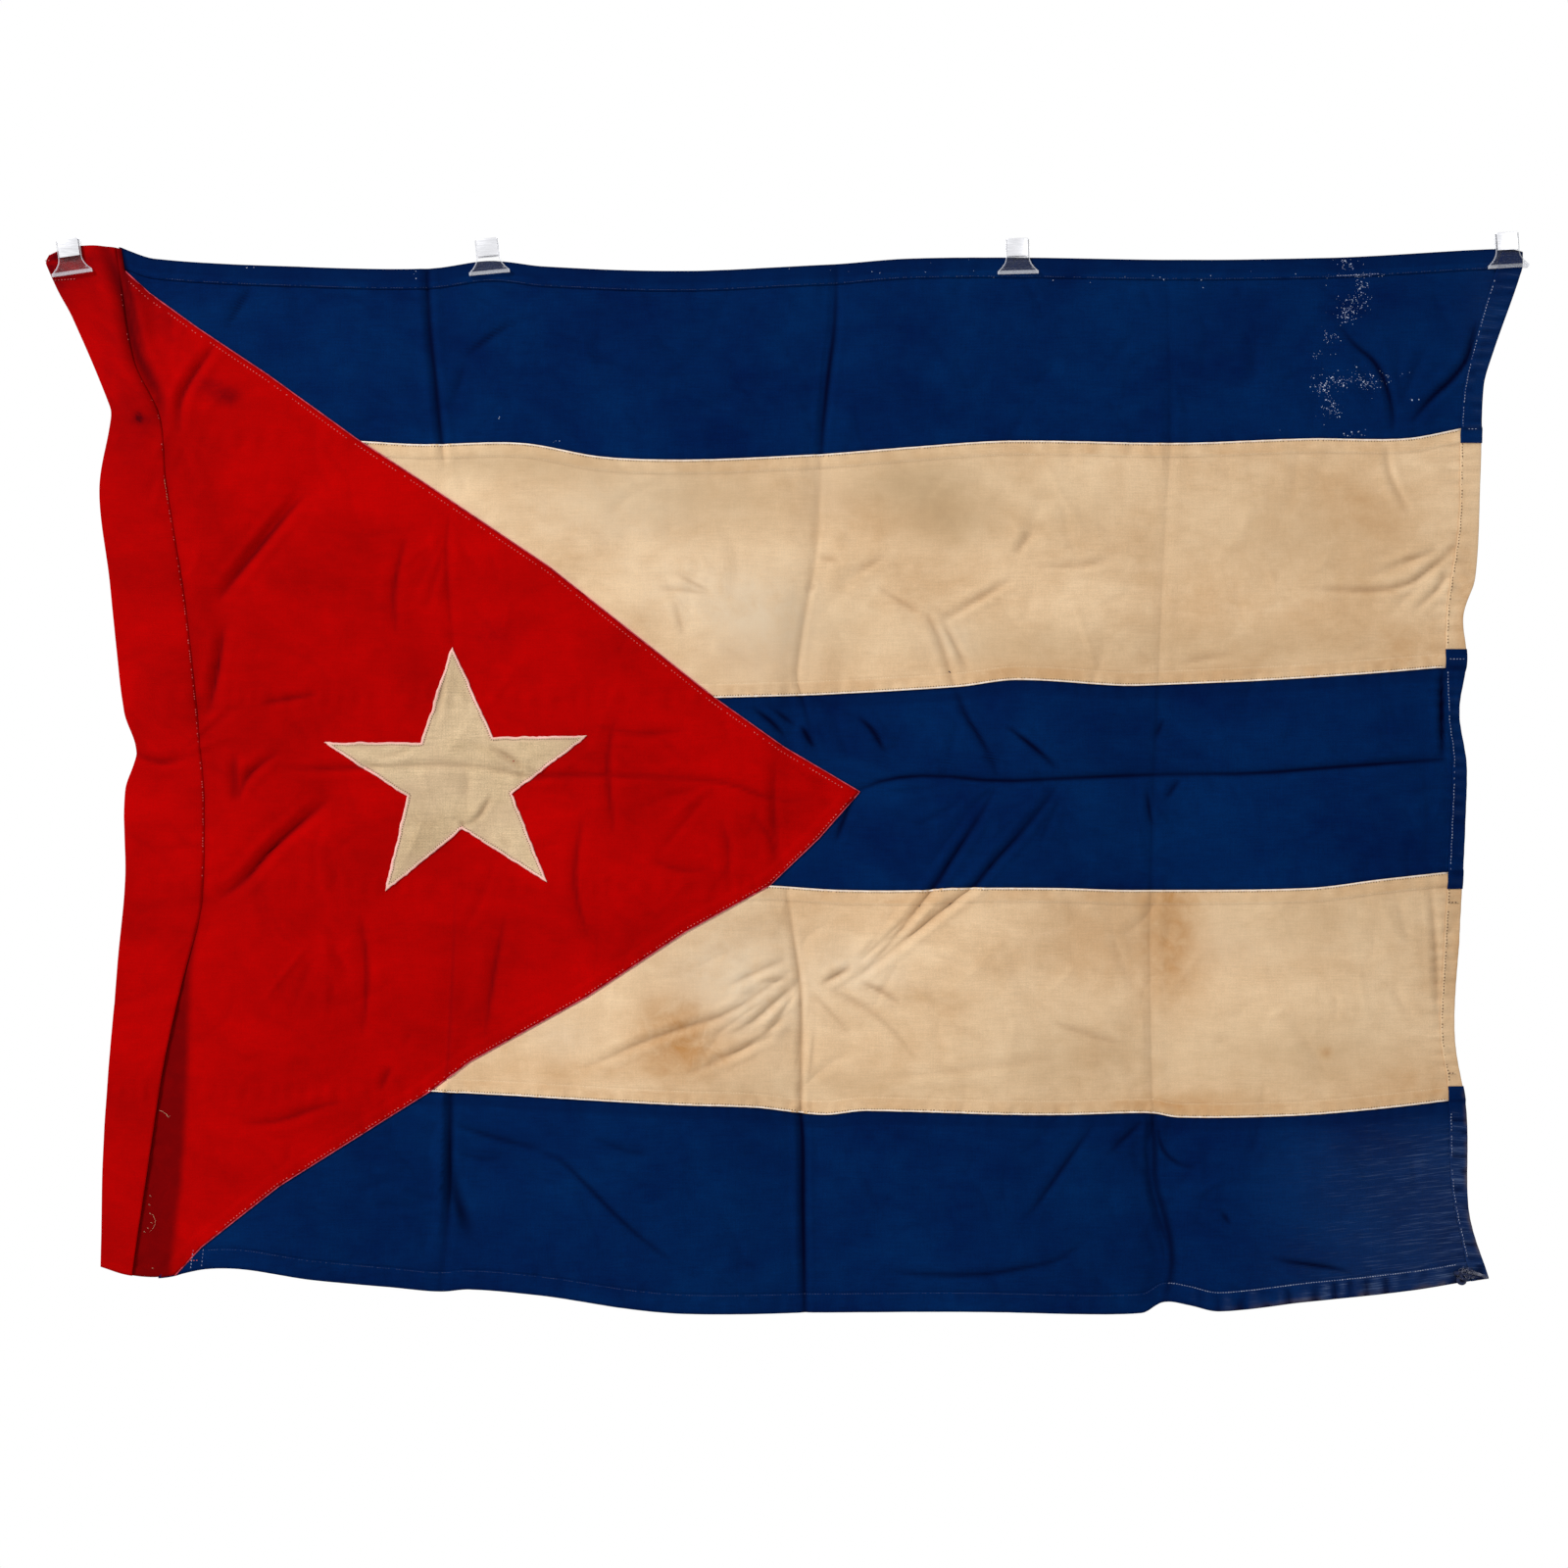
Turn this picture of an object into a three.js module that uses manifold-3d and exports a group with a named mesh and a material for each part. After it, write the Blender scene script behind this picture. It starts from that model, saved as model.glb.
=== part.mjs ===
// An old sewn cotton flag, hung face on from four spring clips along its top edge.
// Millimetres, +Z up. +X runs from the hoist (the sleeve side) to the fly, and the shown face looks along -Y.
// The origin is the middle of the top edge, level with the line on which the clips hold the cloth.
import * as THREE from 'three';
import Module from 'manifold-3d';

const wasm = await Module();
wasm.setup();

// ---------- driving sizes ----------
const CLOTH = 1.2; // one layer of cloth, with its nap
const PIECE_GAP = 0.3; // between two pieces that touch
const SIDE_INSET = 0.3; // kept back on each side of the slanting triangle seams
const SEAM_INSET = 0.15; // kept back on each side of the level seams
const HEM = 17.5; // depth of the turned hems at top and bottom
const HEM_STEP = 0.8; // over which a hem's second layer starts
const FOLD_GAP = 0.8; // between the layers where the hoist sleeve turns
const SLEEVE_PUFF = 2.2; // how far the pressed sleeve stands open along its middle
const FLAP_LIFT = 3.2; // how far the sleeve's edge stands off the field where its seam has come undone
const OPEN_PUFF_SHARE = 0.4; // of that puff, what is left where the seam has come undone
const FLAP_OPENS = -585; // height at which the sleeve's seam has come undone
const FLAP_FREE = -700; // height at which the flap stands off in full
const CLIP_REACH = 60; // the cloth is held flat this far round a clip ...
const CLIP_RELEASE = 170; // ... and hangs free from here on
const COLUMN_CLEAR = 9; // columns closer than this to a panel's end are left out

// ---------- outlines, as points [x, z] that smooth curves pass through ----------
const TOP_EDGE = [
  [-665, -1], [-641, 9], [-602, 9], [-565, -2], [-440, -9], [-320, -11], [-264, -4], [-215, -9],
  [-97, -13], [44, -7], [110, -2], [211, -1], [352, -3], [497, -1], [647, 7], [663, 4],
];
const SEAM_BLUE_WHITE_1 = [
  [-382, -165], [-326, -168], [-236, -167], [-167, -179], [-114, -182], [-48, -181], [44, -176],
  [123, -170], [202, -165], [348, -167], [470, -163], [557, -163], [607, -154],
];
const SEAM_WHITE_BLUE_2 = [
  [-62, -396], [32, -393], [156, -386], [208, -380], [302, -385], [342, -384], [436, -380],
  [528, -374], [587, -369],
];
const FOLD_ACROSS = [
  [68, -480], [92, -470], [135, -466], [192, -471], [250, -468], [353, -464], [480, -459], [591, -451],
];
const SEAM_BLUE_WHITE_3 = [
  [-13, -564], [51, -568], [125, -568], [149, -566], [243, -566], [312, -568], [467, -566],
  [534, -558], [591, -552],
];
const SEAM_WHITE_BLUE_4 = [
  [-318, -749], [-229, -753], [-94, -760], [-26, -763], [34, -770], [74, -766], [243, -769],
  [329, -768], [353, -772], [447, -770], [501, -766], [595, -757],
];
const BOTTOM_EDGE = [
  [-612, -905], [-583, -913], [-556, -914], [-516, -906], [-480, -906], [-425, -915], [-349, -924],
  [-309, -928], [-282, -926], [-211, -931], [-141, -941], [-88, -946], [18, -947], [176, -944],
  [321, -947], [341, -938], [363, -940], [390, -945], [467, -935], [565, -925], [632, -916],
];
const HOIST_EDGE = [
  [-665, -1], [-652, -30], [-639, -54], [-605, -134], [-604, -146], [-614, -209], [-605, -288],
  [-591, -408], [-580, -444], [-590, -479], [-590, -560], [-597, -635], [-609, -791], [-612, -905],
];
const SLEEVE_SEAM = [
  [-600, 9], [-596, -20], [-583, -93], [-560, -143], [-554, -199], [-536, -312], [-521, -449],
  [-518, -489], [-521, -582], [-535, -638], [-554, -720], [-567, -803], [-583, -910],
];
const FLY_HEM = [
  [644, 4], [624, -61], [609, -126], [605, -240], [594, -319], [594, -414], [599, -453], [590, -638],
  [588, -700], [595, -744], [598, -835], [612, -902], [616, -917],
];
const FLY_EDGE = [
  [663, 4], [662, -12], [637, -84], [628, -116], [625, -194], [620, -287], [609, -322], [612, -362],
  [605, -408], [612, -460], [605, -611], [601, -700], [612, -767], [614, -857], [632, -916],
];
const TRIANGLE_TIP = [68, -480];
const TRIANGLE_EDGE = [
  [-595, 9], [-592, -12], [-569, -33], [-526, -64], [-463, -106], [-384, -163], [-324, -202],
  [-211, -278], [-62, -396], [0, -440], TRIANGLE_TIP, [31, -522], [-13, -564], [-88, -605],
  [-176, -663], [-282, -722], [-318, -749], [-400, -800], [-451, -832], [-521, -887], [-546, -914],
];

// ---------- the star, tip then inner corner, clockwise from the top ----------
const STAR = [
  [-298, -350], [-267, -435], [-176, -430], [-241, -483], [-212, -561],
  [-289, -513], [-357, -569], [-338, -484], [-412, -436], [-326, -436],
];
const STAR_CLOTH = 1.0;

// ---------- how the cloth stands out of its hanging plane, in mm towards the viewer ----------
const STAND_OFF = 7; // of the whole cloth from the clips' plane, at its foot
const BACKMOST = -2.4; // the cloth goes no further back than the clips' springs
const HANGING_FOLDS = [ // broad soft folds from the top edge to the bottom edge
  { top: -560, foot: -455, out: 9, spread: 80 },
  { top: -290, foot: -305, out: -6, spread: 70 },
  { top: -100, foot: -130, out: 7, spread: 95 },
  { top: 60, foot: 30, out: -6, spread: 60 },
  { top: 330, foot: 190, out: 8, spread: 80 },
  { top: 350, foot: 345, out: -5, spread: 45 },
  { top: 560, foot: 500, out: 8, spread: 80 },
  { top: 660, foot: 625, out: -5, spread: 40 },
];
const CREASE_NEAR_HOIST = [[-322, -18], [-309, -161], [-297, -350], [-294, -543], [-302, -755], [-290, -873]];
const CREASE_IN_MIDDLE = [
  [47, -20], [35, -150], [29, -268], [11, -378], [0, -480], [2, -576], [16, -667], [19, -947],
];
const CREASE_NEAR_FLY = [
  [344, -18], [348, -160], [335, -400], [328, -570], [333, -796], [349, -900], [341, -947],
];
const CREASES = [ // storage creases and pinched folds
  { line: CREASE_IN_MIDDLE, out: -2.5, spread: 14 },
  { line: CREASE_NEAR_FLY.slice(4), out: -7, spread: 16 },
  { line: FOLD_ACROSS, out: -2.5, spread: 14 },
  { line: [[-430, -211], [-508, -308]], out: -5, spread: 18 },
  { line: [[-502, -334], [-516, -409]], out: -4, spread: 16 },
  { line: [[-408, -487], [-506, -576]], out: -5, spread: 18 },
];
const FOLD_DEPTH_FULL = 620; // the hanging folds reach their full height this far down

// ---------- clips ----------
const CLIPS = [ // middle of the lower lip, tilt in degrees, and the front of the cloth that it grips
  { x: -638, z: -16, tilt: 8.3, grips: -2.7 },
  { x: -264, z: -15.5, tilt: 5.4, grips: -1.8 },
  { x: 210, z: -15.5, tilt: 1.4, grips: -1.8 },
  { x: 650, z: -10, tilt: 3.4, grips: -1.8 },
];
const JAW = {
  lipWidth: 36.5, lipHeight: 2.6, lipStandOut: 1.1, neckWidth: 21, flareTop: 15, height: 31, plate: 1.7,
  bossBottom: 27.5, corner: 1.5, flareSteps: 6, bite: 0.5,
};
const SPRING = { width: 18.5, thickness: 0.8, bottom: 13.5 };

// ---------- helpers ----------
const smoothstep = THREE.MathUtils.smoothstep;
const lerp = THREE.MathUtils.lerp;

/** A smooth one-to-one curve through points: given the coordinate `from`, returns the coordinate `to`. */
function curveThrough(points, from, to) {
  const sorted = [...points].sort((p, q) => p[from] - q[from]);
  const slope = (i) => {
    const before = sorted[Math.max(i - 1, 0)];
    const after = sorted[Math.min(i + 1, sorted.length - 1)];
    return (after[to] - before[to]) / (after[from] - before[from]);
  };
  return (value) => {
    let i = 0;
    while (i < sorted.length - 2 && value > sorted[i + 1][from]) i += 1;
    const [start, end] = [sorted[i], sorted[i + 1]];
    const span = end[from] - start[from];
    const t = (value - start[from]) / span;
    if (t < 0) return start[to];
    if (t > 1) return end[to];
    const [t2, t3] = [t * t, t * t * t];
    return (2 * t3 - 3 * t2 + 1) * start[to] + (t3 - 2 * t2 + t) * span * slope(i)
      + (3 * t2 - 2 * t3) * end[to] + (t3 - t2) * span * slope(i + 1);
  };
}
const levelLine = (points) => curveThrough(points, 0, 1); // height at a given x
const uprightLine = (points) => curveThrough(points, 1, 0); // x at a given height

/** Straight stretches through points, ordered downwards: x at a given height. */
function brokenLine(points) {
  return (z) => {
    let i = 0;
    while (i < points.length - 2 && z < points[i + 1][1]) i += 1;
    const [start, end] = [points[i], points[i + 1]];
    const t = THREE.MathUtils.clamp((z - start[1]) / (end[1] - start[1]), 0, 1);
    return lerp(start[0], end[0], t);
  };
}

/** Shortest distance from [x, z] to a line of straight stretches. */
function distanceTo(line, x, z) {
  let nearest = Infinity;
  for (let i = 0; i + 1 < line.length; i += 1) {
    const [[ax, az], [bx, bz]] = [line[i], line[i + 1]];
    const along = ((x - ax) * (bx - ax) + (z - az) * (bz - az)) / ((bx - ax) ** 2 + (bz - az) ** 2);
    const t = THREE.MathUtils.clamp(along, 0, 1);
    nearest = Math.min(nearest, Math.hypot(x - lerp(ax, bx, t), z - lerp(az, bz, t)));
  }
  return nearest;
}

/** How far the middle of the cloth stands towards the viewer at [x, z]. */
function standOut(x, z) {
  const depth = THREE.MathUtils.clamp(-z / FOLD_DEPTH_FULL, 0, 1);
  let out = STAND_OFF * smoothstep(depth, 0, 1);
  for (const fold of HANGING_FOLDS) {
    const offset = (x - lerp(fold.top, fold.foot, depth)) / fold.spread;
    out += fold.out * smoothstep(depth, 0, 1) * Math.exp(-offset * offset);
  }
  for (const crease of CREASES) {
    out += crease.out * Math.exp(-((distanceTo(crease.line, x, z) / crease.spread) ** 2));
  }
  let freedom = 1;
  for (const clip of CLIPS) {
    freedom = Math.min(freedom, smoothstep(Math.hypot(x - clip.x, z), CLIP_REACH, CLIP_RELEASE));
  }
  return Math.max(out * freedom, BACKMOST);
}

const topEdge = levelLine(TOP_EDGE);
const bottomEdge = levelLine(BOTTOM_EDGE);
const hoistEdge = uprightLine(HOIST_EDGE);
const sleeveSeam = uprightLine(SLEEVE_SEAM);
const flyEdge = uprightLine(FLY_EDGE);
const flyHem = uprightLine(FLY_HEM);
const triangleEdge = brokenLine(TRIANGLE_EDGE);

/** Where a level row crosses an upright edge, found by stepping from one to the other. */
function crossing(row, edge, startX) {
  let x = startX;
  for (let step = 0; step < 60; step += 1) x = edge(row(x));
  return x;
}

// Columns of the cloth's net: each keeps its place from the top edge to the bottom edge, and the
// storage creases are columns themselves, with a near column on either side.
const CREASE_FLANK = 16;
const columnGuides = [
  { line: () => -640, flank: 0, fill: 7 },
  { line: uprightLine(CREASE_NEAR_HOIST), flank: CREASE_FLANK, fill: 6 },
  { line: uprightLine(CREASE_IN_MIDDLE), flank: CREASE_FLANK, fill: 6 },
  { line: uprightLine(CREASE_NEAR_FLY), flank: CREASE_FLANK, fill: 5 },
  { line: () => 650, flank: 0, fill: 0 },
];

/** The x of every column at height z. */
function columnsAt(z) {
  const found = [];
  columnGuides.forEach((guide, i) => {
    const x = guide.line(z);
    if (guide.flank) found.push(x - guide.flank, x, x + guide.flank);
    const next = columnGuides[i + 1];
    if (!next) return;
    const [start, end] = [x + guide.flank, next.line(z) - next.flank];
    for (let k = 1; k <= guide.fill; k += 1) found.push(lerp(start, end, k / (guide.fill + 1)));
  });
  return found;
}

/** A net point: key orders the points of a row, a and b are the places on the two faces of the cloth. */
function clothPoint(key, x, z, layers = 1) {
  const y = -standOut(x, z);
  return {
    key,
    a: new THREE.Vector3(x, y - CLOTH / 2 - (layers - 1) * CLOTH, z),
    b: new THREE.Vector3(x, y + CLOTH / 2, z),
  };
}

/** Points of a row at the net's columns between two places. */
function columnPoints(row, startX, endX, layers) {
  const points = [];
  const level = row((startX + endX) / 2);
  columnsAt(level).forEach((x, key) => {
    if (x > startX + COLUMN_CLEAR && x < endX - COLUMN_CLEAR) points.push(clothPoint(key, x, row(x), layers));
  });
  return points;
}

/** Faces between two rows: points with the same key join, and a point that only one row has fans out. */
function zipRows(upper, lower, addFace) {
  let [i, j] = [0, 0];
  while (i < upper.length - 1 || j < lower.length - 1) {
    const upperKey = i < upper.length - 1 ? upper[i + 1].key : Infinity;
    const lowerKey = j < lower.length - 1 ? lower[j + 1].key : Infinity;
    if (upperKey <= lowerKey) {
      addFace(upper[i], lower[j], upper[i + 1]);
      i += 1;
    }
    if (lowerKey <= upperKey) {
      addFace(upper[i], lower[j], lower[j + 1]);
      j += 1;
    }
  }
}

/** The closed solid between the two faces of rows of net points. */
function sheetGeometry(rows) {
  const positions = [];
  const faces = [];
  rows.flat().forEach((point, i) => {
    point.ia = 2 * i;
    point.ib = 2 * i + 1;
    positions.push(...point.a.toArray(), ...point.b.toArray());
  });
  const rim = (p, q) => faces.push(p.ia, q.ia, q.ib, p.ia, q.ib, p.ib);
  for (let r = 0; r + 1 < rows.length; r += 1) {
    zipRows(rows[r], rows[r + 1], (p, q, s) => faces.push(p.ia, q.ia, s.ia, p.ib, s.ib, q.ib));
    rim(rows[r + 1][0], rows[r][0]);
    rim(rows[r].at(-1), rows[r + 1].at(-1));
  }
  for (let i = 0; i + 1 < rows[0].length; i += 1) rim(rows[0][i], rows[0][i + 1]);
  const last = rows.at(-1);
  for (let i = 0; i + 1 < last.length; i += 1) rim(last[i + 1], last[i]);
  const geometry = new THREE.BufferGeometry();
  geometry.setAttribute('position', new THREE.Float32BufferAttribute(positions, 3));
  geometry.setIndex(faces);
  return geometry;
}

const toSolid = (geometry) => new wasm.Manifold(new wasm.Mesh({
  numProp: 3,
  vertProperties: geometry.attributes.position.array,
  triVerts: new Uint32Array(geometry.index.array),
}));

function fromSolid(solid) {
  const mesh = solid.getMesh();
  const geometry = new THREE.BufferGeometry();
  geometry.setAttribute('position', new THREE.Float32BufferAttribute(mesh.vertProperties, 3));
  geometry.setIndex([...mesh.triVerts]);
  return geometry;
}

/** A flat outline of [x, z] points as a closed plate from y = near to y = far. */
function plateSolid(outline, near, far) {
  const turn = THREE.ShapeUtils.isClockWise(outline.map(([x, z]) => new THREE.Vector2(x, z)));
  const ring = turn ? [...outline].reverse() : outline;
  const shape = new THREE.Shape(ring.map(([x, z]) => new THREE.Vector2(x, z)));
  const { shape: points } = shape.extractPoints(1);
  const faces = [];
  const count = points.length;
  for (const [i, j, k] of THREE.ShapeUtils.triangulateShape(points, [])) {
    faces.push(i, j, k, i + count, k + count, j + count);
  }
  for (let i = 0; i < count; i += 1) {
    const next = (i + 1) % count;
    faces.push(i, next + count, next, i, i + count, next + count);
  }
  const place = (y) => points.flatMap((p) => [p.x, y, p.y]);
  const geometry = new THREE.BufferGeometry();
  geometry.setAttribute('position', new THREE.Float32BufferAttribute([...place(near), ...place(far)], 3));
  geometry.setIndex(faces);
  return toSolid(geometry);
}

// ---------- materials ----------
const cotton = (color) => new THREE.MeshStandardMaterial({ color, roughness: 0.92, metalness: 0 });
const RED = cotton(0x9c0606);
const BLUE = cotton(0x06204f);
const CREAM = cotton(0xd9bd92);
const CLEAR = new THREE.MeshStandardMaterial({
  color: 0xdfe2e6, roughness: 0.15, metalness: 0, transparent: true, opacity: 0.45,
});
const STEEL = new THREE.MeshStandardMaterial({ color: 0xb9bbbe, roughness: 0.35, metalness: 1 });

const flag = new THREE.Group();

function addNode(name, geometry, material, parent = flag) {
  const mesh = new THREE.Mesh(geometry, material);
  mesh.name = name;
  geometry.computeVertexNormals();
  parent.add(mesh);
  return mesh;
}

// ---------- stripes ----------
const RIGHT_END = 1000; // key past every column's
const LEFT_END = -1; // key before every column's

/** One row of a stripe, from the triangle's seam to the fly, with the fly hem's second layer. */
function stripeRow(row, layers) {
  const left = crossing(row, triangleEdge, 0) + SIDE_INSET;
  const right = crossing(row, flyEdge, 620);
  const hem = crossing(row, flyHem, 600);
  return [
    clothPoint(LEFT_END, left, row(left), layers),
    ...columnPoints(row, left, hem - HEM_STEP, layers),
    clothPoint(RIGHT_END, hem - HEM_STEP, row(hem - HEM_STEP), layers),
    clothPoint(RIGHT_END + 1, hem, row(hem), 2),
    clothPoint(RIGHT_END + 2, right, row(right), 2),
  ];
}

const below = (line, drop) => (x) => line(x) - drop;
const between = (upper, lower, share) => (x) => lerp(upper(x), lower(x), share);

/** The lines between two lines, both included. */
function linesFrom(upper, lower, count) {
  return Array.from({ length: count + 1 }, (_, i) => between(upper, lower, i / count));
}

const seam1 = levelLine(SEAM_BLUE_WHITE_1);
const seam2 = levelLine(SEAM_WHITE_BLUE_2);
const seam3 = levelLine(SEAM_BLUE_WHITE_3);
const seam4 = levelLine(SEAM_WHITE_BLUE_4);
const foldAcross = levelLine(FOLD_ACROSS);

const single = (line) => ({ line, layers: 1 });
const double = (line) => ({ line, layers: 2 });
const STRIPES = [
  {
    name: 'top_blue_stripe',
    material: BLUE,
    rows: [
      double(topEdge), double(below(topEdge, HEM)),
      ...linesFrom(below(topEdge, HEM + HEM_STEP), below(seam1, -SEAM_INSET), 4).map(single),
    ],
  },
  {
    name: 'upper_white_stripe',
    material: CREAM,
    rows: linesFrom(below(seam1, SEAM_INSET), below(seam2, -SEAM_INSET), 6).map(single),
  },
  {
    name: 'middle_blue_stripe',
    material: BLUE,
    rows: [
      ...linesFrom(below(seam2, SEAM_INSET), below(foldAcross, -CREASE_FLANK), 2).map(single),
      single(foldAcross),
      ...linesFrom(below(foldAcross, CREASE_FLANK), below(seam3, -SEAM_INSET), 2).map(single),
    ],
  },
  {
    name: 'lower_white_stripe',
    material: CREAM,
    rows: linesFrom(below(seam3, SEAM_INSET), below(seam4, -SEAM_INSET), 5).map(single),
  },
  {
    name: 'bottom_blue_stripe',
    material: BLUE,
    rows: [
      ...linesFrom(below(seam4, SEAM_INSET), below(bottomEdge, -HEM - HEM_STEP), 4).map(single),
      double(below(bottomEdge, -HEM)), double(bottomEdge),
    ],
  },
];

const seamPoints = []; // where each stripe row meets the triangle's seam
for (const stripe of STRIPES) {
  const rows = stripe.rows.map(({ line, layers }) => stripeRow(line, layers));
  seamPoints.push(...rows.map((row) => [row[0].b.x - SIDE_INSET, row[0].b.z]));
  addNode(stripe.name, sheetGeometry(rows), stripe.material);
}

// ---------- the red triangle, in one piece with the hoist sleeve folded over its front ----------
const SLEEVE_STEPS = 3;
const FOLD_STEPS = 3;
const FOLD_RADIUS = FOLD_GAP / 2 + CLOTH;

/** The gap between field and flap, at a share of the sleeve's width from its fold. */
function sleeveGap(share, x, z) {
  const opened = 1 - smoothstep(z, FLAP_FREE, FLAP_OPENS);
  const puff = SLEEVE_PUFF * lerp(1, OPEN_PUFF_SHARE, opened) * Math.sin(Math.PI * share);
  const free = lerp(FOLD_GAP, lerp(PIECE_GAP, FLAP_LIFT, opened), share) + puff;
  const squeezed = lerp(FOLD_GAP, PIECE_GAP, share);
  return lerp(squeezed, free, smoothstep(Math.hypot(x - CLIPS[0].x, z), CLIP_REACH / 2, CLIP_REACH * 1.5));
}

/** One row of the red cloth: flap edge, fold, then the field as far as the triangle's seam. */
function hoistRow([seamX, seamZ]) {
  const share = (topEdge(seamX) - seamZ) / (topEdge(seamX) - bottomEdge(seamX));
  const row = between(topEdge, bottomEdge, share);
  const edge = crossing(row, hoistEdge, -600);
  const fold = edge + FOLD_RADIUS;
  const sewn = crossing(row, sleeveSeam, -560);
  const flap = [];
  const field = [];
  for (let i = 0; i <= SLEEVE_STEPS; i += 1) {
    const across = i / SLEEVE_STEPS;
    const x = lerp(fold, sewn, across);
    const point = clothPoint(100 + i, x, row(x));
    field.push(point);
    const gap = i ? sleeveGap(across, x, row(x)) : FOLD_GAP;
    flap.unshift({
      key: -i,
      a: new THREE.Vector3(x, point.a.y - gap, row(x)),
      b: new THREE.Vector3(x, point.a.y - gap - CLOTH, row(x)),
    });
  }
  const turn = [];
  const middle = field[0].a.y - FOLD_GAP / 2;
  for (let i = 1; i < FOLD_STEPS; i += 1) {
    const angle = Math.PI * (1 - i / FOLD_STEPS);
    const around = (radius) => new THREE.Vector3(
      fold - radius * Math.sin(angle), middle + radius * Math.cos(angle), row(edge),
    );
    turn.push({ key: i, a: around(FOLD_GAP / 2), b: around(FOLD_RADIUS) });
  }
  const end = seamX - SIDE_INSET;
  const open = columnPoints(row, sewn, end, 1).map((point) => ({ ...point, key: point.key + 200 }));
  return { sleeve: [...flap, ...turn], field: [...field, ...open, clothPoint(RIGHT_END, end, row(end))] };
}

const hoistRows = seamPoints
  .filter(([, z], i) => i === 0 || seamPoints[i - 1][1] - z > 2 * SEAM_INSET + 0.01)
  .map(hoistRow);
addNode('hoist_triangle', sheetGeometry(hoistRows.map(({ sleeve, field }) => [...sleeve, ...field])), RED);

// ---------- the star, cut from a layer that lies on the red field ----------
const starLayer = hoistRows.map(({ field }) => field.map((point) => ({
  key: point.key,
  a: new THREE.Vector3(point.a.x, point.a.y - PIECE_GAP - STAR_CLOTH, point.a.z),
  b: new THREE.Vector3(point.a.x, point.a.y - PIECE_GAP, point.a.z),
})));
const starCut = plateSolid(STAR, -80, 80);
addNode('star', fromSolid(toSolid(sheetGeometry(starLayer)).intersect(starCut)), CREAM);

// ---------- clips ----------
/** One jaw's outline: a straight lip, flanks that draw in to a neck, and a plain square top. */
function jawOutline() {
  const half = JAW.lipWidth / 2;
  const neck = JAW.neckWidth / 2;
  const flank = new THREE.QuadraticBezierCurve(
    new THREE.Vector2(half, JAW.lipHeight),
    new THREE.Vector2(neck + 1, JAW.flareTop * 0.6),
    new THREE.Vector2(neck, JAW.flareTop),
  );
  const right = [
    [half - JAW.corner, 0], [half, JAW.corner],
    ...flank.getPoints(JAW.flareSteps).map((p) => [p.x, p.y]),
    [neck, JAW.height - JAW.corner], [neck - JAW.corner, JAW.height],
  ];
  return [...right, ...right.map(([x, z]) => [-x, z]).reverse()];
}

/** A level bar across a jaw, from x = -half to x = half. */
const bar = (half, bottom, top, near, far) => plateSolid(
  [[-half, bottom], [half, bottom], [half, top], [-half, top]], near, far,
);

/** The levels in y of a clip's plates, from the front of the cloth that it grips. */
function clipLevels(grips) {
  const front = grips - PIECE_GAP;
  const back = CLOTH / 2 + PIECE_GAP;
  return { front, back, frontFace: front - JAW.plate, backFace: back + JAW.plate, hinge: (front + back) / 2 };
}

const bossHalf = JAW.neckWidth / 2 - JAW.corner;

function frontJaw({ front, frontFace, hinge }) {
  const lipHalf = JAW.lipWidth / 2 - JAW.corner;
  const lip = bar(lipHalf, 0, JAW.lipHeight, frontFace - JAW.lipStandOut, frontFace + JAW.bite);
  const boss = bar(bossHalf, JAW.bossBottom, JAW.height, front - JAW.bite, hinge - PIECE_GAP / 2);
  return fromSolid(plateSolid(jawOutline(), frontFace, front).add(lip).add(boss));
}

function backJaw({ back, backFace, hinge }) {
  const boss = bar(bossHalf, JAW.bossBottom, JAW.height, hinge + PIECE_GAP / 2, back + JAW.bite);
  return fromSolid(plateSolid(jawOutline(), back, backFace).add(boss));
}

/** A steel strip bent over the jaws' tops, with a leg down the outside of each. */
function springStrip({ frontFace, backFace }) {
  const [near, far, top] = [frontFace - PIECE_GAP, backFace + PIECE_GAP, JAW.height + PIECE_GAP];
  const half = SPRING.width / 2;
  const skin = SPRING.thickness;
  const outside = bar(half, SPRING.bottom, top + skin, near - skin, far + skin);
  return fromSolid(outside.subtract(bar(half + 1, SPRING.bottom - 1, top, near, far)));
}

CLIPS.forEach((clip, i) => {
  const group = new THREE.Group();
  group.position.set(clip.x, 0, clip.z);
  group.rotation.y = -THREE.MathUtils.degToRad(clip.tilt);
  flag.add(group);
  const levels = clipLevels(clip.grips);
  addNode(`clip_${i + 1}_front_jaw`, frontJaw(levels), CLEAR, group);
  addNode(`clip_${i + 1}_back_jaw`, backJaw(levels), CLEAR, group);
  addNode(`clip_${i + 1}_spring`, springStrip(levels), STEEL, group);
});

export default flag;
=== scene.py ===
"""An old sewn cotton flag, hung face on from four clear spring clips along its top edge.

Metres, +Z up. +X runs from the hoist sleeve to the fly, and the shown face looks along -Y. Cloth is laid
out in millimetres, as a flag maker would measure it, and is turned to metres when its mesh is made.
"""

import logging
import math
from dataclasses import dataclass, field, replace
from enum import Enum
from functools import cached_property
from typing import Callable, Sequence

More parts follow.
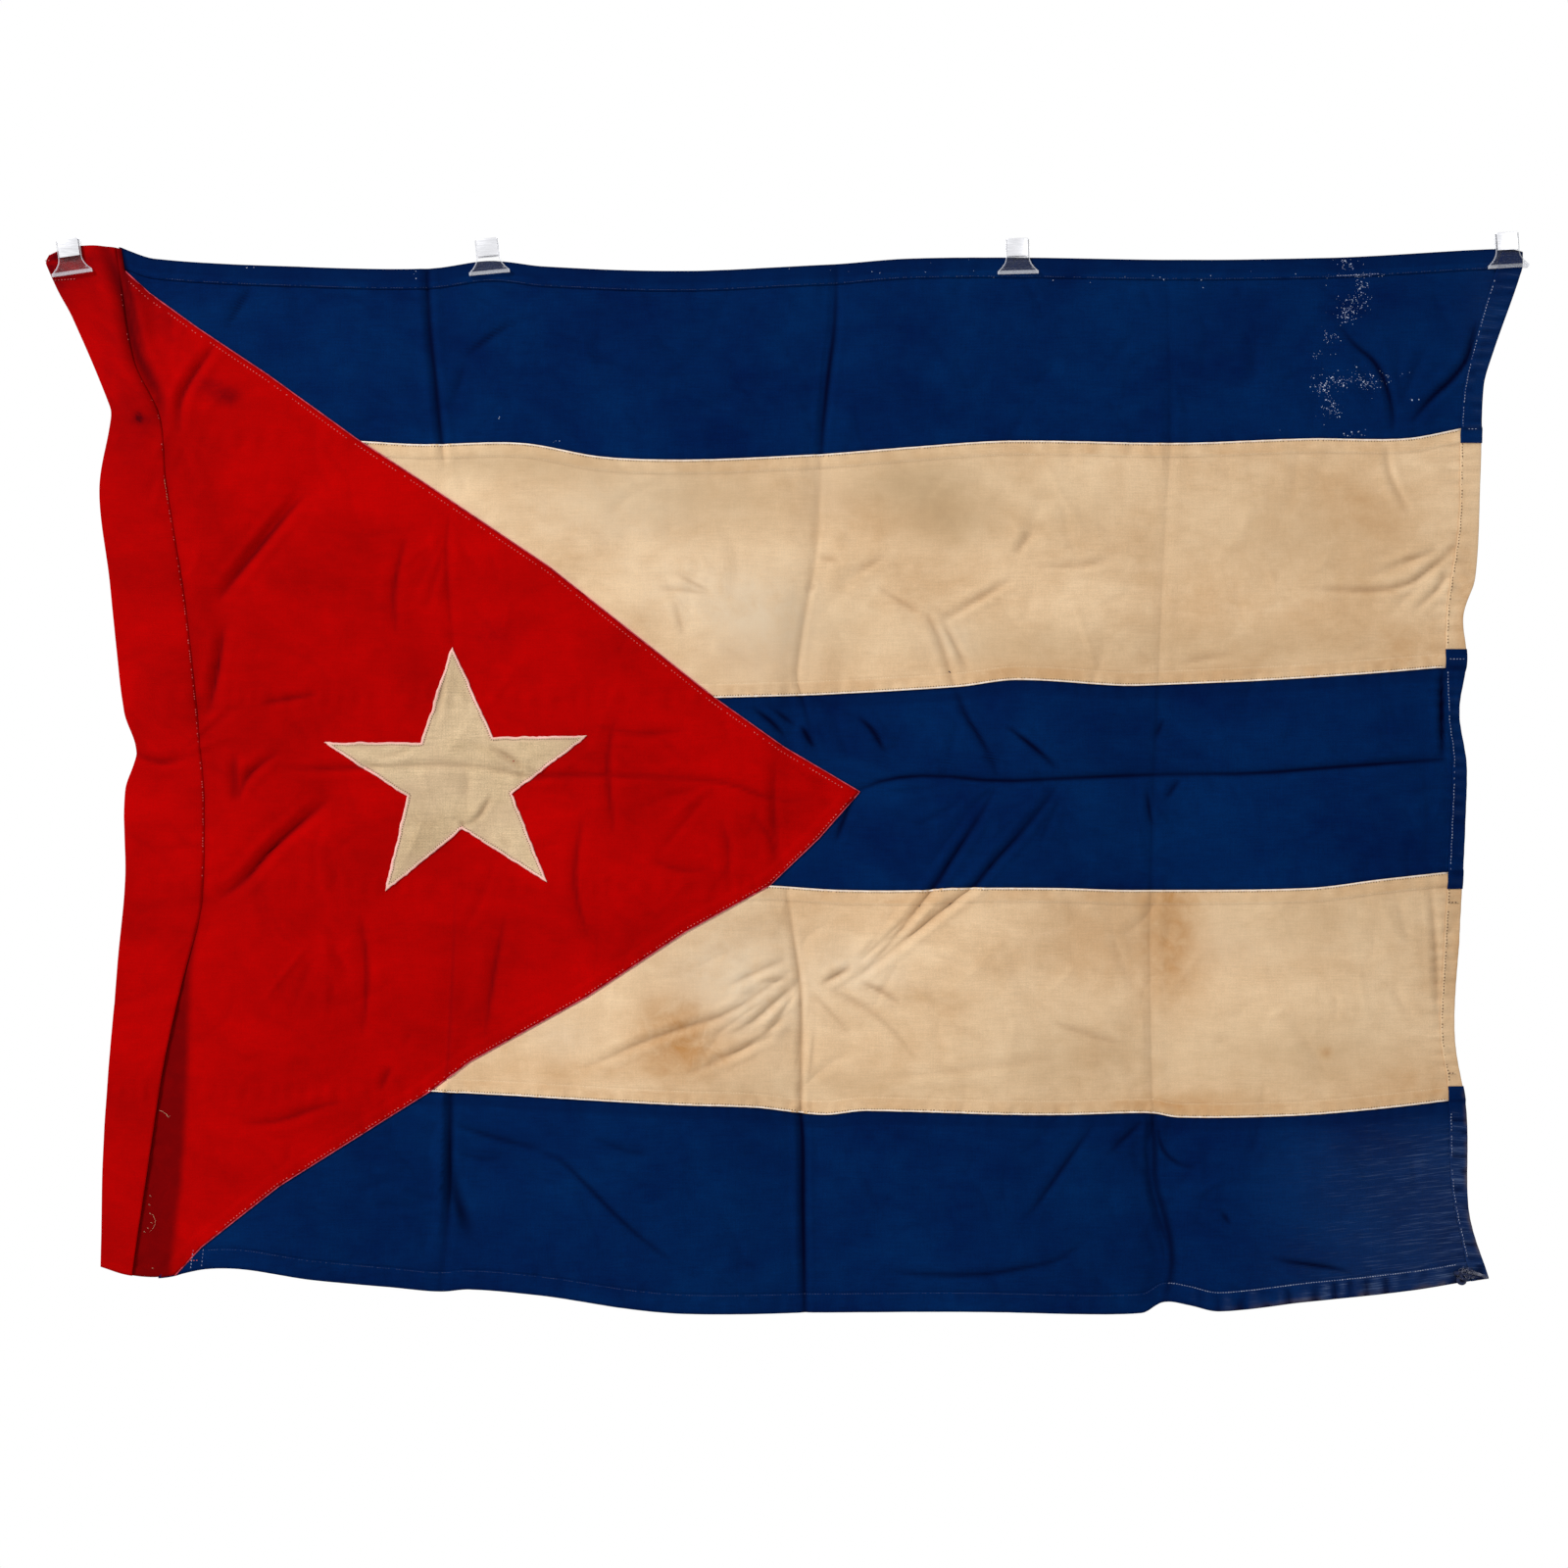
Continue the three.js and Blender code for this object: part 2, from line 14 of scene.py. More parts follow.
import bpy
import numpy as np
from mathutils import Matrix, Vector


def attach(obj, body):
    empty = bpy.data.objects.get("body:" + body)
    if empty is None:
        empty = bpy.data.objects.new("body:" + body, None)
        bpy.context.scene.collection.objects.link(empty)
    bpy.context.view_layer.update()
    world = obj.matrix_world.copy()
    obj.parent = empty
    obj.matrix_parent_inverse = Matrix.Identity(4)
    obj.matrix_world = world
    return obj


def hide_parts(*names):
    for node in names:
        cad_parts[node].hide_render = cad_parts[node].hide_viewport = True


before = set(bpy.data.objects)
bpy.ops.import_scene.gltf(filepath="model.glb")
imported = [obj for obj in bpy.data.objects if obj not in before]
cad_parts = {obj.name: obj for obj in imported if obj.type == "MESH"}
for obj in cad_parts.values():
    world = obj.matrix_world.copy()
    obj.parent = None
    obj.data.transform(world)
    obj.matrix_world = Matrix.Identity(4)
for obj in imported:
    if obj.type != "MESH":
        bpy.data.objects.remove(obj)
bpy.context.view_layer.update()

LOG = logging.getLogger("flag")
MM = 0.001

Array = np.ndarray
Point = tuple[float, float]
Line = Callable[[Array], Array]

# ---------- cloth and sewing, in millimetres ----------
CLOTH = 0.55  # one layer of cotton
FOLD = 0.8  # from the middle of one layer to the middle of the next, where a hem turns
HEM = 17.5  # depth of the turned hems at top and bottom
HEM_FACE = FOLD + CLOTH / 2  # how far a hem's face stands off the middle of the cloth
LAP = 12.3  # width of a felled seam, between its two rows of stitches
LAP_RISE = 0.55  # how far the lapped edge stands off the middle of the cloth
LAP_THICKNESS = 0.9  # a lapped edge is turned under, so it is two layers
LAP_FACE = LAP_RISE + LAP_THICKNESS / 2
UNDERLAP = 16.0  # how far the stripes run on under the edge of the red cloth, measured level
STRIPE_STEP = 2.42  # net of the striped cloth
RED_STEP = 2.85  # net of the red cloth
STITCH_PITCH = 2.4
STAND_OFF = 7.0  # of the whole cloth from the clips' plane, at its foot
BACKMOST = -2.4  # the cloth goes no further back than the clips' springs
FOLD_DEPTH_FULL = 620.0  # the hanging folds reach their full height this far down
CLIP_REACH = 60.0  # the cloth is held flat this far round a clip ...
CLIP_RELEASE = 170.0  # ... and hangs free from here on
FLY_GATHER = 13.0  # from one pucker of the fly hem to the next
FOOT_GATHER = 19.0  # and of the top and bottom hems
LEVEL_GATHERS = (45.0, 21)  # how long a stretch of even gathers is, and a seed
UPRIGHT_GATHERS = (40.0, 41)

# ---------- outlines, as points (x, z) in millimetres that smooth curves pass through ----------
TOP_EDGE = (
    (-665, -1), (-641, 9), (-602, 9), (-565, -2), (-440, -9), (-320, -11), (-264, -4), (-215, -9),
    (-97, -13), (44, -7), (110, -2), (211, -1), (352, -3), (497, -1), (647, 7), (663, 4),
)
SEAM_1 = (
    (-382, -165), (-326, -168), (-236, -167), (-167, -179), (-114, -182), (-48, -181), (44, -176),
    (123, -170), (202, -165), (348, -167), (470, -163), (557, -163), (607, -154),
)
SEAM_2 = (
    (-62, -396), (32, -393), (156, -386), (208, -380), (302, -385), (342, -384), (436, -380),
    (528, -374), (587, -369),
)
FOLD_ACROSS = (
    (68, -480), (92, -470), (135, -466), (192, -471), (250, -468), (353, -464), (480, -459), (591, -451),
)
SEAM_3 = (
    (-13, -564), (51, -568), (125, -568), (149, -566), (243, -566), (312, -568), (467, -566),
    (534, -558), (591, -552),
)
SEAM_4 = (
    (-318, -749), (-229, -753), (-94, -760), (-26, -763), (34, -770), (74, -766), (243, -769),
    (329, -768), (353, -772), (447, -770), (501, -766), (595, -757),
)
BOTTOM_EDGE = (
    (-612, -905), (-583, -913), (-556, -914), (-516, -906), (-480, -906), (-425, -915), (-349, -924),
    (-309, -928), (-282, -926), (-211, -931), (-141, -941), (-88, -946), (18, -947), (176, -944),
    (321, -947), (341, -938), (363, -940), (390, -945), (467, -935), (565, -925), (632, -916),
)
HOIST_EDGE = (
    (-665, -1), (-652, -30), (-639, -54), (-605, -134), (-604, -146), (-614, -209), (-605, -288),
    (-591, -408), (-580, -444), (-590, -479), (-590, -560), (-597, -635), (-609, -791), (-612, -905),
)
SLEEVE_SEAM = (
    (-600, 9), (-596, -20), (-583, -93), (-560, -143), (-554, -199), (-536, -312), (-521, -449),
    (-518, -489), (-521, -582), (-535, -638), (-554, -720), (-567, -803), (-583, -910),
)
OLD_SLEEVE_SEAM = ((-521, -575), (-530, -649), (-532, -741), (-537, -825), (-548, -912))
FLY_HEM = (
    (644, 4), (624, -61), (609, -126), (605, -240), (594, -319), (594, -414), (599, -453), (590, -638),
    (588, -700), (595, -744), (598, -835), (612, -902), (616, -917),
)
FLY_EDGE = (
    (663, 4), (662, -12), (637, -84), (628, -116), (625, -194), (620, -287), (609, -322), (612, -362),
    (605, -408), (612, -460), (605, -611), (601, -700), (612, -767), (614, -857), (632, -916),
)
TRIANGLE_EDGE = (
    (-595, 9), (-592, -12), (-569, -33), (-526, -64), (-463, -106), (-384, -163), (-324, -202),
    (-211, -278), (-62, -396), (0, -440), (68, -480), (31, -522), (-13, -564), (-88, -605),
    (-176, -663), (-282, -722), (-318, -749), (-400, -800), (-451, -832), (-521, -887), (-546, -914),
)
STAR = (  # tip then inner corner, clockwise from the top
    (-298, -350), (-261, -431), (-176, -430), (-244, -482), (-212, -561),
    (-289, -513), (-357, -569), (-338, -484), (-412, -436), (-326, -436),
)
STAR_MIDDLE = (-291, -473)
CLIP_PLACES = (  # x, z, its tilt in degrees, and the level in y that its front jaw grips
    (-638, -16, 8.3, -2.7), (-264, -15.5, 5.4, -1.8), (210, -15.5, 1.4, -1.8), (650, -10, 3.4, -1.8),
)

# ---------- where the search for each edge starts, in x ----------
FROM_FLY, FROM_HEM, FROM_MIDDLE, FROM_SLEEVE, FROM_HOIST = 620, 600, 0, -560, -600


class Axis(Enum):
    """Which way a line runs, as the place of that coordinate in a point."""

    LEVEL = 0
    UPRIGHT = 1


class Pleat(Enum):
    """The section of a crease."""

    TROUGH = "a groove with soft shoulders"
    RIDGE = "a raised line"
    TURNED = "a ridge on one side and a groove on the other"


def smoothstep(share: Array) -> Array:
    """A soft step from 0 to 1 as share goes from 0 to 1."""
    held = np.clip(share, 0.0, 1.0)
    return held * held * (3.0 - 2.0 * held)


def lerp(start: Array, end: Array, share: Array) -> Array:
    """The value a share of the way from start to end."""
    return start + (end - start) * share


def smooth_line(points: Sequence[Point], axis: Axis) -> Line:
    """A smooth one-to-one curve through points.

    Args:
        points: the points (x, z) that the curve passes through.
        axis: the coordinate that the curve is read by.

    Returns:
        A function from that coordinate to the other one. It holds its end values past its ends.
    """
    table = np.array(sorted(points, key=lambda p: p[axis.value]), float)
    at, value = table[:, axis.value], table[:, 1 - axis.value]
    before = np.maximum(np.arange(len(at)) - 1, 0)
    after = np.minimum(np.arange(len(at)) + 1, len(at) - 1)
    slope = (value[after] - value[before]) / (at[after] - at[before])

    def read(where: Array) -> Array:
        """The curve's other coordinate at where.

        Args:
            where: places along the axis that the curve is read by.

        Returns:
            The other coordinate at each place.
        """
        held = np.clip(where, at[0], at[-1])
        i = np.clip(np.searchsorted(at, held, side="right") - 1, 0, len(at) - 2)
        span = at[i + 1] - at[i]
        t = (held - at[i]) / span
        return (
            (2 * t**3 - 3 * t**2 + 1) * value[i]
            + (t**3 - 2 * t**2 + t) * span * slope[i]
            + (3 * t**2 - 2 * t**3) * value[i + 1]
            + (t**3 - t**2) * span * slope[i + 1]
        )

    return read


def straight_line(points: Sequence[Point]) -> Line:
    """Straight stretches through points that run downwards: x at a given height."""
    table = np.array(points, float)[::-1]
    return lambda z: np.interp(z, table[:, 1], table[:, 0])


top_edge = smooth_line(TOP_EDGE, Axis.LEVEL)
bottom_edge = smooth_line(BOTTOM_EDGE, Axis.LEVEL)
seam_1 = smooth_line(SEAM_1, Axis.LEVEL)
seam_2 = smooth_line(SEAM_2, Axis.LEVEL)
seam_3 = smooth_line(SEAM_3, Axis.LEVEL)
seam_4 = smooth_line(SEAM_4, Axis.LEVEL)
LAPPED_SEAMS = ((seam_1, -1), (seam_2, 1), (seam_3, -1), (seam_4, 1))  # 1 where the lap is above, -1 below
fold_across = smooth_line(FOLD_ACROSS, Axis.LEVEL)
hoist_edge = smooth_line(HOIST_EDGE, Axis.UPRIGHT)
sleeve_seam = smooth_line(SLEEVE_SEAM, Axis.UPRIGHT)
fly_hem = smooth_line(FLY_HEM, Axis.UPRIGHT)
fly_edge = smooth_line(FLY_EDGE, Axis.UPRIGHT)
triangle_edge = straight_line(TRIANGLE_EDGE)
old_sleeve_seam = straight_line(OLD_SLEEVE_SEAM)


def crossing(row: Line, edge: Line, start: float, rounds: int = 60) -> float:
    """The x where a level row meets an upright edge, found by stepping from one to the other.

    Args:
        row: the row's height at x.
        edge: the edge's x at a height.
        start: the x to start from.
        rounds: how many steps to take.

    Returns:
        The x of the crossing.
    """
    x = np.float64(start)
    for _ in range(rounds):
        x = edge(row(x))
    return float(x)


def soft_noise(x: Array, z: Array, size: float, seed: int) -> Array:
    """Smooth random hills and hollows from -1 to 1, about size millimetres across.

    Args:
        x: places across the flag, in millimetres.
        z: their heights.
        size: how wide a hill is.
        seed: of the random draw.

    Returns:
        The noise at each place.
    """
    rng = np.random.default_rng(seed)
    side = 64
    grid = rng.uniform(-1.0, 1.0, (side, side))
    u, v = x / size + 31.3, z / size + 47.7
    i, j = np.floor(u).astype(int), np.floor(v).astype(int)
    fu, fv = smoothstep(u - i), smoothstep(v - j)

    def corner(di: int, dj: int) -> Array:
        """The random value at one corner of each place's cell."""
        return grid[(i + di) % side, (j + dj) % side]

    near = lerp(corner(0, 0), corner(1, 0), fu)
    far = lerp(corner(0, 1), corner(1, 1), fu)
    return lerp(near, far, fv)


def gathers(at: Array, pitch: float, number: int, evenness: tuple[float, int]) -> Array:
    """The waves of cloth that thread has drawn up along a seam.

    Args:
        at: places along the seam, in millimetres.
        pitch: from one wave to the next.
        number: the seam's number among those that run its way.
        evenness: how long a stretch of even waves is, and the first seam's seed.

    Returns:
        The waves, from -1 in a hollow to 1 on a ridge.
    """
    length, seed = evenness
    uneven = soft_noise(at, np.full(at.shape, 10.0 * number), length, seed + number)
    return np.sin(2 * np.pi * at / pitch + 4.0 * uneven)


@dataclass(frozen=True)
class Nearness:
    """Where points lie beside a line: how far off, on which side, and how far along it."""

    distance: Array
    side: Array
    along: Array
    length: float


def beside(points: Sequence[Sequence[float]], x: Array, z: Array) -> Nearness:
    """Measures points (x, z) against a line of straight stretches.

    Args:
        points: the line's points, each x and z first.
        x: places across the flag, in millimetres.
        z: their heights.

    Returns:
        Each place's distance, its side, and how far along the line it lies.
    """
    distance, side, along = np.full(x.shape, np.inf), np.zeros(x.shape), np.zeros(x.shape)
    run = 0.0
    for start, end in zip(points, points[1:]):
        dx, dz = end[0] - start[0], end[1] - start[1]
        length = math.hypot(dx, dz)
        t = np.clip(((x - start[0]) * dx + (z - start[1]) * dz) / length**2, 0.0, 1.0)
        off_x, off_z = x - start[0] - t * dx, z - start[1] - t * dz
        reach = np.hypot(off_x, off_z)
        closer = reach < distance
        distance = np.where(closer, reach, distance)
        side = np.where(closer, np.sign(dx * off_z - dz * off_x), side)
        along = np.where(closer, run + t * length, along)
        run += length
    return Nearness(distance, side, along, run)


def rounded(points: Sequence[Sequence[float]]) -> Array:
    """Cuts the corners of a line of points, keeping its ends.

    Args:
        points: the line's points, with the same count of numbers each.

    Returns:
        The points of the rounded line.
    """
    line = np.array(points, float)
    for _ in range(2 if len(line) < 7 else 1):
        if len(line) < 3:
            return line
        early, late = 0.75 * line[:-1] + 0.25 * line[1:], 0.25 * line[:-1] + 0.75 * line[1:]
        inner = np.stack([early, late], axis=1).reshape(-1, line.shape[1])[1:-1]
        line = np.concatenate([line[:1], inner, line[-1:]])
    return line


@dataclass(frozen=True)
class Crease:
    """A pressed, pinched or pulled line in the cloth.

    A line's points are (x, z), with the crease deepest in its middle, or (x, z, share of the depth).
    """

    line: Sequence[Sequence[float]]
    depth: float
    width: float = 4.5
    pleat: Pleat = Pleat.TROUGH
    # how dark the groove is painted as shade, and how wide that painted shade is
    painted_shade: float = 0.5
    shade_width: float = 2.3

    @cached_property
    def path(self) -> Array:
        """The crease's line with its corners rounded."""
        return rounded(self.line)

    def stamp(self, x: Array, z: Array, out: Array, crease_shade: Array) -> None:
        """Adds the crease to the cloth's stand-off and to the shade painted in its groove.

        Args:
            x: where the points of the cloth are, in millimetres.
            z: their heights.
            out: how far the points stand towards the viewer, changed in place.
            crease_shade: how dark the creases are painted as shade, from 0 to 1, changed in place.
        """
        line = self.path
        table = line[:, :2]
        reach = 4.5 * self.width
        low, high = table.min(0) - reach, table.max(0) + reach
        near = (x > low[0]) & (x < high[0]) & (z > low[1]) & (z < high[1])
        if not near.any():
            return
        found = beside(table, x[near], z[near])
        if line.shape[1] == 3:
            steps = np.hypot(*np.diff(table, axis=0).T)
            marks = np.concatenate([[0.0], np.cumsum(steps)])
            full = np.interp(found.along, marks, line[:, 2])
        else:
            full = np.sin(np.pi * np.clip(found.along / found.length, 0.0, 1.0)) ** 0.7
        s = found.distance / self.width
        groove = np.exp(-1.35 * s)
        shoulder = np.exp(-((s - 2.1) ** 2))
        if self.pleat is Pleat.TROUGH:
            shape = 0.34 * shoulder - groove
        elif self.pleat is Pleat.RIDGE:
            shape = groove
        else:
            shape = 2.0 * s * found.side * groove
        out[near] += self.depth * full * shape
        # painted shade: the groove is drawn darker, with a faint wider band round it
        dark = np.exp(-((found.distance / self.shade_width) ** 2)) + 0.14 * np.exp(-(s**2))
        if self.pleat is not Pleat.RIDGE:
            crease_shade[near] = np.maximum(crease_shade[near], self.painted_shade * full * dark)


# ---------- storage creases: (x, z, share of the depth) ----------
STORAGE_CREASES = (
    Crease(((-320, -14, 0.6), (-319, -60, 1), (-313, -110, 1), (-308, -161, 0.9), (-305, -185, 0.3)), 1.8,
           4.5, painted_shade=0.6),
    Crease(((-286, -91, 0), (-292, -112, 1), (-299, -139, 0)), 1.0, 4.5, painted_shade=0.4),
    Crease(((-299, -225, 0), (-305, -262, 1), (-297, -350, 0.4)), 0.9, 5.5, painted_shade=0.3),
    Crease(((-294, -530, 0), (-297, -641, 1), (-302, -735, 0.8)), 1.2, 6.0, Pleat.TURNED, 0.35),
    Crease(((-306, -752, 0.6), (-307, -809, 1), (-308, -850, 1), (-311, -885, 0)), 1.9, 5.0, Pleat.RIDGE),
    Crease(((-299, -752, 0.6), (-300, -809, 1), (-300, -845, 0.8), (-304, -885, 0.3), (-308, -925, 0.2)),
           1.9, 5.0, painted_shade=0.6, shade_width=3.2),
    Crease(((-299, -815, 0.2), (-295, -842, 1), (-286, -866, 0.9), (-278, -886, 0)), 2.6, 7.0, painted_shade=0.5,
           shade_width=6.0),
    Crease(((-300, -800, 0), (-270, -812, 1), (-246, -806, 0)), 1.0, 5.0, painted_shade=0.3),
    Crease(((47, -12, 0.3), (46, -60, 0.7), (40, -102, 1), (35, -150, 0.8), (33, -178, 0.5)), 1.8, 4.5,
           painted_shade=0.7),
    Crease(((33, -178, 0.6), (29, -268, 1), (21, -308, 0.8), (13, -359, 1), (11, -378, 1), (18, -402, 1),
            (29, -450, 0.3)), 0.6, 3.6, painted_shade=0.35, shade_width=1.7),
    Crease(((-8, -440, 0), (-10, -506, 1), (-4, -545, 0.3)), 1.2, 5.0, painted_shade=0.4),
    Crease(((2, -570, 0.4), (12, -634, 0.9), (16, -667, 1), (15, -741, 1), (15, -768, 1)), 1.0, 3.6,
           painted_shade=0.8, shade_width=1.9),
    Crease(((15, -768, 0.7), (17, -792, 1), (17, -842, 1), (18, -910, 0.8), (19, -947, 0.4)), 2.4, 4.2,
           painted_shade=0.8),
    Crease(((344, -18, 0.2), (348, -160, 0.8), (342, -240, 0.4), (335, -400, 0.7), (328, -570, 0.8),
           (329, -700, 0.8), (331, -770, 1)), 0.55, 5.5, painted_shade=0.2),
    Crease(((331, -772, 0.5), (333, -796, 1), (333, -832, 0.8), (341, -856, 0.9), (348, -886, 1),
            (349, -910, 0.9), (341, -940, 0.3)), 2.6, 5.0, painted_shade=0.5, shade_width=3.4),
    Crease(((331, -775, 0.3), (326, -820, 0.8), (338, -870, 1), (350, -896, 0.4)), 1.8, 4.6, painted_shade=0.4),
    Crease(((64, -480, 0.3), (92, -468, 1), (135, -465, 0.8), (192, -471, 1), (250, -468, 0.8),
            (296, -466, 1), (353, -464, 0.6), (420, -464, 0.9), (480, -459, 1), (548, -454, 1),
            (591, -451, 0.5)), 0.95, 4.4, painted_shade=0.7, shade_width=2.0),
    Crease(((-580, -446, 0.5), (-556, -456, 1), (-530, -448, 0)), 2.0, 5.0, painted_shade=0.5),
    Crease(((-449, -458, 0), (-418, -460, 1), (-375, -458, 0.8), (-283, -455, 1), (-226, -468, 0.8),
            (-202, -464, 1), (-94, -467, 0.6), (-47, -472, 0.8), (-10, -488, 0.8), (40, -488, 0)),
           1.1, 4.6, painted_shade=0.4),
)

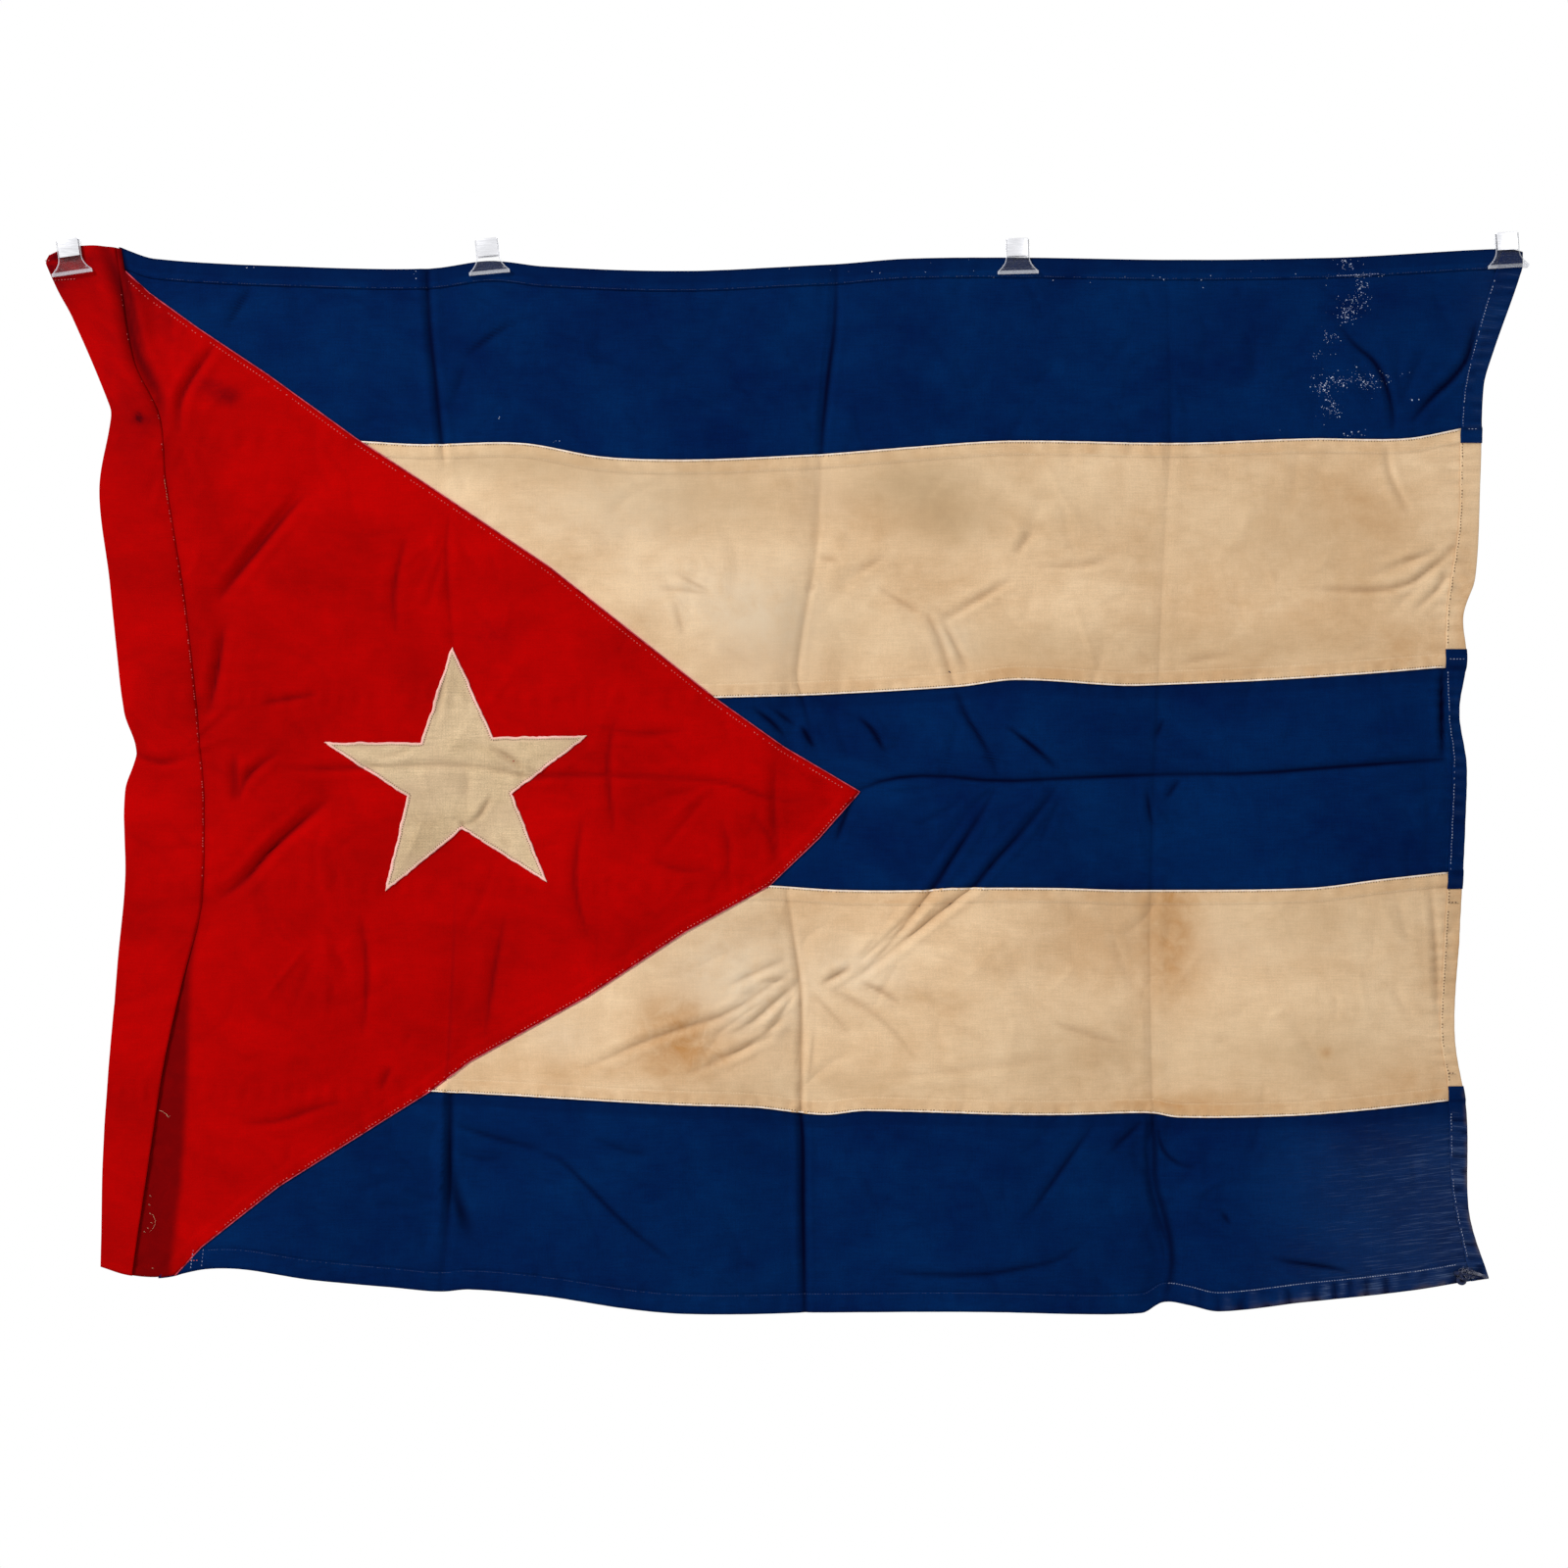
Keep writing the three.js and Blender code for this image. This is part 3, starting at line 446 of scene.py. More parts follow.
# ---------- pulled and pinched creases ----------
PULLED_CREASES = (
    # where the stripes were folded and pinched, from the upper white stripe to the foot
    Crease(((84, -296), (107, -311), (128, -322)), 1.2),
    Crease(((108, -307), (128, -312), (146, -321)), 1.0, 3.6, Pleat.RIDGE),
    Crease(((140, -328), (175, -307), (208, -287)), 1.5, 4.0),
    Crease(((207, -267), (222, -247)), 1.1, 4.0),
    Crease(((143, -328), (154, -349), (166, -373)), 1.1, 4.0),
    Crease(((226, -277), (266, -279), (293, -270)), 0.8, 4.0),
    Crease(((129, -322, 0.7), (141, -344, 1), (152, -385, 0.8)), 1.2, 4.4, painted_shade=0.6),
    Crease(((152, -385), (156, -393), (162, -411), (174, -429), (187, -453),
            (192, -471)), 1.5, 4.5, painted_shade=0.6),
    Crease(((192, -471), (175, -502), (151, -539), (136, -563), (121, -583), (98, -613), (71, -643)),
           1.7, 4.6, painted_shade=0.6),
    Crease(((250, -468), (219, -509), (182, -549), (172, -563), (158, -573), (108, -613), (74, -641),
            (54, -652)), 1.8, 4.6, painted_shade=0.6),
    Crease(((61, -637), (34, -652)), 1.6, 4.0, painted_shade=0.9),
    Crease(((68, -650), (92, -661), (105, -671)), 1.4, 4.0, painted_shade=0.8),
    Crease(((114, -674), (158, -689), (202, -708), (219, -716)), 1.0, 5.0, Pleat.RIDGE),
    Crease(((237, -684), (272, -698), (309, -707)), 0.8, 4.5),
    Crease(((7, -641), (-13, -654), (-37, -671), (-63, -684), (-81, -688), (-128, -704), (-161, -720),
            (-185, -728)), 1.3, 4.6, painted_shade=0.6),
    Crease(((13, -650), (-8, -668), (-33, -690), (-60, -700)), 0.9, 4.2),
    Crease(((4, -630), (-22, -640), (-52, -655)), 0.8, 4.2),
    Crease(((12, -672), (-14, -694), (-46, -716), (-92, -734)), 0.7, 4.6),
    Crease(((24, -660), (40, -676), (62, -700)), 0.8, 4.2),
    Crease(((30, -652), (58, -664), (96, -690), (120, -722)), 0.6, 5.0),
    Crease(((74, -738), (142, -731), (243, -718)), 0.6, 5.0, painted_shade=0.2),
    Crease(((-114, -297), (-65, -302)), 0.6, 4.0),
    Crease(((-95, -285), (-67, -301)), 0.6, 4.0),
    Crease(((-98, -308), (-90, -341)), 0.6, 4.0),
    Crease(((31, -270), (50, -272)), 0.6, 3.6),
    Crease(((20, -302), (29, -293)), 0.6, 3.6),
    Crease(((62, -285), (92, -268)), 0.8, 4.0),
    Crease(((354, -364), (405, -356)), 0.6, 4.0),
    Crease(((67, -413), (80, -424), (91, -446)), 1.3, 4.4, painted_shade=0.8),
    Crease(((62, -486), (54, -504), (46, -526)), 1.1, 5.0, painted_shade=0.6),
    Crease(((16, -421), (22, -432), (27, -441)), 1.4, 4.4, painted_shade=0.9),
    Crease(((-28, -405), (-12, -416), (2, -432)), 1.1, 4.6, painted_shade=0.7),
    Crease(((-11, -405), (11, -421)), 0.8, 4.0),
    Crease(((199, -421), (224, -440), (245, -460)), 1.2, 4.4, painted_shade=0.7),
    Crease(((341, -414), (333, -432)), 0.8, 3.8),
    Crease(((356, -468), (342, -487)), 0.8, 3.8),
    Crease(((326, -479), (329, -509), (336, -510)), 0.7, 3.8),
    # upper fly corner, pulled towards its clip
    Crease(((499, -62), (514, -81), (530, -92), (541, -114), (547, -142), (545, -160)), 1.5, 4.6, painted_shade=0.7),
    Crease(((541, -166), (541, -187), (547, -205), (562, -232)), 0.9, 4.0),
    Crease(((561, -150), (581, -126), (599, -111), (614, -92), (617, -77), (623, -56)), 1.7, 4.6, painted_shade=0.9),
    Crease(((470, -297), (514, -300), (539, -299), (562, -293), (581, -279), (602, -262), (605, -247)),
           1.5, 4.0, painted_shade=0.8),
    Crease(((563, -318), (585, -300), (600, -280)), 0.9, 4.0),
    Crease(((590, -366), (589, -400), (590, -452)), 1.8, 3.8, painted_shade=0.9),
    Crease(((578, -560), (584, -620), (586, -690)), 0.9, 4.2),
    # foot of the stripes
    Crease(((322, -775), (292, -802)), 0.9, 5.0),
    Crease(((334, -775), (339, -802), (353, -814), (370, -818)), 0.9, 4.6),
    Crease(((279, -775), (245, -822), (221, -856), (211, -862)), 0.8, 5.0),
    Crease(((272, -879), (248, -899), (211, -906), (169, -913), (88, -910)), 0.9, 5.0),
    Crease(((435, -896, 0), (452, -900, 0.7), (474, -903, 1), (490, -905, 0.8), (512, -911, 0)), 1.15, 4.4,
           painted_shade=0.7, shade_width=2.2),
    Crease(((392, -856), (400, -868)), 1.0, 4.0),
    Crease(((-225, -800), (-202, -807), (-179, -829), (-155, -854), (-128, -879), (-98, -901)), 0.9, 5.0),
    Crease(((-479, -26), (-502, -64)), 0.9, 5.0),
    Crease(((-288, -91), (-276, -80), (-255, -64), (-238, -58)), 0.7, 4.6),
    # the red cloth
    Crease(((-430, -211), (-449, -233), (-475, -265), (-499, -296), (-508, -310)), 2.6, 6.0, painted_shade=0.7),
    Crease(((-502, -330), (-507, -368), (-516, -412)), 2.3, 5.6, painted_shade=0.7),
    Crease(((-508, -75), (-535, -112), (-544, -136), (-543, -160)), 2.0, 5.6, painted_shade=0.6),
    Crease(((-608, 8, 0.6), (-600, -15, 1), (-592, -40, 1), (-583, -83, 1), (-568, -110, 0.9),
           (-559, -128, 0.6), (-557, -160, 0)), 2.6, 7.0, painted_shade=0.8, shade_width=5.5),
    Crease(((-597, 7, 0.9), (-590, -21, 1), (-583, -60, 0.8), (-571, -105, 0.3)), 1.6, 4.6, painted_shade=0.8,
           shade_width=4.5),
    Crease(((-469, -401), (-416, -392)), 1.0, 5.0),
    Crease(((-486, -776), (-452, -775), (-411, -760), (-392, -757)), 1.1, 5.6, painted_shade=0.4),
    Crease(((-352, -726), (-357, -736), (-362, -748)), 1.0, 4.6, painted_shade=0.4),
    Crease(((-300, -776), (-262, -790), (-214, -801)), 1.0, 6.0, painted_shade=0.4),
    Crease(((-170, -790), (-140, -802), (-120, -803)), 0.8, 6.0, painted_shade=0.3),
    Crease(((-120, -540), (-90, -552), (-62, -548)), 0.8, 6.0, painted_shade=0.3),
    Crease(((-58, -505), (-48, -530), (-52, -560)), 0.8, 6.0, painted_shade=0.3),
    Crease(((-30, -500), (-12, -520), (-6, -545)), 0.8, 5.0, painted_shade=0.3),
    Crease(((-170, -420), (-130, -430), (-84, -424)), 0.8, 6.0, painted_shade=0.3),
    Crease(((-408, -487), (-435, -510), (-462, -534), (-482, -560), (-506, -576)), 2.6, 6.0, painted_shade=0.7),
    Crease(((-452, -444), (-482, -466), (-489, -492)), 1.5, 5.0),
    Crease(((-491, -445), (-491, -490)), 1.4, 5.0),
    Crease(((-412, -597), (-408, -629), (-408, -660), (-412, -687)), 1.0, 7.0, Pleat.RIDGE),
    Crease(((-380, -590), (-372, -640), (-378, -700)), 0.8, 7.0),
    Crease(((-250, -590), (-262, -650), (-268, -700)), 0.8, 7.0),
    Crease(((-180, -500), (-190, -560), (-176, -610)), 0.7, 6.0),
    Crease(((-150, -410), (-160, -450), (-152, -520)), 0.7, 6.0),
    Crease(((-340, -250), (-352, -300), (-348, -340)), 0.7, 6.0),
    # the star
    Crease(((-298, -356), (-302, -385), (-305, -418)), 0.8, 3.4, Pleat.RIDGE),
    Crease(((-338, -497), (-328, -508), (-312, -512)), 0.6, 4.0, painted_shade=0.2),
    Crease(((-288, -452), (-283, -474), (-286, -496)), 0.7, 5.0, painted_shade=0.25),
    Crease(((-391, -446), (-372, -456), (-352, -462)), 0.5, 4.0, painted_shade=0.2),
    Crease(((-266, -439), (-250, -447), (-236, -457), (-232, -470)), 1.3, 3.0, painted_shade=0.4),
    Crease(((-243, -462), (-232, -468)), 1.1, 3.0, painted_shade=0.5, shade_width=3.0),
    Crease(((-262, -441), (-240, -455), (-222, -462), (-208, -470)), 0.7, 4.0, painted_shade=0.3),
    Crease(((-300, -372), (-309, -398), (-312, -420)), 0.7, 3.0, painted_shade=0.2),
    Crease(((-330, -440), (-352, -449), (-372, -447)), 0.7, 3.6, painted_shade=0.2),
    Crease(((-322, -500), (-330, -523), (-342, -545)), 0.6, 4.0, Pleat.RIDGE),
    Crease(((-288, -510), (-275, -505), (-268, -494), (-261, -482)), 1.2, 3.2, painted_shade=0.5),
    Crease(((-292, -506), (-286, -512)), 0.8, 2.6, painted_shade=0.6, shade_width=3.0),
    Crease(((-256, -517), (-243, -533)), 0.9, 5.0, painted_shade=0.25, shade_width=4.0),
)

# ---------- broad soft folds, with the storage folds' wide troughs ----------
HANGING_FOLDS = (  # x at the top edge, x at the foot, how far out, and how wide
    (-560, -455, 9, 80), (-290, -305, -6, 70), (-100, -130, 7, 95), (60, 30, -6, 60),
    (330, 190, 8, 80), (350, 345, -5, 45), (560, 500, 8, 80), (660, 625, -5, 40),
)
WIDE_TROUGHS = (
    (((47, -20), (35, -150), (29, -268), (11, -378), (0, -480), (2, -576), (16, -667), (19, -947)), -2.5, 14),
    (((333, -796), (349, -900), (341, -947)), -7.0, 16),
    (FOLD_ACROSS, -2.5, 14),
    (((-430, -211), (-508, -308)), -5.0, 18),
    (((-502, -334), (-516, -409)), -4.0, 16),
    (((-408, -487), (-506, -576)), -5.0, 18),
)


# where fans of small wrinkles start: x, z, the way they run in degrees, their spread, how many
RADIATING = (
    (20, -648, 200, 22, 16), (30, -655, 300, 30, 12), (60, -640, 40, 18, 6), (12, -690, 185, 20, 8),
    (192, -471, 250, 30, 6), (250, -468, 200, 40, 6), (66, -480, 60, 50, 8), (58, -490, 160, 14, 6),
    (-60, -470, 190, 30, 8), (547, -160, 100, 30, 6), (595, -262, 195, 18, 8), (595, -450, 180, 30, 6),
    (160, -395, 260, 25, 6), (-305, -850, 200, 40, 6), (340, -850, 20, 50, 8), (-415, -600, 270, 30, 6),
    (-550, -150, 290, 30, 6), (-300, -240, 250, 50, 5), (-545, -450, 20, 40, 6), (110, -615, 300, 40, 6),
)


@dataclass
class HangingShape:
    """How the whole flag hangs: its broad folds, its creases and its small handling wrinkles."""

    wrinkle_count: int = 680
    wrinkle_depth: tuple[float, float] = (0.25, 1.05)
    wrinkle_length: tuple[float, float] = (18.0, 90.0)
    pull: float = 2.0  # the listed creases are this much deeper than drawn
    pinch: float = 0.78  # and this much as wide
    seed: int = 7
    creases: list[Crease] = field(default_factory=list)

    def __post_init__(self) -> None:
        """Adds many faint wrinkles to the listed creases."""
        rng = np.random.default_rng(self.seed)
        faint = []
        for _ in range(self.wrinkle_count):
            x, z = rng.uniform(-600, 620), rng.uniform(-930, -10)
            turn = rng.normal(0.5 * math.pi, 0.75) if rng.random() < 0.55 else rng.normal(-0.7, 0.5)
            length = rng.uniform(*self.wrinkle_length)
            bend = rng.normal(0.0, 0.12) * length
            dx, dz = math.cos(turn) * length / 2, math.sin(turn) * length / 2
            middle = (x - dz / length * bend * 2, z + dx / length * bend * 2)
            pleat = Pleat.TROUGH if rng.random() < 0.6 else Pleat.RIDGE
            depth = rng.uniform(*self.wrinkle_depth)
            line = ((x - dx, z - dz), middle, (x + dx, z + dz))
            faint.append(Crease(line, depth, rng.uniform(3.0, 6.5), pleat, 0.08))
        for x, z, toward, spread, count in RADIATING:
            for _ in range(count):
                turn = math.radians(rng.normal(toward, spread))
                near, length = rng.uniform(5, 30), rng.uniform(25, 75)
                start = (x + near * math.cos(turn), z + near * math.sin(turn))
                turn += rng.normal(0, 0.12)
                end = (start[0] + length * math.cos(turn), start[1] + length * math.sin(turn))
                depth, width = rng.uniform(0.6, 1.7), rng.uniform(2.6, 4.6)
                pleat = Pleat.TROUGH if rng.random() < 0.6 else Pleat.RIDGE
                faint.append(Crease((start, end), depth, width, pleat, 0.1))
        placed = [
            replace(crease, depth=self.pull * crease.depth, width=self.pinch * crease.width)
            for crease in (*STORAGE_CREASES, *PULLED_CREASES)
        ]
        self.creases = [*placed, *faint]

    @staticmethod
    def hold(x: Array, z: Array) -> Array:
        """How freely the cloth hangs, from 0 beside a clip to 1 away from them.

        Args:
            x: places across the flag, in millimetres.
            z: their heights.

        Returns:
            The freedom at each place.
        """
        free = np.ones(np.shape(x))
        for clip_x, *_ in CLIP_PLACES:
            share = (np.hypot(x - clip_x, z) - CLIP_REACH) / (CLIP_RELEASE - CLIP_REACH)
            free = np.minimum(free, smoothstep(share))
        return free

    @staticmethod
    def seam_pucker(x: Array, z: Array) -> Array:
        """The small gathers along the seams and hems, where thread has drawn the cloth up.

        Args:
            x: places across the flag, in millimetres.
            z: their heights.

        Returns:
            How far the gathers stand towards the viewer at each place.
        """
        out = np.zeros(x.shape)
        for number, (line, pitch, height) in enumerate((
            (seam_1, 17.0, 0.34), (seam_2, 15.0, 0.4), (seam_3, 16.0, 0.36), (seam_4, 14.0, 0.42),
            (lambda at: top_edge(at) - HEM, FOOT_GATHER, 0.24),
            (lambda at: bottom_edge(at) + 0.6 * HEM, FOOT_GATHER, 0.42),
        )):
            near = np.exp(-(((z - line(x)) / 9.0) ** 2))
            out += height * gathers(x, pitch, number, LEVEL_GATHERS) * near
        for number, (line, pitch, height) in enumerate((
            (fly_hem, FLY_GATHER, 0.85), (sleeve_seam, 24.0, 0.35),
        )):
            near = np.exp(-(((x - line(z)) / 13.0) ** 2))
            out += height * gathers(z, pitch, number, UPRIGHT_GATHERS) * near
        return out

    def measure(self, x: Array, z: Array) -> tuple[Array, Array]:
        """How the cloth stands at points (x, z).

        Args:
            x: places across the flag, in millimetres.
            z: heights, in millimetres.

        Returns:
            How far the middle of the cloth stands towards the viewer, in millimetres, and how dark its
            creases are painted there as shade, from 0 to 1.
        """
        depth = np.clip(-z / FOLD_DEPTH_FULL, 0.0, 1.0)
        grown = smoothstep(depth)
        out = STAND_OFF * grown
        for top, foot, height, spread in HANGING_FOLDS:
            out = out + height * grown * np.exp(-(((x - lerp(top, foot, depth)) / spread) ** 2))
        for line, height, spread in WIDE_TROUGHS:
            out = out + height * np.exp(-((beside(line, x, z).distance / spread) ** 2))
        out = out + 1.0 * soft_noise(x, z, 52.0, 3) + 0.5 * soft_noise(x, z, 23.0, 4)
        free = self.hold(x, z)
        out = out * free
        crease_shade = np.zeros(x.shape)
        for crease in self.creases:
            crease.stamp(x, z, out, crease_shade)
        out = out + self.seam_pucker(x, z) * (0.3 + 0.7 * free)
        give = 0.6  # how softly the cloth flattens against what is behind it
        floor = BACKMOST + give
        return np.where(out < floor, floor - give * (1 - np.exp(-(floor - out) / give)), out), crease_shade


# ---------- marks of age, with painted shade and a painted highlight among them ---
@dataclass(frozen=True)
class Blot:
    """A soft-edged mark in the cloth, in millimetres."""

    x: float
    z: float
    across: float
    down: float
    strength: float
    lean: float = 0.0

    def cover(self, x: Array, z: Array) -> Array:
        """How much of the mark is at points (x, z).

        Args:
            x: places across the flag, in millimetres.
            z: their heights.

        Returns:
            The strength of the mark at each place.
        """
        dx, dz = x - self.x, z - self.z
        along = dx + self.lean * dz
        return self.strength * np.exp(-((along / self.across) ** 2) - (dz / self.down) ** 2)


def blotted(blots: Sequence[Blot], x: Array, z: Array) -> Array:
    """The marks together, at most 1.

    Args:
        blots: the marks.
        x: places across the flag, in millimetres.
        z: their heights.

    Returns:
        The strength of the marks at each place, from 0 to 1.
    """
    total = np.zeros(x.shape)
    for blot in blots:
        total += blot.cover(x, z)
    return np.clip(total, 0.0, 1.0)


CREAM_STAINS = (
    Blot(-97, -693, 40, 36, 0.75), Blot(-70, -720, 55, 22, 0.35), Blot(348, -600, 26, 70, 0.7),
    Blot(300, -630, 60, 50, 0.25), Blot(484, -713, 5, 5, 1.0), Blot(141, -227, 26, 22, 0.4),
    Blot(60, -222, 60, 30, 0.25), Blot(420, -300, 90, 50, 0.3), Blot(520, -230, 60, 40, 0.35),
    Blot(560, -350, 40, 24, 0.45), Blot(-20, -360, 60, 30, 0.2), Blot(345, -760, 60, 12, 0.5),
    Blot(100, -590, 60, 20, 0.25), Blot(560, -740, 50, 20, 0.35), Blot(610, -640, 12, 90, 0.5),
    Blot(612, -330, 12, 60, 0.6), Blot(-200, -730, 70, 12, 0.3), Blot(190, -372, 120, 12, 0.25),
)
# Patches pale from bleaching; the one at (380, -615) is a paler patch round a ridge, a painted highlight.
CREAM_BLEACHED_AND_HIGHLIT = (
    Blot(-15, -335, 48, 42, 0.8), Blot(-45, -655, 62, 50, 0.65), Blot(-150, -225, 80, 36, 0.4),
    Blot(-75, -300, 60, 30, 0.4), Blot(70, -640, 40, 26, 0.45), Blot(40, -215, 24, 26, 0.35),
    Blot(380, -615, 60, 26, 0.25), Blot(150, -345, 26, 20, 0.4), Blot(-200, -700, 30, 20, 0.25),
)
CREAM_GREYS = (
    Blot(118, -205, 62, 30, 0.75), Blot(150, -240, 40, 22, 0.5), Blot(240, -215, 60, 40, 0.3),
    Blot(460, -250, 110, 60, 0.35), Blot(240, -715, 110, 44, 0.3), Blot(450, -715, 110, 40, 0.4),
    Blot(-100, -215, 120, 34, 0.5), Blot(-250, -185, 90, 16, 0.5), Blot(20, -330, 70, 40, 0.35),
    Blot(200, -350, 80, 26, 0.35), Blot(50, -745, 130, 14, 0.3), Blot(450, -590, 140, 30, 0.3),
    Blot(420, -350, 160, 22, 0.35), Blot(500, -640, 90, 60, 0.15),
)
# Stains on the red cloth, with painted shade among them: darker round clip 1 in the top corner, down the
# hoist side and along the sleeve's fold.
RED_STAINS_AND_SHADE = (
    Blot(-511, -117, 17, 10, 0.5, 0.5), Blot(-499, -126, 10, 7, 0.55), Blot(-578, -144, 2.6, 3.6, 1.0),
    Blot(-656, -4, 16, 60, 0.5), Blot(-632, -2, 40, 26, 0.5), Blot(-583, -6, 10, 30, 0.4),
    Blot(-600, -70, 30, 60, 0.2), Blot(-650, -480, 34, 420, 0.14), Blot(-560, -400, 60, 240, 0.06),
    Blot(-585, -150, 34, 60, 0.2), Blot(-576, -146, 12, 5, 0.3), Blot(-560, -30, 18, 60, 0.35, 0.25),
    Blot(-300, -120, 40, 30, 0.12), Blot(-260, -340, 26, 14, 0.25),
)
FLY_WEAR = (Blot(640, -400, 24, 300, 1.0), Blot(630, -60, 20, 60, 0.5))
SPECKS = (
    Blot(520, -27, 6, 6, 0.9), Blot(508, -43, 8, 13, 0.9), Blot(505, -52, 9, 7, 1.0),
    Blot(514, -110, 27, 7, 0.9), Blot(482, -116, 7, 6, 1.0), Blot(490, -134, 8, 8, 1.0),
    Blot(497, -143, 5, 4, 0.7), Blot(505, -5, 11, 6, 0.6), Blot(514, -16.5, 22, 1.6, 1.0),
    Blot(479, -90, 5, 5, 0.6), Blot(490, -71, 9, 5, 0.7), Blot(514, -159, 9, 3, 0.6),
    Blot(528, -117, 8, 5, 0.5), Blot(524, -40, 5, 7, 0.5),
)
SCATTERED_SPECKS = (
    Blot(-478, -11, 6, 5, 0.5), Blot(-331, -15, 4, 8, 0.5), Blot(-255, -143, 3, 6, 0.5),
    Blot(-206, -164, 8, 6, 0.5), Blot(447, -157, 7, 4, 1.0), Blot(564, -127, 6, 4, 0.8),
    Blot(490, -29, 4, 4, 0.8), Blot(483, -87, 12, 3, 0.8), Blot(100, -12, 160, 10, 0.12),
    Blot(565, -110, 26, 16, 0.15), Blot(360, -20, 120, 12, 0.1),
)


@dataclass
class SheetNet:
    """A net of points on one piece of cloth, in millimetres: rows down the flag, columns across it."""

    middle: Array
    shift: Array
    thickness: Array
    flat_u: Array
    flat_v: Array
    marks: dict[str, Array]

    def normals(self) -> Array:
        """Unit vectors from the right side of the cloth to its wrong side.

        Returns:
            A vector for each point of the net.
        """
        across = np.gradient(self.middle, axis=1)
        down = np.gradient(self.middle, axis=0)
        normal = np.cross(across, down)
        length = np.linalg.norm(normal, axis=2, keepdims=True)
        return normal / np.maximum(length, 1e-9)

    def build(self, name: str) -> bpy.types.Object:
        """Makes the closed sheet: a right side, a wrong side, and the cut edge all round.

        Args:
            name: the piece's name.

        Returns:
            The new sheet, with the net's marks on both sides.
        """
        rows, columns = self.middle.shape[:2]
        normal = self.normals()
        half = self.thickness[..., None] / 2
        moved = self.middle + normal * self.shift[..., None]
        points = np.concatenate([moved - normal * half, moved + normal * half]).reshape(-1, 3)
        index = np.arange(rows * columns).reshape(rows, columns)
        a, b, c, d = index[:-1, :-1], index[1:, :-1], index[1:, 1:], index[:-1, 1:]
        right_side = np.stack([a, b, c, d], axis=-1).reshape(-1, 4)
        far = rows * columns
        wrong_side = right_side[:, ::-1] + far
        ring = np.concatenate([index[0, ::-1], index[1:, 0], index[-1, 1:], index[-2:0:-1, -1]])
        following = np.roll(ring, -1)
        rim = np.stack([following, ring, ring + far, following + far], axis=-1)
        faces = np.concatenate([right_side, wrong_side, rim])
        marks = {key: np.tile(value.ravel(), 2) for key, value in self.marks.items()}
        uv = np.tile(np.stack([self.flat_u.ravel(), self.flat_v.ravel()], axis=-1), (2, 1))
        return make_piece(name, points, faces, marks, uv)


def make_piece(
    name: str, points: Array, faces: Array, marks: dict[str, Array], uv: Array | None = None
) -> bpy.types.Object:
    """Makes a mesh object of points in millimetres.

    Args:
        name: the piece's name.
        points: an array of (x, y, z).
        faces: an array of corners, with the same number of corners to every face.
        marks: point attributes, by name.
        uv: the place of each point in the flat cloth, in millimetres.

    Returns:
        The new object, with smooth shading.
    """
    mesh = bpy.data.meshes.new(name)
    corners = faces.shape[1]
    mesh.vertices.add(len(points))
    mesh.vertices.foreach_set("co", (points * MM).astype(np.float32).ravel())
    mesh.loops.add(faces.size)
    mesh.loops.foreach_set("vertex_index", faces.astype(np.int32).ravel())
    mesh.polygons.add(len(faces))
    mesh.polygons.foreach_set("loop_start", np.arange(0, faces.size, corners, dtype=np.int32))
    mesh.polygons.foreach_set("use_smooth", np.ones(len(faces), bool))
    mesh.update(calc_edges=True)
    mesh.validate()
    for key, value in marks.items():
        layer = mesh.attributes.new(key, "FLOAT", "POINT")
        layer.data.foreach_set("value", value.astype(np.float32))
    if uv is not None:
        layer = mesh.uv_layers.new(name="cloth")
        layer.data.foreach_set("uv", (uv[faces.ravel()] * MM).astype(np.float32).ravel())
    piece = bpy.data.objects.new(name, mesh)
    bpy.context.scene.collection.objects.link(piece)
    return piece


def settle(
    piece: bpy.types.Object, slot: str, material: bpy.types.Material, nodes: Sequence[str] = ()
) -> None:
    """Gives a finished piece its material and its body, and hides the nodes that it stands for.

    Args:
        piece: the piece.
        slot: the name of its material slot; not used.
        material: the material.
        nodes: the CAD nodes that it stands for.
    """
    piece.data.materials.clear()
    piece.data.materials.append(material)
    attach(piece, "root")
    if nodes:
        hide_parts(*nodes)
    LOG.info("made %s, %d faces", piece.name, len(piece.data.polygons))


def crowded(start: float, end: float, count: int, towards: Sequence[float], pull: float = 1.4) -> Array:
    """Places from start to end, closer together near the creases that they run beside.

    Args:
        start: the first place.
        end: the last place.
        count: how many places.
        towards: where the places crowd together.
        pull: how much closer together they are there.

    Returns:
        The places, in order.
    """
    fine = np.linspace(start, end, 6 * count)
    density = np.ones(fine.shape)
    for place in towards:
        density += pull * np.exp(-(((fine - place) / 9.0) ** 2))
    total = np.concatenate([[0.0], np.cumsum((density[1:] + density[:-1]) / 2)])
    return np.interp(np.linspace(0.0, total[-1], count), total, fine)


crease_a = smooth_line(((-322, -18), (-309, -161), (-297, -350), (-294, -543), (-302, -755), (-290, -873),
                        (-309, -930)), Axis.UPRIGHT)
crease_b = smooth_line(((47, -20), (35, -150), (29, -268), (11, -378), (10, -480), (2, -576), (16, -667),
                        (19, -947)), Axis.UPRIGHT)
crease_c = smooth_line(((344, -18), (348, -160), (335, -400), (328, -570), (333, -796), (349, -900),
                        (341, -947)), Axis.UPRIGHT)


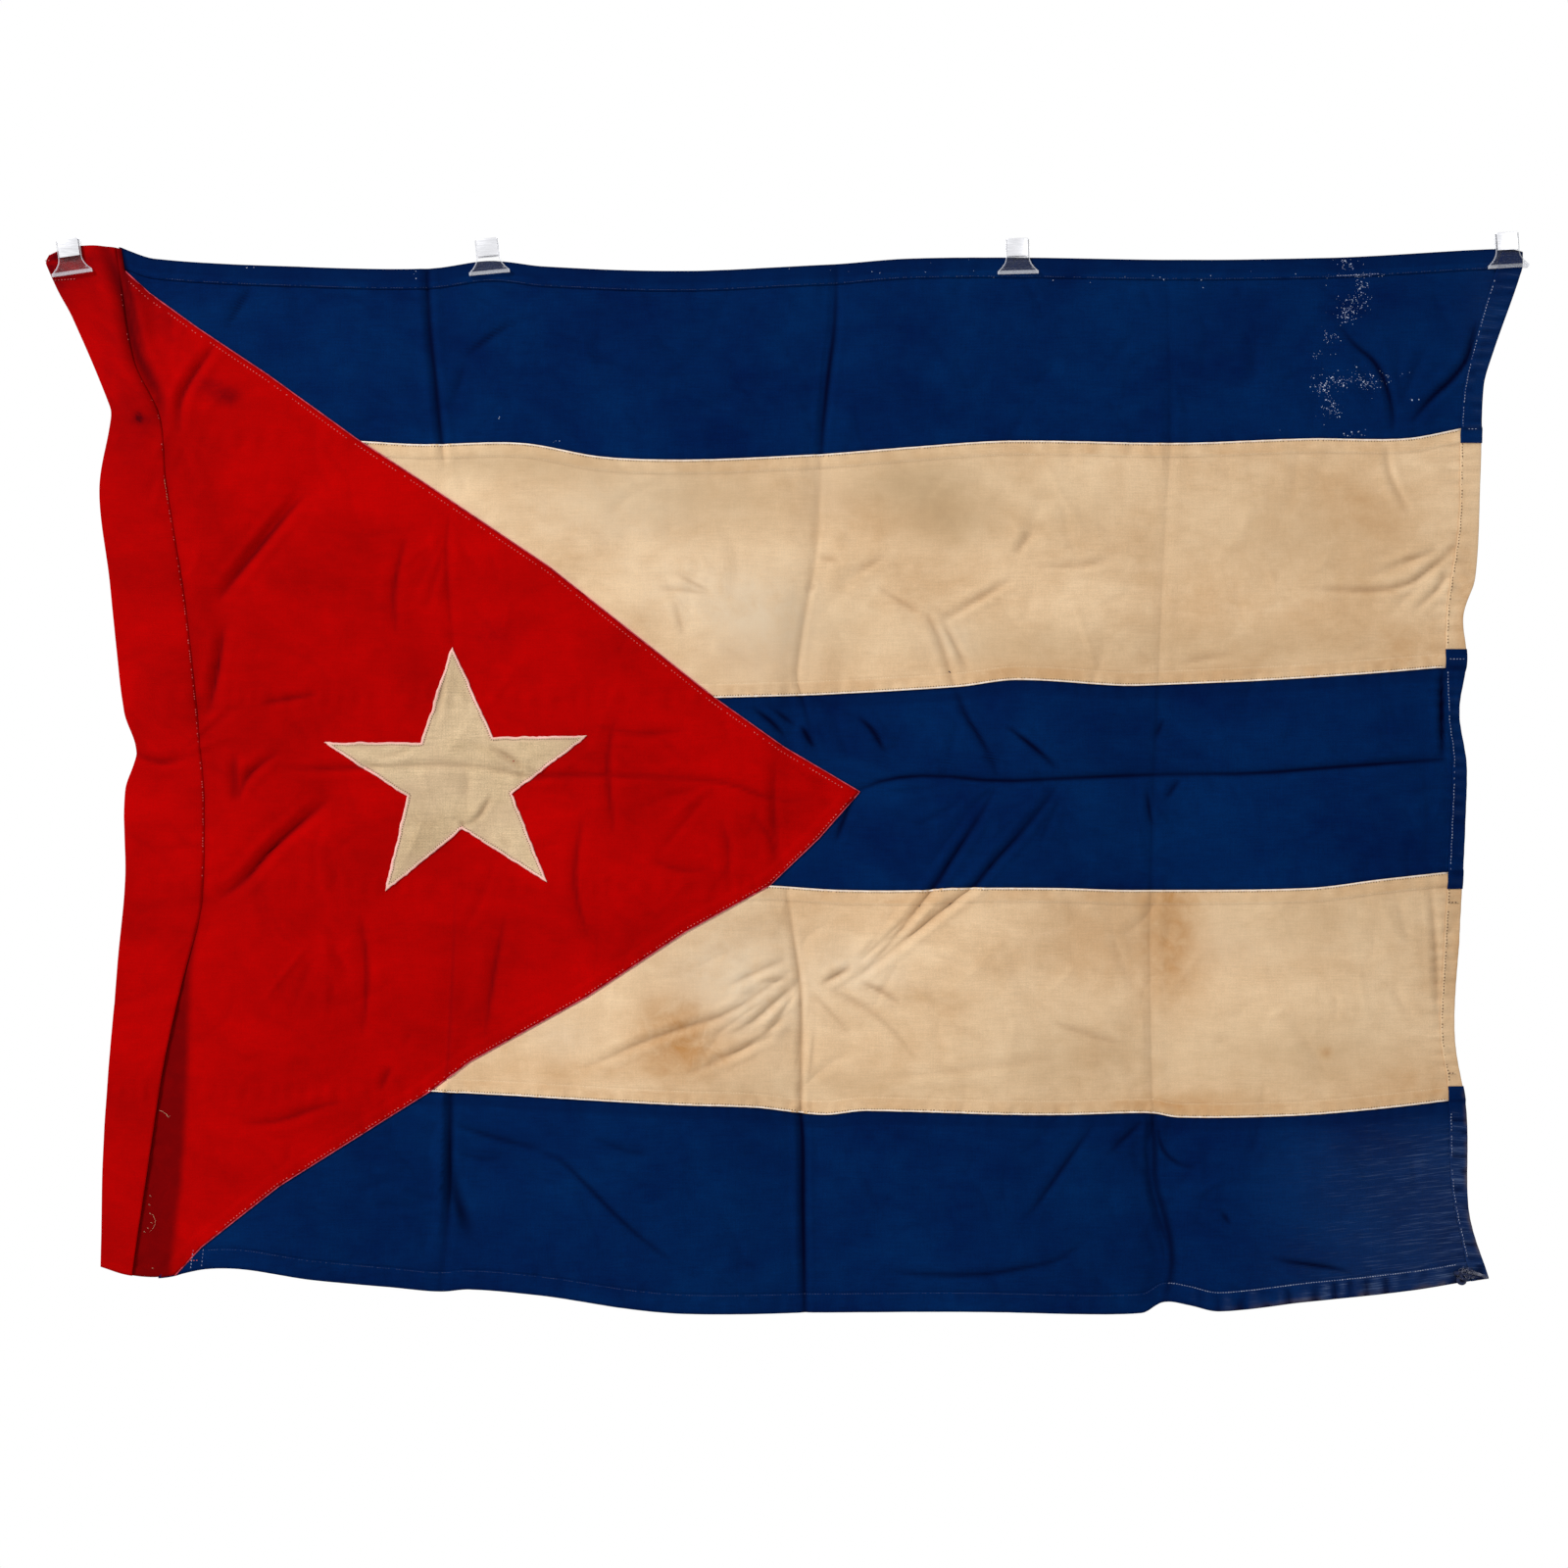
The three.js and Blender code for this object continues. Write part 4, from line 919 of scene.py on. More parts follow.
# ---------- the finishes ----------
class Desk:
    """A shader tree, with short ways to add and join nodes."""

    def __init__(self, tree: bpy.types.NodeTree) -> None:
        """Starts work on a tree."""
        self.tree = tree

    @classmethod
    def new_material(cls, name: str) -> tuple["Desk", bpy.types.Material, bpy.types.Node]:
        """Starts a material.

        Args:
            name: the material's name.

        Returns:
            The desk to work at, the material, and its shader.
        """
        material = bpy.data.materials.new(name)
        material.use_nodes = True
        return cls(material.node_tree), material, material.node_tree.nodes["Principled BSDF"]

    def add(self, kind: str, **settings: object) -> bpy.types.Node:
        """Adds a node, with its settings.

        Args:
            kind: the node's type.
            **settings: its properties, by name.

        Returns:
            The new node.
        """
        node = self.tree.nodes.new(kind)
        for key, value in settings.items():
            setattr(node, key, value)
        return node

    def feed(self, socket: bpy.types.NodeSocket, value: object) -> None:
        """Joins an output to a socket, or sets the socket to a plain value.

        Args:
            socket: the input.
            value: an output, or a number or colour.
        """
        if isinstance(value, bpy.types.NodeSocket):
            self.tree.links.new(value, socket)
        else:
            socket.default_value = value

    def mark(self, name: str) -> bpy.types.NodeSocket:
        """Reads one of the piece's marks, a point attribute."""
        return self.add("ShaderNodeAttribute", attribute_name=name).outputs["Fac"]

    def math(
        self, operation: str, first: object, second: object = 0.0, clamp: bool = False
    ) -> bpy.types.NodeSocket:
        """A sum on one or two values.

        Args:
            operation: the kind of sum.
            first: the first value or output.
            second: the second one.
            clamp: whether the result is held between 0 and 1.

        Returns:
            The result.
        """
        node = self.add("ShaderNodeMath", operation=operation, use_clamp=clamp)
        self.feed(node.inputs[0], first)
        self.feed(node.inputs[1], second)
        return node.outputs[0]

    def mix(self, share: object, first: object, second: object) -> bpy.types.NodeSocket:
        """A mix of two colours.

        Args:
            share: how much of the second colour there is.
            first: the first colour or output.
            second: the second one.

        Returns:
            The mixed colour.
        """
        node = self.add("ShaderNodeMix", data_type="RGBA")
        self.feed(node.inputs[0], share)
        self.feed(node.inputs[6], first)
        self.feed(node.inputs[7], second)
        return node.outputs[2]

    def mix_numbers(self, share: object, first: object, second: object) -> bpy.types.NodeSocket:
        """A mix of two numbers.

        Args:
            share: how much of the second number there is.
            first: the first number or output.
            second: the second one.

        Returns:
            The mixed number.
        """
        node = self.add("ShaderNodeMix", data_type="FLOAT")
        self.feed(node.inputs[0], share)
        self.feed(node.inputs[2], first)
        self.feed(node.inputs[3], second)
        return node.outputs[0]

    def span(
        self, value: object, low: float, high: float, start: float = 0.0, end: float = 1.0
    ) -> bpy.types.NodeSocket:
        """Maps low to high onto start to end, held at both.

        Args:
            value: the value or output to map.
            low: the value that gives start.
            high: the value that gives end.
            start: the result at low.
            end: the result at high.

        Returns:
            The mapped value.
        """
        node = self.add("ShaderNodeMapRange", clamp=True)
        for socket, given in zip(node.inputs, (value, low, high, start, end)):
            self.feed(socket, given)
        return node.outputs[0]

    def noise(
        self, vector: object, size: tuple[float, float, float], detail: float = 3.0, rough: float = 0.55,
        distortion: float = 0.0,
    ) -> bpy.types.NodeSocket:
        """Noise whose grain is size metres across, along X, Y and Z of the vector.

        Args:
            vector: the place that the noise is read at.
            size: the grain along X, Y and Z, in metres.
            detail: how many finer layers it has.
            rough: how strong the finer layers are.
            distortion: how much it is swirled.

        Returns:
            The noise, about 0.5 in the mean.
        """
        scaled = self.add("ShaderNodeMapping")
        self.feed(scaled.inputs["Vector"], vector)
        scaled.inputs["Scale"].default_value = tuple(1.0 / s for s in size)
        node = self.add("ShaderNodeTexNoise")
        self.feed(node.inputs["Vector"], scaled.outputs[0])
        node.inputs["Scale"].default_value = 1.0
        node.inputs["Detail"].default_value = detail
        node.inputs["Roughness"].default_value = rough
        node.inputs["Distortion"].default_value = distortion
        return node.outputs[0]

    def bump(self, shader: bpy.types.Node, height: object, strength: float, distance: float) -> None:
        """Gives a shader fine relief.

        Args:
            shader: the material's shader.
            height: the output to read the relief from.
            strength: how much of it shows.
            distance: how deep it is, in metres.
        """
        node = self.add("ShaderNodeBump")
        self.feed(node.inputs["Strength"], strength)
        self.feed(node.inputs["Distance"], distance)
        self.feed(node.inputs["Height"], height)
        self.feed(shader.inputs["Normal"], node.outputs[0])


Rgb = tuple[float, float, float, float]


def srgb(red: int, green: int, blue: int) -> Rgb:
    """A colour given as it looks, from 0 to 255, as the shader's own numbers.

    Args:
        red: the red share.
        green: the green share.
        blue: the blue share.

    Returns:
        The colour, opaque.
    """

    def channel(value: int) -> float:
        """One channel."""
        share = value / 255
        return share / 12.92 if share <= 0.04045 else ((share + 0.055) / 1.055) ** 2.4

    return (channel(red), channel(green), channel(blue), 1.0)


class EffectGroup:
    """A shader node group that several finishes use, built once."""

    built: dict[str, bpy.types.NodeTree] = {}

    @classmethod
    def start(
        cls, name: str, inputs: dict[str, object], outputs: dict[str, str]
    ) -> tuple[Desk, bpy.types.Node, bpy.types.Node]:
        """Starts a group with named sockets.

        Args:
            name: the group's name.
            inputs: each input's default value, a number, a colour or a vector.
            outputs: each output's socket type.

        Returns:
            The desk to work at, and the group's input and output nodes.
        """
        tree = bpy.data.node_groups.new(name, "ShaderNodeTree")
        for key, value in inputs.items():
            kind = "NodeSocketFloat"
            if isinstance(value, tuple):
                kind = "NodeSocketColor" if len(value) == 4 else "NodeSocketVector"
            socket = tree.interface.new_socket(key, in_out="INPUT", socket_type=kind)
            socket.default_value = value
        for key, kind in outputs.items():
            tree.interface.new_socket(key, in_out="OUTPUT", socket_type=kind)
        desk = Desk(tree)
        cls.built[name] = tree
        return desk, desk.add("NodeGroupInput"), desk.add("NodeGroupOutput")

    @classmethod
    def place(cls, desk: Desk, name: str, **values: object) -> bpy.types.Node:
        """Puts a group in a material and feeds its inputs, whose spaces are written as underscores.

        Args:
            desk: the material's desk.
            name: the group's name.
            **values: what feeds each input.

        Returns:
            The group's node.
        """
        node = desk.add("ShaderNodeGroup")
        node.node_tree = cls.built[name]
        for key, value in values.items():
            desk.feed(node.inputs[key.replace("_", " ")], value)
        return node


def make_weave_group() -> None:
    """Plain weave: threads that go over and under, thick and thin yarn, as height and tone."""
    desk, given, out = EffectGroup.start(
        "plain weave",
        {"Vector": (0.0, 0.0, 0.0), "Pitch": 0.0007, "Unevenness": 0.5},
        {"Height": "NodeSocketFloat", "Tone": "NodeSocketFloat"},
    )
    vector = given.outputs["Vector"]
    split = desk.add("ShaderNodeSeparateXYZ")
    desk.feed(split.inputs[0], vector)
    turns = desk.math("DIVIDE", math.pi, given.outputs["Pitch"])
    warp = desk.math("SINE", desk.math("MULTIPLY", split.outputs[0], turns))
    weft = desk.math("SINE", desk.math("MULTIPLY", split.outputs[1], turns))
    over = desk.math("MULTIPLY_ADD", desk.math("MULTIPLY", warp, weft), 0.5)
    over.node.inputs[2].default_value = 0.5
    thick_weft = desk.noise(vector, (0.022, 0.0014, 1.0), 3.0, 0.6)
    thick_warp = desk.noise(vector, (0.0013, 0.018, 1.0), 3.0, 0.6)
    grain = desk.noise(vector, (0.0013, 0.0011, 1.0), 2.0, 0.7)
    yarn = desk.math("ADD", desk.math("MULTIPLY", thick_weft, 0.6), desk.math("MULTIPLY", thick_warp, 0.4))
    mottle = desk.math("ADD", desk.math("MULTIPLY", yarn, 0.5), desk.math("MULTIPLY", grain, 0.5))
    spread = desk.math("MULTIPLY", desk.math("SUBTRACT", mottle, 0.5), given.outputs["Unevenness"])
    tone = desk.math("ADD", desk.math("MULTIPLY", spread, 1.7), 0.5)
    height = desk.math("ADD", desk.math("MULTIPLY", over, 0.45), desk.math("MULTIPLY", yarn, 0.9))
    desk.feed(out.inputs["Height"], height)
    desk.feed(out.inputs["Tone"], tone)


def make_dye_group() -> None:
    """Old dye: cloudy patches, streaks along the yarn, and rubbed streaks where the cloth is worn; on the red
    cloth the worn colour is painted shade along the triangle's edge, and on the blue hems' puckers it is
    partly painted light.
    """
    desk, given, out = EffectGroup.start(
        "old dye",
        {"Vector": (0.0, 0.0, 0.0), "Deep": (0.5, 0.5, 0.5, 1.0), "Pale": (0.6, 0.6, 0.6, 1.0),
         "Worn": (0.7, 0.7, 0.7, 1.0), "Tone": 0.5, "Wear": 0.0, "Contrast": 0.35, "Streaks": 0.0},
        {"Color": "NodeSocketColor"},
    )
    vector, tone, wear = (given.outputs[key] for key in ("Vector", "Tone", "Wear"))
    clouds = desk.noise(vector, (0.11, 0.08, 1.0), 5.0, 0.62, 0.4)
    crumple = desk.noise(vector, (0.018, 0.014, 1.0), 3.0, 0.6)
    cloudy = desk.span(clouds, 0.34, 0.66, 0.0, 0.75)
    share = desk.math("ADD", cloudy, desk.span(crumple, 0.3, 0.7, 0.0, 0.25))
    ground = desk.mix(share, given.outputs["Deep"], given.outputs["Pale"])
    factor = desk.math("MULTIPLY_ADD", desk.math("SUBTRACT", tone, 0.5), given.outputs["Contrast"])
    factor.node.inputs[2].default_value = 1.0
    toned = desk.add("ShaderNodeVectorMath", operation="SCALE")
    desk.feed(toned.inputs[0], ground)
    desk.feed(toned.inputs["Scale"], factor)
    split = desk.add("ShaderNodeSeparateXYZ")
    desk.feed(split.inputs[0], vector)
    slanted = desk.add("ShaderNodeCombineXYZ")
    desk.feed(slanted.inputs[0], split.outputs[0])
    rise = desk.math("MULTIPLY_ADD", split.outputs[0], -0.1)
    desk.feed(rise.node.inputs[2], split.outputs[1])
    desk.feed(slanted.inputs[1], rise)
    rubs = desk.noise(slanted.outputs[0], (0.034, 0.0010, 1.0), 3.0, 0.6)
    patches = desk.noise(slanted.outputs[0], (0.050, 0.020, 1.0), 2.0)
    streak = desk.math("MULTIPLY", desk.math("MULTIPLY", wear, 0.22), patches)
    streak = desk.span(desk.math("ADD", rubs, streak), 0.6, 0.74, 0.12, 0.8)
    rubbed = desk.mix_numbers(given.outputs["Streaks"], wear,
                              desk.math("MULTIPLY", streak, wear))
    desk.feed(out.inputs["Color"], desk.mix(rubbed, toned.outputs[0], given.outputs["Worn"]))


def make_soiling_and_painted_light_group() -> None:
    """Soiling and painted light: stains with ragged edges, among them painted shade on the red cloth, pale
    patches, among them a painted highlight, shade painted in the creases, and specks that stuck to the cloth.
    """
    desk, given, out = EffectGroup.start(
        "soiling",
        {"Vector": (0.0, 0.0, 0.0), "Color": (0.5, 0.5, 0.5, 1.0), "Stain Color": (0.4, 0.3, 0.2, 1.0),
         "Stain": 0.0, "Bleached Color": (0.8, 0.7, 0.6, 1.0), "Bleached": 0.0,
         "Grey Color": (0.5, 0.45, 0.35, 1.0), "Grey": 0.0, "Crease Color": (0.1, 0.1, 0.1, 1.0),
         "Crease": 0.0, "Speck Color": (0.8, 0.8, 0.8, 1.0), "Speck": 0.0},
        {"Color": "NodeSocketColor"},
    )
    vector = given.outputs["Vector"]
    ragged = desk.span(desk.noise(vector, (0.016, 0.016, 1.0), 5.0, 0.65, 0.6), 0.3, 0.7, 0.45, 1.3)
    # patches pale from bleaching, among them a painted highlight
    bleached = desk.math("MULTIPLY", given.outputs["Bleached"], ragged, True)
    colour = desk.mix(bleached, given.outputs["Color"], given.outputs["Bleached Color"])
    # stains, which on the red cloth include painted shade
    stain = desk.math("MULTIPLY", given.outputs["Stain"], ragged, True)
    colour = desk.mix(stain, colour, given.outputs["Stain Color"])
    even = desk.span(ragged, 0.45, 1.3, 0.85, 1.1)
    grey = desk.math("MULTIPLY", given.outputs["Grey"], even, True)
    colour = desk.mix(grey, colour, given.outputs["Grey Color"])
    # painted shade in the creases and along seams, in the Crease Color
    colour = desk.mix(given.outputs["Crease"], colour, given.outputs["Crease Color"])
    grains = desk.add("ShaderNodeTexVoronoi")
    grains.inputs["Scale"].default_value = 1050.0
    desk.feed(grains.inputs["Vector"], vector)
    chance = desk.add("ShaderNodeSeparateColor")
    desk.feed(chance.inputs[0], grains.outputs["Color"])
    clusters = desk.span(desk.noise(vector, (0.009, 0.008, 1.0), 3.0, 0.6), 0.4, 0.6, 0.25, 1.0)
    amount = desk.math("MULTIPLY", given.outputs["Speck"], clusters)
    there = desk.span(desk.math("SUBTRACT", amount, chance.outputs[0]), 0.0, 0.03)
    radius = desk.span(chance.outputs[1], 0.0, 1.0, 0.16, 0.42)
    dot = desk.span(desk.math("SUBTRACT", radius, grains.outputs["Distance"]), 0.0, 0.12)
    stuck = desk.math("MULTIPLY", dot, there)
    desk.feed(out.inputs["Color"], desk.mix(stuck, colour, given.outputs["Speck Color"]))


@dataclass(frozen=True)
class CottonFinish:
    """Old woven cotton of one colour."""

    name: str
    deep: Rgb
    pale: Rgb
    worn: Rgb
    # also the colour of painted shade on the red cloth
    stain: Rgb
    grey: Rgb
    # the colour of the shade painted in creases and along seams
    crease: Rgb
    speck: Rgb = srgb(186, 202, 224)
    # also the colour of a painted highlight on the cream cloth
    bleached: Rgb = srgb(234, 214, 186)
    contrast: float = 0.35
    unevenness: float = 1.0
    streaks: float = 0.0
    pitch: float = 0.0007
    relief: float = 0.00025

    def make(self) -> bpy.types.Material:
        """Builds the material from the shared weave, dye, and soil and painted light effects.

        Returns:
            The material.
        """
        desk, material, shader = Desk.new_material(self.name)
        place = desk.add("ShaderNodeUVMap", uv_map="cloth").outputs[0]
        weave = EffectGroup.place(
            desk, "plain weave", Vector=place, Pitch=self.pitch, Unevenness=self.unevenness
        )
        dye = EffectGroup.place(
            desk, "old dye", Vector=place, Deep=self.deep, Pale=self.pale, Worn=self.worn,
            Tone=weave.outputs["Tone"], Wear=desk.mark("wear"), Contrast=self.contrast, Streaks=self.streaks,
        )
        soiled_and_painted_light = EffectGroup.place(
            desk, "soiling", Vector=place, Color=dye.outputs[0],
            Stain_Color=self.stain, Stain=desk.mark("stain"),
            Bleached_Color=self.bleached, Bleached=desk.mark("bleached"),
            Grey_Color=self.grey, Grey=desk.mark("grey"),
            Crease_Color=self.crease, Crease=desk.mark("crease"),
            Speck_Color=self.speck, Speck=desk.mark("speck"),
        )
        desk.feed(shader.inputs["Base Color"], soiled_and_painted_light.outputs[0])
        desk.feed(shader.inputs["Roughness"], desk.span(weave.outputs["Tone"], 0.2, 0.8, 0.84, 0.96))
        desk.bump(shader, weave.outputs["Height"], 0.5, self.relief)
        shader.inputs["Specular IOR Level"].default_value = 0.03
        return material


# the red's worn colour is painted shade along the triangle's edge, and its crease colour is painted shade in
# creases
RED_COTTON = CottonFinish(
    "old red cotton", srgb(153, 0, 0), srgb(182, 0, 0), srgb(120, 0, 2), srgb(84, 0, 6), srgb(112, 0, 2),
    srgb(84, 0, 4), contrast=0.45,
)
BLUE_COTTON = CottonFinish(
    "old blue cotton", srgb(0, 21, 66), srgb(0, 36, 84), srgb(74, 92, 128), srgb(92, 84, 88), srgb(0, 18, 58),
    srgb(0, 4, 34), contrast=1.1, streaks=1.0,
)
CREAM_COTTON = CottonFinish(
    "old cream cotton", srgb(204, 168, 128), srgb(236, 206, 168), srgb(240, 186, 164), srgb(190, 138, 84),
    srgb(184, 156, 120), srgb(150, 114, 80), contrast=0.5,
)
STAR_COTTON = CottonFinish(
    "star cotton", srgb(190, 164, 128), srgb(218, 192, 156), srgb(238, 220, 188), srgb(246, 196, 184),
    srgb(188, 160, 130), srgb(146, 116, 88), contrast=1.05, pitch=0.0014, relief=0.0005,
)


@dataclass(frozen=True)
class ThreadFinish:
    """Sewing thread of one colour, twisted along its length."""

    name: str
    light: Rgb
    dark: Rgb

    def make(self) -> bpy.types.Material:
        """Builds the material, mottled along the thread.

        Returns:
            The material.
        """
        desk, material, shader = Desk.new_material(self.name)
        place = desk.add("ShaderNodeTexCoord").outputs["Object"]
        twist = desk.noise(place, (0.004, 0.004, 0.004), 4.0, 0.6)
        desk.feed(shader.inputs["Base Color"], desk.mix(desk.span(twist, 0.35, 0.65), self.dark, self.light))
        desk.feed(shader.inputs["Roughness"], desk.span(twist, 0.3, 0.7, 0.7, 0.9))
        shader.inputs["Specular IOR Level"].default_value = 0.3
        return material


CREAM_THREAD = ThreadFinish("cream thread", srgb(240, 220, 186), srgb(206, 180, 140))
WHITE_THREAD = ThreadFinish("white thread", srgb(170, 178, 200), srgb(70, 86, 130))
BLUE_THREAD = ThreadFinish("faded blue thread", srgb(84, 92, 126), srgb(20, 34, 78))
HOLES = ThreadFinish("shadowed needle holes", srgb(136, 104, 78), srgb(96, 70, 54))
# paler than the cream cloth: rubbed fibres, and a highlight painted on the raised fold of each lapped seam
PALE_EDGE = ThreadFinish("rubbed cream edge", srgb(244, 232, 222), srgb(226, 204, 184))
STAR_EDGE = ThreadFinish("pink star edge", srgb(246, 196, 188), srgb(226, 142, 138))
# paler than the red cloth: rubbed fibres, and a highlight painted on the red cloth's raised, turned edge
PINK_EDGE = ThreadFinish("rubbed pink edge", srgb(200, 74, 88), srgb(146, 16, 40))
FLECK = ThreadFinish("pale flecks", srgb(206, 214, 232), srgb(96, 116, 164))
KNOT_THREAD = ThreadFinish("frayed grey thread", srgb(168, 170, 184), srgb(78, 84, 108))
DARK_THREAD = ThreadFinish("knotted blue cloth", srgb(26, 38, 74), srgb(4, 8, 30))
PINK_THREAD = ThreadFinish("pink thread", srgb(226, 120, 116), srgb(176, 50, 54))


@dataclass(frozen=True)
class PlasticFinish:
    """Clear moulded plastic, scuffed by use."""

    name: str = "clear plastic"

    def make(self) -> bpy.types.Material:
        """Builds the material, clearest where it is looked through squarely.

        Returns:
            The material.
        """
        desk, material, shader = Desk.new_material(self.name)
        place = desk.add("ShaderNodeTexCoord").outputs["Object"]
        scuffs = desk.noise(place, (0.003, 0.003, 0.0015), 5.0, 0.7)
        tint = desk.mix(desk.span(scuffs, 0.4, 0.7), srgb(236, 238, 244), srgb(214, 216, 226))
        desk.feed(shader.inputs["Base Color"], tint)
        desk.feed(shader.inputs["Roughness"], desk.span(scuffs, 0.4, 0.75, 0.05, 0.3))
        desk.bump(shader, scuffs, 0.25, 0.0003)
        # painted reflection and highlight: the whitish plastic is drawn more opaque at grazing angles and
        # along its moulded rim and lip
        rim = desk.add("ShaderNodeLayerWeight")
        rim.inputs["Blend"].default_value = 0.35
        grazing = desk.span(rim.outputs["Facing"], 0.12, 0.75, 0.022, 0.8)
        moulded = desk.math("MULTIPLY", desk.mark("rim"), 0.5)
        desk.feed(shader.inputs["Alpha"], desk.math("MAXIMUM", grazing, moulded))
        shader.inputs["IOR"].default_value = 1.49
        return material


@dataclass(frozen=True)
class SteelFinish:
    """Bright spring steel with fine rolling marks."""

    name: str = "spring steel"

    def make(self) -> bpy.types.Material:
        """Builds the material, with its rolling marks along the strip.

        Returns:
            The material.
        """
        desk, material, shader = Desk.new_material(self.name)
        place = desk.add("ShaderNodeTexCoord").outputs["Object"]
        rolled = desk.noise(place, (0.012, 0.0006, 0.0004), 4.0, 0.6)
        desk.feed(shader.inputs["Base Color"], desk.mix(rolled, srgb(204, 205, 209), srgb(236, 236, 240)))
        desk.feed(shader.inputs["Roughness"], desk.span(rolled, 0.3, 0.7, 0.22, 0.42))
        shader.inputs["Metallic"].default_value = 1.0
        return material


# ---------- the striped cloth ----------
@dataclass
class Stripe:
    """One level stripe, from under the red cloth to the turned fly hem."""

    name: str
    upper: Line
    lower: Line
    finish: bpy.types.Material
    slot: str
    laps_over: bool
    under_up: float = 0.0
    under_down: float = 0.0
    hem_up: bool = False
    hem_down: bool = False
    crowd_rows: Line | None = None
    turn_steps: int = 4  # facets round a hem's fold
    clear_of_sleeve: float = 2.6  # how far the cloth under the red edge stops short of the sleeve's seam
    flap_columns: int = 10  # of the net, in the turned fly hem
    flap_rows: int = 7  # and in a turned top or bottom hem

    def row_places(self) -> list[tuple[Line, float, float]]:
        """The rows of the net, downwards: each one's line, and its layer's place behind the front one.

        Returns:
            For each row the line that it follows, how far in front of the field its layer is, and how far
            it swells out past the folded edge.
        """
        rows: list[tuple[Line, float, float]] = []
        top, foot = self.offset(self.upper, self.under_up), self.offset(self.lower, -self.under_down)
        height = float(np.mean([top(x) - foot(x) for x in np.linspace(0.0, 560.0, 12)]))
        angles = [math.pi * k / self.turn_steps for k in range(1, self.turn_steps)]
        flap = [HEM * k / self.flap_rows for k in range(self.flap_rows + 1)]
        if self.hem_up:
            rows += [(self.offset(self.upper, by - HEM), FOLD, 0.0) for by in flap]
            rows += [(self.upper, FOLD * (1 + math.cos(a)) / 2, FOLD / 2 * math.sin(a)) for a in angles]
        shares = self.shares(height)
        rows += [(self.between(top, foot, share), 0.0, 0.0) for share in shares]
        if self.hem_down:
            rows += [(self.lower, FOLD * (1 - math.cos(a)) / 2, -FOLD / 2 * math.sin(a)) for a in angles]
            rows += [(self.offset(self.lower, by), FOLD, 0.0) for by in flap]
        return rows

    def shares(self, height: float) -> Array:
        """Where the rows lie between the stripe's edges, closer together where it is lapped and sewn.

        Args:
            height: the stripe's mean height.

        Returns:
            Shares of the way from the upper edge to the lower one.
        """
        close = np.array([0.0, 0.5, 1.1, 1.7, 2.5, 3.6])
        sewn = LAP + np.array([-2.0, -0.7, 0.0, 0.7, 1.6, 3.2])
        near = np.concatenate([close, sewn]) if self.laps_over else close
        inner = near[-1] / height
        middle = np.linspace(inner, 1 - inner, int(height * (1 - 2 * inner) / STRIPE_STEP) + 1)[1:-1]
        between = np.linspace(close[-1], sewn[0], 5)[1:-1] if self.laps_over else []
        edge = np.sort(np.concatenate([near, between])) / height
        return np.concatenate([edge, middle, 1 - edge[::-1]])

    @staticmethod
    def offset(line: Line, by: float) -> Line:
        """A line moved up by a distance."""
        return lambda x: line(x) + by

    def between(self, top: Line, foot: Line, share: float) -> Line:
        """A line part of the way from one to another, drawn a little towards a level crease.

        Args:
            top: the line at the top.
            foot: the line at the foot.
            share: the share of the way down.

        Returns:
            The line between.
        """
        if self.crowd_rows is None:
            return lambda x: lerp(top(x), foot(x), share)
        middle = self.crowd_rows

        def line(x: Array) -> Array:
            """The row's height at x.

            Args:
                x: places across the flag.

            Returns:
                The heights there.
            """
            at = (top(x) - middle(x)) / (top(x) - foot(x))
            near = np.exp(-(((share - at) / 0.09) ** 2))
            return lerp(top(x), foot(x), share + (at - share) * 0.5 * near)

        return line

    def net(self, shape: HangingShape) -> SheetNet:
        """Lays out the stripe's net with its hems and seams.

        Args:
            shape: how the flag hangs.

        Returns:
            The net of the laid out stripe, as it hangs.
        """
        rows = self.row_places()
        longest = max(
            crossing(line, fly_edge, FROM_FLY) - crossing(line, triangle_edge, FROM_MIDDLE)
            for line, *_ in rows
        )
        count = int(longest / STRIPE_STEP)
        x_rows, z_rows, y_rows, u_rows = [], [], [], []
        angles = np.pi * np.arange(1, self.turn_steps) / self.turn_steps
        for line, front, swell in rows:
            left = crossing(line, triangle_edge, FROM_MIDDLE)
            left -= UNDERLAP * lerp(0.5, 1.0, float(smoothstep((top_edge(left) - line(left) - 5) / 30)))
            left = max(left, float(sleeve_seam(line(left))) + self.clear_of_sleeve)
            right = crossing(line, fly_edge, FROM_FLY)
            z_middle = float(line(np.float64((left + right) / 2)))
            creases = [crease_a(z_middle), crease_b(z_middle), crease_c(z_middle)]
            hem_x = crossing(line, fly_hem, FROM_HEM)
            z_end = float(line(np.float64(right)))
            doubled = max(
                smoothstep(1 - (float(top_edge(right)) - z_end - HEM) / 3) if self.hem_up else 0.0,
                smoothstep(1 - (z_end - float(bottom_edge(right)) - HEM) / 3) if self.hem_down else 0.0,
            )
            pivot = FOLD * (0.5 + doubled)
            field_x = crowded(left, right - pivot, count, creases)
            turn_x = right - pivot + (pivot - front) * np.sin(angles)
            flap_x = np.linspace(right - pivot, hem_x, self.flap_columns)
            x = np.concatenate([field_x, turn_x, flap_x])
            y = np.concatenate([
                np.full(count, -front),
                -pivot + (pivot - front) * np.cos(angles),
                np.full(self.flap_columns, -2 * pivot + front),
            ])
            x_rows.append(x)
            y_rows.append(y)
            z_rows.append(line(x) + swell)
            u_rows.append(np.concatenate([field_x, turn_x, 2 * right - flap_x]))
        x, z = np.array(x_rows), np.array(z_rows)
        out, crease = shape.measure(x, z)
        middle = np.stack([x, np.array(y_rows) - out, z], axis=-1)
        shift, thickness = self.layers(x, z)
        turned = np.array([front > FOLD / 2 for _, front, _ in rows])
        shift[turned] *= -1
        return SheetNet(middle, shift, thickness, np.array(u_rows), z, self.marks(x, z, crease))

